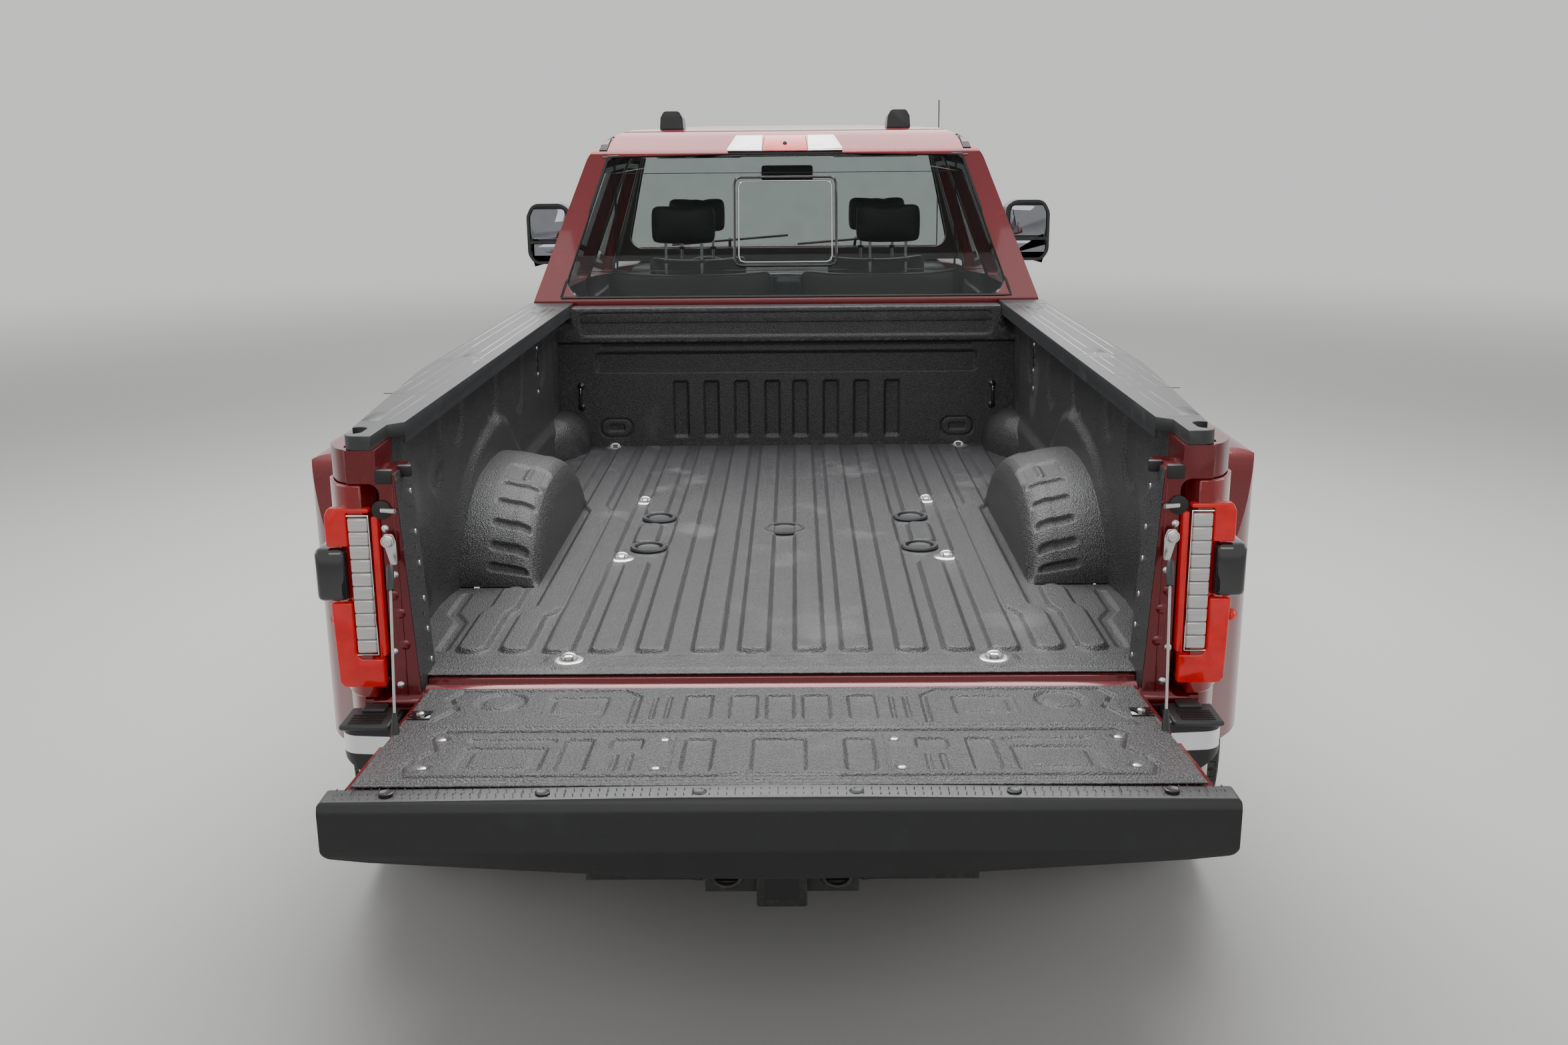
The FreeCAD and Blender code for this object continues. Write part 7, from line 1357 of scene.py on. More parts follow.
            latches.append(rounded_box((near, BED_REAR - 0.53, FLOOR - 0.06),
                                       (far, BED_REAR - 0.45, FLOOR - 0.02), 0.004))
        self.add("gate_latches", latches, "bare_steel", "tailgate")

    def cables(self) -> None:
        """Make the stay cables between the posts and the tailgate."""
        low = Vector((0.752, BED_REAR - 0.33, FLOOR - 0.026))
        high = Vector((0.808, POST_FACE - 0.013, FLOOR + 0.324))
        run = (high - low).normalized()
        middle = low.lerp(high, 0.5) + Vector((0.0, 0.0, -0.0015))
        knots = [low + run * 0.03, low.lerp(high, 0.3), middle, low.lerp(high, 0.7), high - run * 0.085]
        for side, way in HANDS:
            def placed(point: Vector) -> Point:
                """Point on this side."""
                return (way * point.x, point.y, point.z)

            wire = self.add(f"stay_wire_{side}",
                                 tube([placed(knot) for knot in knots], 0.003, True, 3), "bare_steel")
            boot = lathe([(0.0, 0.0), (0.0, 0.008), (0.02, 0.0085), (0.055, 0.0045), (0.056, 0.0)],
                         placed(low + run * 0.012), placed(run), 16)
            foot = self.add(f"stay_boot_{side}", boot, "soft_rubber")
            crimp = self.add(f"stay_crimp_{side}", lathe(
                [(0.0, 0.0), (0.0, 0.0065), (0.004, 0.008), (0.05, 0.008), (0.056, 0.0055), (0.057, 0.0)],
                placed(high - run * 0.112), placed(run), 16), "cap_plastic")

            def flat(u: float, v: float, level: float) -> Point:
                """Point of the eye on this side."""
                return (way * (high.x + u - run.x * (0.058 - v)), high.y - level, high.z - 0.053 + v)

            tag = [(-0.007, 0.0), (0.007, 0.0), (0.0135, 0.05), (0.009, 0.066), (-0.009, 0.066),
                   (-0.0135, 0.05)]
            pin = [(0.0, 0.0), (0.0, 0.0135), (0.004, 0.0135), (0.006, 0.009), (0.006, 0.0)]
            eye = joined([outline_plate(tag, flat, 0.0, 0.0035, 0.004, 0.001),
                          lathe(pin, placed(high + Vector((0, -0.012, 0))), BACK, 20)])
            loop = self.add(f"stay_eye_{side}", eye, "zinc")
            if side == "left":
                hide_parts("gate_cables")
            for piece in (wire, foot, crimp, loop):
                piece.parent = None
                piece.matrix_world = Matrix.Identity(4)
                start, end = placed(high), placed(low)
                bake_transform(piece)
                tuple(start)
                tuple(end)


# Lamps
@dataclass
class TailLamps(Assembly):
    """Upright tail lamps with a ribbed reversing strip and a dark side sensor housing."""


    def build(self) -> None:
        """Make the lenses and what is set in them."""
        face = POST_FACE
        body = self.shop.copied("tail_lamps")
        self.add("tail_lamp_bodies", body, "deep_red_lens", replaces=("tail_lamps",), bevel=0.004,
                      sharp=50)
        upper = outline_plate([(0.899, 0.306), (0.944, 0.306), (0.944, 0.372), (0.936, 0.388),
                               (0.85, 0.388), (0.85, 0.378),
                               (0.899, 0.378)],
                              on_post, face - 0.0015, face + 0.02, 0.004, 0.003)
        lower = outline_plate([(0.842, -0.005), (0.930, -0.005), (0.940, 0.006), (0.944, 0.183),
                               (0.9, 0.183), (0.9, 0.07),
                               (0.89, 0.058), (0.842, 0.058)],
                              on_post, face - 0.0015, face + 0.02, 0.004, 0.003)
        side = outline_plate([(0.8345, 0.066), (0.8485, 0.062), (0.8465, 0.370), (0.8325, 0.372)],
                             on_post, face - 0.002, face + 0.02, 0.003, 0.002)
        self.add("tail_lamp_lights", paired([upper, lower, side]), "red_lens", sharp=50)
        self.reversing(face)
        skin = Skin(self.shop.frame, "rear_fenders")
        place = skin.hit((1.10, -4.0, 0.90), AHEAD)
        if place:
            marker = lathe([(-0.006, 0.0), (-0.006, 0.015), (0.002, 0.015), (0.004, 0.011), (0.011, 0.009),
                            (0.014, 0.005),
                            (0.014, 0.0)], tuple(place), BACK, 24)
            self.add("fender_markers", paired(marker), "red_lens", sharp=50)
        box = rounded_box((0.906, face - 0.007, FLOOR + 0.187), (0.972, face + 0.10, FLOOR + 0.302), 0.013,
                          3)
        self.add("tail_lamp_sensors", paired(box), "gloss_black", sharp=50)

    def reversing(self, face: float) -> None:
        """Make the ribbed clear strip on the lamp's rear face."""
        ribs = []
        pitch = 0.0295
        for index in range(10):
            low = 0.074 + index * pitch
            ribs.append(rounded_box((0.853, face - 0.007, FLOOR + low),
                                    (0.8945, face + 0.01, FLOOR + low + pitch - 0.001),
                                    0.0035, 3))
        self.add("reversing_strips", paired(ribs), "frosted_lens", sharp=50)
        corners = ((0.8962, 0.373), (0.8515, 0.373), (0.8515, 0.069), (0.8962, 0.069))
        rim = tube([on_post(x, z, face - 0.003) for x, z in corners], 0.0017, False, 2)
        self.add("reversing_rims", paired(rim), "chrome_plate")


# Cab
@dataclass
class Cab(Assembly):
    """Cab with its doors, windows, mirrors and roof fittings."""

    door_base: float = 0.604
    door_height: float = 1.396
    front_start: float = 1.142
    front_length: float = 1.073
    back_start: float = 0.178
    back_length: float = 0.964
    front_window: Outline = ((0.05, 0.605), (0.88, 0.565), (0.82, 0.635), (0.475, 0.945), (0.05, 0.955))
    back_window: Outline = ((0.11, 0.62), (0.94, 0.605), (0.94, 0.955), (0.19, 0.945))
    screen: Outline = ((-0.853, 1.502), (0.853, 1.502), (0.691, 2.002), (-0.691, 2.002))
    backlight: Outline = ((-0.855, 1.47), (0.855, 1.47), (0.673, 1.989), (0.203, 1.997),
                                                 (-0.203, 1.997), (-0.673, 1.989))
    beside: float = 1.3
    behind: float = -0.8
    ahead: float = 3.2
    lens_half: float = 0.088
    rear_half: float = 0.3
    slider_half: float = 0.178
    slider_low: float = 1.596
    slider_high: float = 1.896

    def build(self) -> None:
        """Make every piece of the cab."""
        shop = self.shop
        self.lined("cab_shell", "chassis", "headliner", 0.003)
        for side in ("left", "right"):
            self.lined(f"door_front_{side}", f"door_front_{side}", "trim_plastic", 0.002)
            self.lined(f"door_rear_{side}", f"door_rear_{side}", "trim_plastic", 0.002)
            shop.dress("pale_glass", f"glass_front_{side}")
            shop.dress("dark_glass", f"glass_rear_{side}")
        panes = shop.copied("cab_glass")
        painted(panes, lambda face: face.calc_center_median().y <= 0.6)
        self.add("cab_panes", panes, "dark_glass", replaces=("cab_glass",), more=("pale_glass",))
        self.windows()
        self.stop_lamp()
        self.roof()
        self.doors()
        self.mirrors()

    def lined(self, node: str, body: str, lining: str, bevel: float) -> None:
        """Replace a shell by a softened copy whose inner faces are lined.

        Args:
            node: Name of the shell.
            body: CAD body that it rides on.
            lining: Finish of the inner faces.
            bevel: Width of the softened edges.
        """
        bm = self.shop.copied(node)
        bm.normal_update()
        for face in bm.faces:
            place = face.calc_center_median()
            inward = Vector((0.0, min(max(place.y, 0.0), 1.6), 1.4)) - place
            face.material_index = int(face.normal.dot(inward.normalized()) > 0.55)
        self.add(f"{node}_soft", bm, "red_paint", body, (node,), bevel, more=(lining,))

    def outline(self, shares: Sequence[Spot], start: float, length: float, way: int) -> list[Point]:
        """Points beside the truck for an outline given in shares of a door."""
        middle = sum(u for u, _ in shares) / len(shares), sum(v for _, v in shares) / len(shares)
        grown = [(u + (u - middle[0]) * 0.03, v + (v - middle[1]) * 0.04) for u, v in shares]
        return [(way * self.beside, CAB_REAR + start + u * length,
                 self.door_base + v * self.door_height) for u, v in grown]

    def windows(self) -> None:
        """Make the window seals, the sliding rear pane and the wipers."""
        shop = self.shop
        rear = Skin(shop.frame, "cab_glass")
        body = Skin(shop.frame, "cab_shell", "cab_glass")
        ring = [(x, self.behind, z) for x, z in self.backlight]
        seals = [body.bead(ring, AHEAD, 0.006, rise=-0.002)]
        front = [(x, self.ahead, z) for x, z in self.screen]
        seals.append(body.bead(front, BACK, 0.007, rise=-0.002))
        self.add("screen_seals", seals, "soft_rubber")
        half, low, high, cut = self.slider_half, self.slider_low, self.slider_high, 0.022
        ring = [(-half + cut, low), (half - cut, low), (half - 0.006, low + 0.006), (half, low + cut),
                (half, high - cut),
                (half - 0.006, high - 0.006), (half - cut, high), (-half + cut, high),
                (-half + 0.006, high - 0.006),
                (-half, high - cut), (-half, low + cut), (-half + 0.006, low + 0.006)]
        self.add("slider_ring", rear.bead([(x, self.behind, z) for x, z in ring], AHEAD, 0.0032),
                 "chrome_plate")
        wide = [(x * 1.09, (z - 1.746) * 1.09 + 1.746) for x, z in ring]
        self.add("slider_frame", rear.bead([(x, self.behind, z) for x, z in wide], AHEAD, 0.005),
                 "gloss_black")
        rails = [rear.bead([(-0.79, self.behind, level), (0.79, self.behind, level)], AHEAD, 0.0015, False,
                           rise=-0.004)
                 for level in (low - 0.03, high + 0.03)]
        self.add("slider_rails", rails, "gloss_black")
        wipers = []
        for x in (-0.62, 0.05):
            blade = [body.hit((x + share * 0.62, self.ahead, 1.52 + share * 0.05), BACK, 0.012) for share in
                     (0.0, 0.25, 0.5, 0.75, 1.0)]
            wipers.append(tube([tuple(point) for point in blade], 0.006))
            wipers.append(tube([(x + 0.30, 2.06, 1.448), tuple(blade[2] + Vector((0, 0.02, 0.006)))], 0.008,
                               False))
        self.add("wipers", wipers, "trim_plastic")

    def stop_lamp(self) -> None:
        """Make the high stop lamp with its clear ends and the five markers."""
        whole = self.shop.copied("roof_lamps")
        for x in (-self.lens_half, self.lens_half):
            split_at(whole, (x, 0, 0), (1, 0, 0))
        rear = kept(whole.copy(), lambda face: face.calc_center_median().y < self.rear_half)
        painted(rear, lambda face: abs(face.calc_center_median().x) < self.lens_half)
        self.add("stop_lamp", rear, "red_lens", replaces=("roof_lamps",), sharp=50,
                      more=("frosted_lens",))
        markers = kept(whole, lambda face: face.calc_center_median().y >= self.rear_half)
        self.add("roof_markers", markers, "amber_lens", sharp=50, bevel=0.002)
        skin = Skin(self.shop.frame, "roof_lamps", "cab_shell")
        details = [skin.bead([(x, -0.9, 2.012), (x * 0.9, -0.9, 2.058)], AHEAD, 0.0022,
                             False) for x in (-self.lens_half, self.lens_half)]
        place = skin.hit((0, -0.9, 2.034), AHEAD)
        details.append(lathe([(-0.002, 0.0), (-0.002, 0.009), (0.003, 0.008), (0.005, 0.004), (0.005, 0.0)],
                             tuple(place),
                             BACK, 20))
        self.add("stop_lamp_camera", details, "gloss_black")

    def roof(self) -> None:
        """Make the dark roof channels and dress the pods and the mast."""
        skin = Skin(self.shop.frame, "cab_shell")
        strips = []
        for offset in np.linspace(-0.018, 0.018, 7):
            line = [(0.676 + offset, y, 2.6) for y in np.linspace(-0.245, 1.25, 22)]
            strips.append(skin.bead(line, DOWN, 0.0042, False, 0.2))
            end = [(0.672 + offset, -0.9, 2.098), (0.700 + offset, -0.9, 2.012)]
            strips.append(skin.bead(end, AHEAD, 0.0042, False, 0.02))
        self.add("roof_channels", paired(strips), "trim_plastic")
        self.shop.soften("antennas", "trim_plastic", "chassis", 0.004)

    def doors(self) -> None:
        """Make the trim of the doors: belt mouldings, cards and handles."""
        shop = self.shop
        for side, way in HANDS:
            for end, shares, start, length in (("front", self.front_window, self.front_start,
                                                self.front_length),
                                               ("rear", self.back_window, self.back_start,
                                                self.back_length)):
                body = f"door_{end}_{side}"
                skin = Skin(shop.frame, body, f"glass_{end}_{side}")
                line = self.outline(shares, start, length, way)
                self.add(f"window_seal_{end}_{side}", skin.bead(line, (-way, 0, 0), 0.0055), "soft_rubber",
                         body)
                belt = [(way * self.beside, y, z - 0.018) for _, y, z in line[:2]]
                self.add(f"belt_{end}_{side}", skin.bead(belt, (-way, 0, 0), 0.007, False), "chrome_plate",
                         body)
                low = CAB_REAR + start
                card = rounded_box((0.888, low + 0.10, 0.85), (0.916, low + length - 0.09, 1.36), 0.012, 3)
                rest = rounded_box((0.845, low + 0.22, 1.12), (0.905, low + length - 0.22, 1.165), 0.018, 3)
                pocket = rounded_box((0.858, low + 0.25, 0.90), (0.90, low + length - 0.2, 1.0), 0.014, 3)
                ring = lathe([(0.0, 0.0), (0.0, 0.085), (0.006, 0.085), (0.008, 0.078), (0.004, 0.07),
                              (0.004, 0.0)],
                             (0.889, low + length - 0.22, 0.96), INWARD, 32)
                inner = joined([card, rest, pocket, ring])
                grab = tube([(0.862, low + length - 0.30, 1.22), (0.845, low + length - 0.27, 1.235),
                             (0.845, low + length - 0.19, 1.235), (0.862, low + length - 0.16, 1.22)], 0.008)
                self.add(f"door_card_{end}_{side}", handed(inner, way), "trim_plastic", body)
                self.add(f"door_pull_{end}_{side}", handed(grab, way), "chrome_plate", body)

    def mirrors(self) -> None:
        """Make the mirror housings and their glasses."""
        for side, way in HANDS:
            body = f"door_front_{side}"
            self.shop.soften(f"mirror_{side}", "trim_plastic", body, 0.006)
            panes = []
            for low, high, cut in ((1.572, 1.722, 0.03), (1.466, 1.546, 0.022)):
                corners = [(1.142, low), (1.316, low), (1.322, low + cut), (1.322, high - cut),
                           (1.316, high), (1.15, high),
                           (1.138, high - cut), (1.138, low + cut)]
                panes.append(outline_plate(corners, upright, 1.647, 1.651, 0.012, 0.001))
            glass = joined(panes)
            # The mirror glass's dark colour is painted shade of what it reflects.
            self.add(f"mirror_glass_{side}", handed(glass, way), "mirror_face", body)
            lamp = outline_plate([(1.20, 1.60), (1.325, 1.61), (1.33, 1.63), (1.20, 1.62)], upright,
                                 1.757, 1.7625, 0.004, 0.001)
            self.add(f"mirror_signal_{side}", handed(lamp, way), "amber_lens", body)


# Interior
@dataclass(frozen=True)
class Groove:
    """Sewn channel pressed in a padded piece."""

    axis: int
    place: float
    facing: Point
    low: float = -9.0
    high: float = 9.0
    width: float = 0.007
    depth: float = 0.008

    def press(self, points: np.ndarray, normals: np.ndarray) -> np.ndarray:
        """Depth of the channel at each point, from the points and their normals."""
        along = points[:,
                       2 if self.axis != 2 and abs(self.facing[1]) > 0.5 else (1 if self.axis == 0 else 0)]
        near = np.exp(-(((points[:, self.axis] - self.place) / self.width) ** 2))
        inside = (along > self.low) & (along < self.high)
        turned = np.clip(normals @ np.array(self.facing) * 2.5 - 0.8, 0.0, 1.0)
        return near * inside * turned * self.depth


@dataclass
class Seats(Assembly):
    """Padded seats, swelled by a short simulation and then sewn."""

    side: float = 0.4
    half: float = 0.27
    front: float = 0.56
    bench: float = -0.25
    floor: float = 0.8
    cap: float = 0.024
    frames: int = 20
    cushion: Outline = ((0.235, 0.115), (0.255, 0.235), (0.30, 0.262), (0.68, 0.300),
                                                (0.735, 0.255), (0.70, 0.125), (0.45, 0.098))
    back: Outline = ((0.095, 0.275), (0.275, 0.285), (0.245, 0.40), (0.165, 0.775),
                                             (0.05, 0.78), (0.055, 0.55))
    head: Outline = ((0.056, 0.85), (0.134, 0.85), (0.128, 1.008), (0.062, 1.012))

    def build(self) -> None:
        """Make cushions, backs, head restraints, bases and posts."""
        inner = self.half - 0.022
        wing = 0.165
        top, face, rear = (0.0, 0.0, 1.0), (0.0, 1.0, 0.2), (0.0, -1.0, 0.0)
        sewn = [Groove(1, place, top, -wing, wing) for place in (0.40, 0.49, 0.58)]
        sewn += [Groove(0, way * wing, top) for way in SIDES]
        ribs = [Groove(2, place, face, -wing, wing) for place in (0.38, 0.47, 0.56, 0.65)]
        ribs += [Groove(0, way * wing, face) for way in SIDES]
        ribs += [Groove(2, 0.52, rear, -0.2, 0.2)]
        cushion = self.pad(self.cushion, -inner, inner, self.cap, 0.015, sewn)
        back = self.pad(self.back, -inner, inner, self.cap, 0.015, ribs)
        head = self.pad(self.head, -0.128, 0.128, 0.012, 0.009,
                        [Groove(2, 0.93, face, width=0.005, depth=0.004)])
        for side, way in HANDS:
            at = (way * self.side, self.front, self.floor)
            first = ("seats",) if way < 0 else ()
            self.set_down(f"front_cushion_{side}", cushion.copy(), at, first)
            self.set_down(f"front_back_{side}", back.copy(), at)
            self.set_down(f"front_head_{side}", head.copy(), at)
            self.set_down(f"rear_head_{side}", head.copy(), (way * self.side, self.bench, self.floor))
        for bm in (cushion, back, head):
            bm.free()
        shares = (0.20, 0.56)
        sewn = [Groove(1, place, top, *shares) for place in (0.40, 0.49, 0.58)]
        sewn += [Groove(0, x, top) for x in shares]
        ribs = [Groove(2, place, face, *shares) for place in (0.38, 0.47, 0.56, 0.65)]
        ribs += [Groove(0, x, face) for x in shares]
        cushion = self.pad(self.cushion, 0.024, 0.735, self.cap, 0.018, sewn)
        back = self.pad(self.back, 0.024, 0.735, self.cap, 0.018, ribs)
        for side, way in HANDS:
            for label, bm in (("cushion", cushion), ("back", back)):
                half = bm.copy() if way > 0 else mirrored(bm)
                self.set_down(f"bench_{label}_{side}", half, (0.0, self.bench, self.floor))
        for bm in (cushion, back):
            bm.free()
        self.frames_and_posts()

    def pad(self, outline: Sequence[Spot], low: float, high: float, cap: float, grain: float,
            grooves: Sequence[Groove]) -> Mesh:
        """Make one padded piece.

        Args:
            outline: Its side outline.
            low: First side.
            high: Other side.
            cap: Farthest way that a point swells.
            grain: Size of the remeshed faces.
            grooves: Sewn channels.

        Returns:
            The padded piece.
        """
        scene = bpy.context.scene
        shrink = cap * 0.75
        bm = outline_plate(outline, sideways, low + shrink * 0.5, high - shrink * 0.5, 0.02, 0.022)
        middle = sum((vertex.co for vertex in bm.verts), Vector()) / len(bm.verts)
        size = max(vertex.co.y for vertex in bm.verts) - min(vertex.co.y for vertex in bm.verts)
        bmesh.ops.translate(bm, vec=-middle, verts=bm.verts)
        bmesh.ops.scale(bm, vec=(1.0, 1 - shrink / size, 1 - shrink / size), verts=bm.verts)
        bmesh.ops.translate(bm, vec=middle, verts=bm.verts)
        mesh = bpy.data.meshes.new("pad")
        bm.to_mesh(mesh)
        bm.free()
        pad = bpy.data.objects.new("pad", mesh)
        scene.collection.objects.link(pad)
        cut = pad.modifiers.new("grain", "REMESH")
        cut.mode = "VOXEL"
        cut.voxel_size = grain
        self.settle(pad)
        rest = np.array([vertex.co for vertex in pad.data.vertices])
        self.swell(pad)
        moved = np.array([vertex.co for vertex in pad.data.vertices]) - rest
        reach = np.linalg.norm(moved, axis=1, keepdims=True)
        places = rest + moved * np.minimum(1.0, cap / np.maximum(reach, 1e-9))
        for vertex, place in zip(pad.data.vertices, places):
            vertex.co = place
        soft = pad.modifiers.new("soft", "SUBSURF")
        soft.levels = soft.render_levels = 1
        self.settle(pad)
        points = np.array([vertex.co for vertex in pad.data.vertices])
        normals = np.array([vertex.normal for vertex in pad.data.vertices])
        depth = sum((groove.press(points, normals) for groove in grooves), np.zeros(len(points)))
        whole = bmesh.new()
        whole.from_mesh(pad.data)
        for vertex, place in zip(whole.verts, points - normals * np.minimum(depth, 0.01)[:, None]):
            vertex.co = place
        bpy.data.objects.remove(pad)
        return whole

    @staticmethod
    def settle(pad: Piece) -> None:
        """Turn the modifiers' result into the piece's own mesh."""
        bpy.context.view_layer.update()
        mesh = bpy.data.meshes.new_from_object(pad.evaluated_get(bpy.context.evaluated_depsgraph_get()))
        pad.modifiers.clear()
        pad.data = mesh

    def swell(self, pad: Piece) -> None:
        """Blow the piece up as stuffed cloth for a few frames."""
        scene = bpy.context.scene
        cloth = pad.modifiers.new("cloth", "CLOTH")
        cloth.settings.use_pressure = True
        cloth.settings.uniform_pressure_force = 4.0
        cloth.settings.effector_weights.gravity = 0.0
        cloth.point_cache.frame_start = 1
        cloth.point_cache.frame_end = self.frames
        for frame in range(1, self.frames + 1):
            scene.frame_set(frame)
        self.settle(pad)
        scene.frame_set(1)

    def set_down(self, name: str, bm: Mesh, place: Point, replaces: Sequence[str] = ()) -> None:
        """Put a padded piece in the cab, with its own zero at a place."""
        bmesh.ops.translate(bm, vec=Vector(place), verts=bm.verts)
        piece = self.add(name, bm, "seat_leather", replaces=replaces, sharp=180)

    def frames_and_posts(self) -> None:
        """Make the seat bases, side trims and the posts of the head restraints."""
        bases, posts = [], []
        for x, start in ((self.side, self.front), (-self.side, self.front), (self.side, self.bench),
                         (-self.side, self.bench)):
            half = self.half if start > 0 else 0.34
            low, high = start + 0.24, start + 0.635
            bases.append(rounded_box((x - half + 0.065, low, self.floor + 0.001),
                                     (x + half - 0.065, high, self.floor + 0.11),
                                     0.012, 3))
            for way in SIDES:
                bases.append(rounded_box((x + way * 0.17 - 0.02, low - 0.01, self.floor + 0.0005),
                                         (x + way * 0.17 + 0.02, high + 0.01, self.floor + 0.02), 0.004))
                posts.append(tube([(x + way * 0.07, start + 0.0912, self.floor + 0.74),
                                   (x + way * 0.07, start + 0.0912, self.floor + 0.86)], 0.006, False, 3))
                bases.append(lathe([(-0.004, 0.0), (-0.004, 0.014), (0.008, 0.012), (0.01, 0.0)],
                                   (x + way * 0.07, start + 0.0912, self.floor + 0.785), UP, 20))
        self.add("seat_bases", bases, "trim_plastic")
        self.add("seat_posts", posts, "chrome_plate")


@dataclass
class Interior(Assembly):
    """Instrument panel, console, linings and controls."""

    wheel: Point = (-0.4, 1.29, 1.33)
    tilt: float = 62.0

    def build(self) -> None:
        """Make every piece of the interior besides the seats."""
        self.shop.soften("dashboard", "trim_plastic", "chassis", 0.012)
        self.shop.dress("seat_leather", "steering_wheel")
        self.panel()
        self.console()
        self.controls()
        self.linings()

    def panel(self) -> None:
        """Make the screen, the instruments, vents, switches and the glove box."""
        shop = self.shop
        skin = Skin(shop.frame, "dashboard")

        def depth_at(x: float, z: float) -> float:
            """Place of the panel's face as seen from the seats."""
            return skin.hit((x, 1.0, z), AHEAD).y

        screens, dark, bright = [], [], []
        depth = min(depth_at(0.0, 1.26), depth_at(0.0, 1.37))
        dark.append(rounded_box((-0.155, depth - 0.016, 1.245), (0.155, depth + 0.03, 1.405), 0.008, 3))
        screens.append(rounded_box((-0.145, depth - 0.0185, 1.256), (0.145, depth - 0.012, 1.396), 0.002))
        near = depth_at(-0.4, 1.36)
        dark.append(rounded_box((-0.56, near - 0.045, 1.43), (-0.24, near + 0.10, 1.452), 0.01, 3))
        for x in (-0.575, -0.24):
            dark.append(rounded_box((x, near - 0.03, 1.30), (x + 0.015, near + 0.06, 1.448), 0.006, 2))
        screens.append(rounded_box((-0.555, near - 0.004, 1.315), (-0.245, near + 0.05, 1.428), 0.004, 2))
        for x in (-0.685, -0.205, 0.205, 0.685):
            place = depth_at(x, 1.34)
            dark.append(rounded_box((x - 0.045, place - 0.008, 1.29), (x + 0.045, place + 0.03, 1.385),
                                    0.008, 3))
            for index in range(5):
                level = 1.303 + index * 0.0172
                bright.append(rounded_box((x - 0.037, place - 0.011, level),
                                          (x + 0.037, place - 0.002, level + 0.003), 0.001))
        for index in range(9):
            place = depth_at(-0.11 + index * 0.0275, 1.205)
            bright.append(lathe([(0.0, 0.0), (0.0, 0.0095), (0.008, 0.009), (0.01, 0.007), (0.01, 0.0)],
                                (-0.11 + index * 0.0275, place, 1.205), BACK, 20))
        lid = skin.bead([(0.24, 1.0, 1.15), (0.68, 1.0, 1.15), (0.70, 1.0, 1.27), (0.22, 1.0, 1.27)], AHEAD,
                        0.0022)
        trim = skin.bead([(-0.77, 1.0, 1.282), (0.77, 1.0, 1.282)], AHEAD, 0.0035, False)
        self.add("dash_screens", screens, "screen_glass")
        self.add("dash_frames", dark, "gloss_black")
        self.add("dash_lines", [lid, trim], "soft_rubber")
        self.add("dash_fittings", bright, "chrome_plate")

    def console(self) -> None:
        """Make the armrest, cup holders, the selector and the pedals."""
        top = self.shop.frame["nodes"]["dashboard"]
        rear = min(vertex.co.y for vertex in top.data.vertices)
        level = 1.13
        lid = rounded_box((-0.118, rear + 0.01, level - 0.01), (0.118, rear + 0.30, level + 0.045), 0.022, 4)
        rest = self.add("console_armrest", lid, "seat_leather")
        rings, dark = [], []
        for x in (-0.052, 0.052):
            rings.append(lathe([(0.0, 0.041), (0.004, 0.041), (0.005, 0.045), (0.0, 0.047), (-0.002, 0.047)],
                               (x, rear + 0.40, level), UP, 32))
            # Flat dark discs fill the cup holders: painted shade standing in for the wells' depth.
            dark.append(lathe([(0.0006, 0.0), (0.0006, 0.041)], (x, rear + 0.40, level), UP, 32))
        rings.append(lathe([(-0.002, 0.0), (-0.002, 0.026), (0.004, 0.024), (0.012, 0.012), (0.075, 0.0075),
                            (0.08, 0.0)],
                           (0.0, rear + 0.52, level), (0, 0.15, 1), 24))
        dark.append(lathe([(0.06, 0.0), (0.066, 0.016), (0.08, 0.023), (0.10, 0.022), (0.112, 0.013),
                           (0.114, 0.0)],
                          (0.0, rear + 0.52, level), (0, 0.15, 1), 24))
        self.add("console_rings", rings, "chrome_plate")
        self.add("console_fittings", dark, "gloss_black")
        pedals = [rounded_box((-0.30, 1.60, 0.86), (-0.25, 1.616, 0.98), 0.005),
                  rounded_box((-0.45, 1.585, 0.90), (-0.35, 1.60, 0.965), 0.005)]
        pedals += [tube([(-0.275, 1.616, 0.92), (-0.275, 1.66, 1.02), (-0.275, 1.64, 1.13)], 0.008, False),
                   tube([(-0.40, 1.60, 0.93), (-0.40, 1.64, 1.02), (-0.40, 1.62, 1.13)], 0.008, False)]
        self.add("pedals", pedals, "soft_rubber")

    def controls(self) -> None:
        """Make the pad and buttons of the steering wheel and the stalks behind it."""
        lean = math.radians(self.tilt)
        axis = Vector((0.0, -math.sin(lean), math.cos(lean)))
        centre = Vector(self.wheel)
        pad = lathe([(0.0, 0.0), (0.0, 0.066), (0.012, 0.068), (0.024, 0.058), (0.03, 0.03), (0.031, 0.0)],
                    tuple(centre), tuple(axis), 40)
        self.add("wheel_pad", pad, "trim_plastic", "steering_wheel")
        rows = []
        for way in SIDES:
            for step in (0.095, 0.115, 0.135):
                rows.append(lathe([(0.0, 0.0), (0.0, 0.007), (0.016, 0.007), (0.018, 0.005), (0.018, 0.0)],
                                  tuple(centre + Vector((way * step, 0, 0))), tuple(axis), 16))
        self.add("wheel_buttons", rows, "gloss_black", "steering_wheel")
        foot = centre - axis * 0.075
        stalks = [tube([tuple(foot + Vector((way * 0.03, 0, 0))),
                        tuple(foot + Vector((way * 0.15, 0.0, 0.012)))], 0.007, False)
                  for way in SIDES]
        self.add("wheel_stalks", stalks, "trim_plastic")

    def linings(self) -> None:
        """Make the roof lining, the carpet, the sun visors and the inner mirror."""
        shop = self.shop
        shell = Skin(shop.frame, "cab_shell")

        def under(u: float, v: float, rise: float) -> Point:
            """Point just under the roof."""
            place = shell.hit((u, v, 1.7), UP)
            level = place.z if place and place.z > 1.95 else 2.03
            return (u, v, level - 0.007)

        def over(u: float, v: float, rise: float) -> Point:
            """Point on the cab floor."""
            return (u, v, 0.8045 + rise)

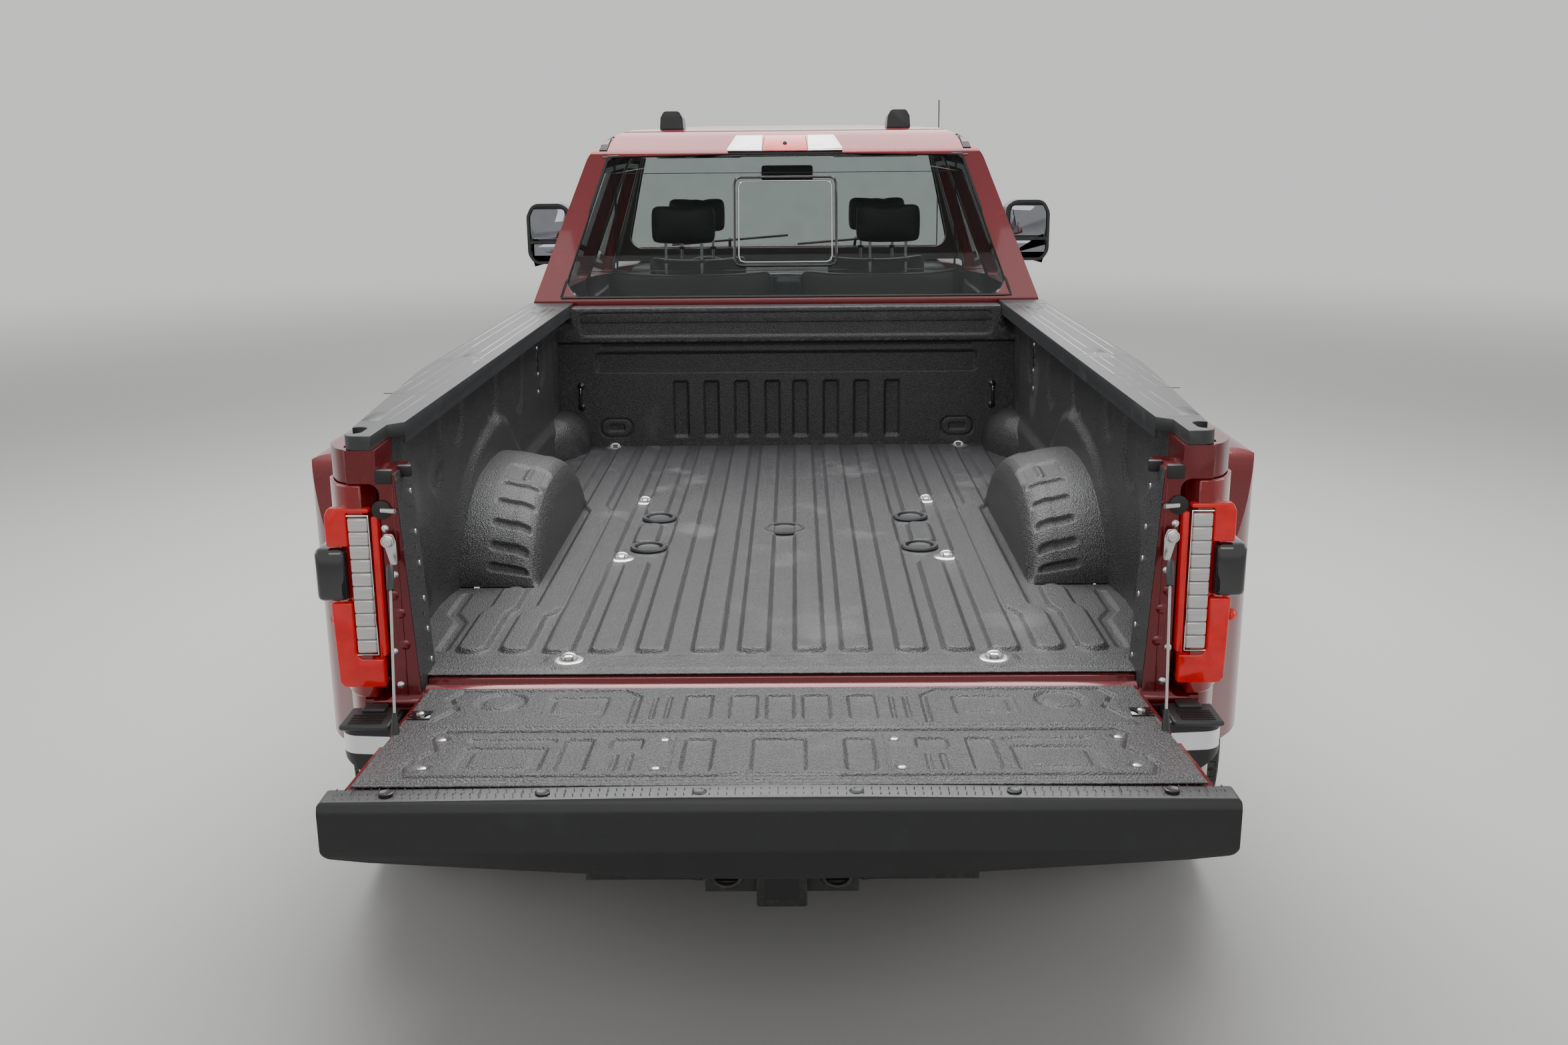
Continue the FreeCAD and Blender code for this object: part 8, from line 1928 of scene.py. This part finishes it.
        across = list(np.linspace(-0.62, 0.62, 25))
        roof = sheet(across, list(np.linspace(-0.18, 1.30, 28)), [], under)
        self.add("roof_lining", roof, "headliner", thick=0.004, sharp=60)
        humps = [Channel(((x, -0.2), (x, 1.5)), 0.012, 0.012, 0.03) for x in (-0.15, 0.15)]
        carpet = pressed_sheet((-0.80, 0.80), (-0.335, 1.66), humps, over, 0.08, 0.03)
        self.add("carpet_sheet", carpet, "carpet", thick=0.003, sharp=60)
        visors = []
        for x in (-0.42, 0.42):
            visors.append(rounded_box((x - 0.2, 1.16, 1.972), (x + 0.2, 1.31, 1.988), 0.007, 3))
        self.add("sun_visors", visors, "headliner")
        mirror = rounded_box((-0.125, 1.30, 1.86), (0.125, 1.325, 1.935), 0.012, 3)
        self.add("inner_mirror", mirror, "trim_plastic")


# Nose
@dataclass
class Nose(Assembly):
    """Hood, fenders, lamps, grille and front bumper."""

    band: tuple[float, float] = (0.575, 0.765)
    bars_start: float = 3.445
    plate: Outline = ((-0.155, 0.63), (0.155, 0.63), (0.155, 0.71), (-0.155, 0.71))

    def build(self) -> None:
        """Make every piece ahead of the cab."""
        shop = self.shop
        shop.soften("hood", "red_paint", "hood", 0.003)
        shop.soften("front_fenders", "red_paint", "chassis", 0.003)
        shop.soften("cowl", "trim_plastic", "chassis", 0.003)
        self.lamps()
        self.grille()
        self.bumper()

    def lamps(self) -> None:
        """Make the clear covers and the insides of the headlamps."""
        whole = self.shop.copied("headlamps")

        def outside(face: Face) -> bool:
            """Tell the cover's faces from the case's."""
            normal, way = face.normal, math.copysign(1.0, face.calc_center_median().x)
            return normal.y > 0.35 or (normal.x * way > 0.6)

        cover = kept(whole.copy(), outside)
        self.add("headlamp_covers", cover, "clear_lens", replaces=("headlamps",), thick=0.003, sharp=60)
        back = kept(whole, lambda face: not outside(face))
        self.add("headlamp_cases", back, "trim_plastic", sharp=40)
        optics, glow, amber = [], [], []
        for x, y, z, radius in ((0.72, 3.36, 1.19, 0.052), (0.86, 3.32, 1.19, 0.05),
                                (0.72, 3.36, 1.03, 0.05),
                                (0.86, 3.32, 1.03, 0.046)):
            optics.append(lathe([(-0.06, 0.0), (-0.06, radius * 0.8), (0.0, radius), (0.012, radius),
                                 (0.012, radius * 0.92),
                                 (-0.01, radius * 0.7), (-0.03, 0.0)], (x, y, z), (0.18, 1, 0), 32))
            glow.append(lathe([(-0.03, radius * 0.6), (-0.005, radius * 0.58), (0.008, radius * 0.4),
                               (0.013, 0.0)],
                              (x, y, z), (0.18, 1, 0), 24))
        amber.append(rounded_box((0.92, 3.19, 0.98), (0.965, 3.26, 1.22), 0.01, 2))
        self.add("headlamp_bowls", paired(optics), "reflector")
        self.add("headlamp_lenses", paired(glow), "frosted_lens")
        self.add("headlamp_markers", paired(amber), "amber_lens")

    def grille(self) -> None:
        """Dress the grille and close it with a dark mesh."""
        bars = self.shop.copied("grille")
        painted(bars, lambda face: face.calc_center_median().y > self.bars_start)
        self.add("grille_bars", bars, "chrome_plate", replaces=("grille",), bevel=0.002,
                      more=("gloss_black",))
        rows = []
        for level in np.linspace(0.88, 1.255, 26):
            rows.append(rounded_box((-0.60, 3.404, level - 0.0025), (0.60, 3.412, level + 0.0025), 0.001, 1))
        self.add("grille_rows", rows, "gloss_black")

    def bumper(self) -> None:
        """Dress the bumper bar and set its lamps, hooks and air opening."""
        shop = self.shop
        bar = shop.copied("front_bumper")
        for level in self.band:
            split_at(bar, (0, 0, level), UP)
        painted(bar, lambda face: self.band[0] < face.calc_center_median().z < self.band[1])
        self.add("front_bumper_bar", bar, "chrome_plate", replaces=("front_bumper",), bevel=0.004,
                 more=("trim_plastic",))
        skin = Skin(shop.frame, "front_bumper")
        dark, lamps, steel = [], [], []
        # The dark plate over the air opening is painted shade standing in for the opening.
        corners = [(-0.42, 0.60), (0.42, 0.60), (0.46, 0.68), (0.40, 0.735), (-0.40, 0.735), (-0.46, 0.68)]
        dark.append(outline_plate(corners, upright, 3.55, 3.5905, 0.02, 0.002))
        for way in SIDES:
            place = skin.hit((way * 0.78, 4.2, 0.67), BACK)
            dark.append(lathe([(-0.02, 0.0), (-0.02, 0.055), (0.003, 0.055), (0.004, 0.045), (0.001, 0.04),
                               (0.001, 0.0)],
                              tuple(place), (0.3 * way, 1, 0), 32))
            lamps.append(lathe([(-0.01, 0.036), (0.002, 0.035), (0.006, 0.02), (0.007, 0.0)], tuple(place),
                               (0.3 * way, 1, 0), 24))
            steel.append(tube([(way * 0.55, 3.54, 0.60), (way * 0.55, 3.575, 0.60),
                               (way * 0.55, 3.583, 0.575),
                               (way * 0.55, 3.575, 0.55), (way * 0.55, 3.54, 0.55)], 0.0085))
        plate = outline_plate(self.plate, upright, 3.588, 3.5915, 0.008, 0.0008)
        self.add("front_bumper_openings", dark, "gloss_black")
        self.add("fog_lamps", lamps, "frosted_lens")
        self.add("front_hooks", steel, "chassis_paint")
        self.add("front_plate_holder", plate, "trim_plastic")


# Tail
@dataclass
class Tail(Assembly):
    """Rear bumper with its pads and bright band, and the receiver hitch."""

    band: tuple[float, float] = (0.800, 0.840)
    band_start: float = 0.4
    plate: Outline = ((-0.155, 0.665), (0.155, 0.665), (0.155, 0.74), (-0.155, 0.74))

    def build(self) -> None:
        """Make every piece below the tailgate."""
        shop = self.shop
        bar = shop.copied("rear_bumper")
        for level in self.band:
            split_at(bar, (0, 0, level), UP)

        def bright(face: Face) -> bool:
            """Tell the bright band's faces."""
            middle = face.calc_center_median()
            return self.band[0] < middle.z < self.band[1] and abs(middle.x) > self.band_start

        painted(bar, bright)
        self.add("rear_bumper_bar", bar, "chrome_plate", replaces=("rear_bumper",), bevel=0.003,
                 more=("trim_plastic",))
        pads = []
        for way in SIDES:
            low, high = sorted((way * 0.808, way * 0.914))
            pads.append(rounded_box((low, -3.150, 0.858), (high, -3.047, 0.8705), 0.006, 3))
            low, high = sorted((way * 0.835, way * 0.885))
            pads.append(rounded_box((low, -3.08, 0.868), (high, -3.045, 0.879), 0.004, 3))
        self.add("rear_bumper_pads", pads, "cap_plastic")
        level = 0.8715
        ribs = [rounded_box((way * 0.862 - 0.035, y, level - 0.002),
                            (way * 0.862 + 0.035, y + 0.004, level + 0.001), 0.0008)
                for way in SIDES for y in np.arange(-3.14, -3.09, 0.009)]
        self.add("rear_bumper_treads", ribs, "trim_plastic")
        shop.soften("hitch", "chassis_paint", "chassis", 0.003)
        rims = []
        for way in SIDES:
            rims.append(tube([(way * 0.118 + 0.032 * math.cos(a), -3.125, 0.512 + 0.026 * math.sin(a))
                              for a in np.linspace(0, 2 * math.pi, 17)], 0.006, False, 2))
        collar = rounded_box((-0.054, -3.164, 0.458), (0.054, -3.148, 0.566), 0.006, 3)
        # The dark square on the receiver's end is painted shade standing in for its open mouth.
        bore = rounded_box((-0.038, -3.1645, 0.474), (0.038, -3.15, 0.55), 0.002, 1)
        self.add("hitch_rings", rims + [collar], "chassis_paint")
        self.add("hitch_bore", bore, "soft_rubber")
        plate = outline_plate(self.plate, upright, -3.112, -3.1085, 0.006, 0.0006)
        self.add("rear_plate", plate, "reflector")


# Wheels
@dataclass
class Wheels(Assembly):
    """Tyres with blocked treads on pierced metal rims."""

    radius: float = 0.4
    tread_base: float = 0.386
    shoulder: float = 0.09
    slope: float = 0.75
    rim_share: float = 0.9
    pitches: int = 52
    rows: tuple[Point, ...] = (
        (-0.106, -0.0693, 0.0), (-0.0603, -0.0261, 0.5), (-0.0171, 0.0171, 0.0), (0.0261, 0.0603, 0.5),
        (0.0693, 0.106, 0.0),
    )
    profile: Outline = (
        (0.0826, 0.2164), (0.0826, 0.2304), (0.106, 0.2424), (0.110, 0.254), (0.1125, 0.256),
        (0.1135, 0.262),
        (0.1165, 0.272), (0.1165, 0.276), (0.1178, 0.277), (0.1198, 0.306), (0.120, 0.335), (0.1212, 0.337),
        (0.1212, 0.343), (0.1195, 0.346), (0.1165, 0.366), (0.108, 0.381), (0.094, 0.391), (0.05, 0.3912),
        (0.0, 0.3912),
    )
    blocks: Outline = ((0.04, 0.40), (0.48, 0.84))
    nuts: int = 8
    circle: float = 0.1
    spare_place: float = AXLE_REAR - 0.712

    def build(self) -> None:
        """Make all wheels."""
        for side, way in HANDS:
            self.wheel(f"wheel_front_{side}", [way * 0.905], AXLE_FRONT, way, way * 1.067, way * 1.105)
            self.wheel(f"wheels_rear_{side}", [way * 0.773, way * 1.081], AXLE_REAR, way, way * 0.955,
                       way * 1.117)
        self.spare()

    def tyre(self) -> Mesh:
        """Tyre about the X axis."""
        half = list(self.profile)
        whole = [(-x, r) for x, r in half] + [(x, r) for x, r in reversed(half[:-1])]
        carcass = lathe(whole, (0, 0, 0), (1, 0, 0), 72)
        tread = bmesh.new()
        pitch = 2 * math.pi / self.pitches
        for low, high, shift in self.rows:
            for start, end in self.blocks:
                block = bmesh.ops.create_cube(tread, size=2.0)["verts"]
                for vertex in block:
                    x = low if vertex.co.x < 0 else high
                    skew = 0.16 * (x - (low + high) / 2) / (high - low)
                    angle = pitch * ((start if vertex.co.y < 0 else end) + shift + skew)
                    drop = max(0.0, abs(x) - self.shoulder) * self.slope
                    r = self.radius - 0.0004 - drop if vertex.co.z > 0 else self.tread_base - drop
                    vertex.co = (x, r * math.cos(angle), r * math.sin(angle))
        bmesh.ops.spin(tread, geom=tread.verts[:] + tread.edges[:] + tread.faces[:], cent=(0, 0, 0),
                       axis=(1, 0, 0),
                       dvec=(0, 0, 0), angle=2 * math.pi * (self.pitches - 1) / self.pitches,
                       steps=self.pitches - 1,
                       use_merge=False, use_duplicate=True)
        bmesh.ops.recalc_face_normals(tread, faces=tread.faces)
        return joined([carcass, tread])

    def rim(self, node: str, reach: Callable[[Vector], float]) -> Mesh:
        """Copy a CAD wheel without its tyres, by the distance of its parts from the axle."""
        metal = self.shop.copied(node)
        tyres = []
        for group in islands(metal):
            farthest = max(reach(vertex.co) for face in group for vertex in face.verts)
            if farthest > self.radius * self.rim_share:
                tyres += group
        bmesh.ops.delete(metal, geom=tyres, context="FACES")
        return metal

    def wheel(self, node: str, places: Sequence[float], y: float, way: int, seat: float, tip: float) -> None:
        """Make one wheel or pair of wheels.

        Args:
            node: Name of the CAD node and body.
            places: Middles of the tyres across the truck.
            y: Place of the axle.
            way: Side of the truck.
            seat: Place of the nuts' seat.
            tip: Place of the hub's end.
        """
        tyres = []
        for x in places:
            tyre = self.tyre()
            bmesh.ops.translate(tyre, vec=(x, y, WHEEL_HEIGHT), verts=tyre.verts)
            tyres.append(tyre)
        self.add(f"{node}_tyres", tyres, "tyre_rubber", node, sharp=35)
        metal = self.rim(node, lambda place: math.hypot(place.y - y, place.z - WHEEL_HEIGHT))
        self.add(f"{node}_rim", metal, "wheel_metal", node, (node,), 0.0025)
        nuts = []
        for index in range(self.nuts):
            angle = 2 * math.pi * index / self.nuts
            place = (seat, y + self.circle * math.cos(angle), WHEEL_HEIGHT + self.circle * math.sin(angle))
            nuts.append(lathe([(0.0, 0.0), (0.0, 0.015), (0.003, 0.0155), (0.004, 0.0125), (0.020, 0.0125),
                               (0.025, 0.009), (0.026, 0.0)], place, (way, 0, 0), 6))
        cap = lathe([(-0.004, 0.0), (-0.004, 0.052), (0.003, 0.052), (0.006, 0.046), (0.008, 0.02),
                     (0.008, 0.0)],
                    (tip, y, WHEEL_HEIGHT), (way, 0, 0), 40)
        self.add(f"{node}_nuts", nuts + [cap], "chrome_plate", node, sharp=30)

    def spare(self) -> None:
        """Make the spare wheel under the bed."""
        tyre = self.tyre()
        turn = Matrix.Rotation(math.radians(-90), 4, "Y")
        bmesh.ops.transform(tyre, matrix=Matrix.Translation((0.0, self.spare_place, 0.492)) @ turn,
                            verts=tyre.verts)
        self.add("spare_tyre", tyre, "tyre_rubber", sharp=35)
        metal = self.rim("spare_wheel", lambda place: math.hypot(place.y - self.spare_place, place.x))
        self.add("spare_rim", metal, "chassis_paint", "chassis", ("spare_wheel",), 0.0025)


# Stage
@dataclass
class Stage:
    """Pale floor, soft lights and the camera."""

    lens: float = 33.29
    sensor: float = 36.0
    place: Point = (0.0365, -5.9356, 2.0193)
    yaw: float = math.radians(0.524)
    pitch: float = math.radians(14.513)
    roll: float = math.radians(-0.496)
    floor_colour: Colour = (0.62, 0.62, 0.61)
    sky_colour: Colour = (0.80, 0.80, 0.79)
    fade_start: float = 5.0
    fade_end: float = 20.0
    lamps: tuple[tuple[Point, Point, float, float, float], ...] = (
        ((0.0, 0.6, 5.4), (0.0, -0.6, 0.0), 5.0, 5.0, 560.0),
        ((-7.0, -2.0, 3.6), (0.0, -1.5, 1.0), 6.0, 4.0, 90.0),
        ((7.0, -2.0, 3.6), (0.0, -1.5, 1.0), 6.0, 4.0, 90.0),
        ((0.0, -9.0, 4.2), (0.0, -2.5, 0.9), 6.0, 3.0, 110.0),
        ((0.0, 9.5, 4.0), (0.0, 2.0, 1.0), 7.0, 3.0, 120.0),
    )

    def build(self) -> None:
        """Make floor, world, lights and camera."""
        self.floor()
        self.world()
        self.lights()
        self.camera()

    def floor(self) -> None:
        """Make the pale floor."""
        bm = bmesh.new()
        bmesh.ops.create_circle(bm, cap_ends=True, segments=64, radius=150.0)
        mesh = bpy.data.meshes.new("ground")
        bm.to_mesh(mesh)
        bm.free()
        ground = bpy.data.objects.new("ground", mesh)
        bpy.context.scene.collection.objects.link(ground)
        material = bpy.data.materials.new("ground")
        material.use_nodes = True
        tree = material.node_tree
        shader = tree.nodes["Principled BSDF"]
        shader.inputs["Base Color"].default_value = (*self.floor_colour, 1.0)
        shader.inputs["Roughness"].default_value = 0.5
        place = wired(tree, "TexCoord", {}).outputs["Object"]
        length = wired(tree, "VectorMath", {0: place}, operation="LENGTH").outputs["Value"]
        limits = {"From Min": self.fade_start, "From Max": self.fade_end, "Value": length}
        share = wired(tree, "MapRange", limits, interpolation_type="SMOOTHSTEP").outputs[0]
        glow = wired(tree, "Emission", {"Color": (*self.sky_colour, 1.0)}).outputs[0]
        blend = wired(tree, "MixShader", {"Fac": share, 1: shader.outputs[0], 2: glow})
        tree.links.new(blend.outputs[0], tree.nodes["Material Output"].inputs["Surface"])
        mesh.materials.append(material)

    def world(self) -> None:
        """Make the pale surroundings."""
        world = bpy.data.worlds.new("surroundings")
        world.use_nodes = True
        tree = world.node_tree
        back = tree.nodes["Background"]
        path = wired(tree, "LightPath", {}).outputs
        seen = wired(tree, "Math", {0: path["Is Camera Ray"]}, operation="MAXIMUM")
        shine = NodeKit.math(tree, "MAXIMUM", path["Is Glossy Ray"], path["Is Transmission Ray"])
        tree.links.new(shine, seen.inputs[1])
        strength = wired(tree, "MapRange", {"To Min": 0.35, "To Max": 1.0, "Value": seen.outputs[0]})
        tree.links.new(strength.outputs[0], back.inputs["Strength"])
        back.inputs["Color"].default_value = (*self.sky_colour, 1.0)
        bpy.context.scene.world = world

    def lights(self) -> None:
        """Make the soft lights."""
        for index, (place, aim, width, depth, power) in enumerate(self.lamps):
            data = bpy.data.lights.new(f"softbox_{index}", "AREA")
            data.shape = "RECTANGLE"
            data.size = width
            data.size_y = depth
            data.energy = power
            lamp = bpy.data.objects.new(f"softbox_{index}", data)
            lamp.location = place
            lamp.rotation_mode = "QUATERNION"
            lamp.rotation_quaternion = (Vector(aim) - Vector(place)).to_track_quat("-Z", "Y")
            bpy.context.scene.collection.objects.link(lamp)

    def camera(self) -> None:
        """Make the camera at the photograph's angle."""
        data = bpy.data.cameras.new("camera")
        data.lens = self.lens
        data.sensor_width = self.sensor
        data.clip_end = 200.0
        forward = Vector((-math.sin(self.yaw) * math.cos(self.pitch),
                          math.cos(self.yaw) * math.cos(self.pitch),
                          -math.sin(self.pitch)))
        right = Vector((math.cos(self.yaw), math.sin(self.yaw), 0.0))
        up = right.cross(forward)
        cosine, sine = math.cos(self.roll), math.sin(self.roll)
        turned = (cosine * right + sine * up, -sine * right + cosine * up, -forward)
        camera = bpy.data.objects.new("camera", data)
        camera.matrix_world = Matrix.Translation(self.place) @ Matrix(turned).transposed().to_4x4()
        bpy.context.scene.collection.objects.link(camera)
        bpy.context.scene.camera = camera


def dress_the_rest(shop: Shop) -> None:
    """Give the plain CAD nodes their finishes, and softened edges to those that show them."""
    shop.dress("chassis_paint", "knuckle_left", "knuckle_right", "tie_rod", "wheel_liners")
    plan = {"chassis_paint": ("frame", "front_axle", "rear_axle", "suspension", "fuel_tank"),
            "cast_metal": ("engine_block", "driveline", "radiator"), "bare_steel": ("exhaust",),
            "trim_plastic": ("running_boards",)}
    for finish, nodes in plan.items():
        for node in nodes:
            shop.soften(node, finish, "chassis", 0.003)


def main() -> None:
    """Build the truck's looks in order."""
    logging.basicConfig(level=logging.INFO, format="%(name)s: %(message)s")
    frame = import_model()
    shop = Shop(frame)
    dress_the_rest(shop)
    Stage().build()
    for assembly in (Bed, Tailgate, TailLamps, Tail, Cab, Seats, Interior, Nose, Wheels):
        assembly(shop).build()


if __name__ == "__main__":
    main()
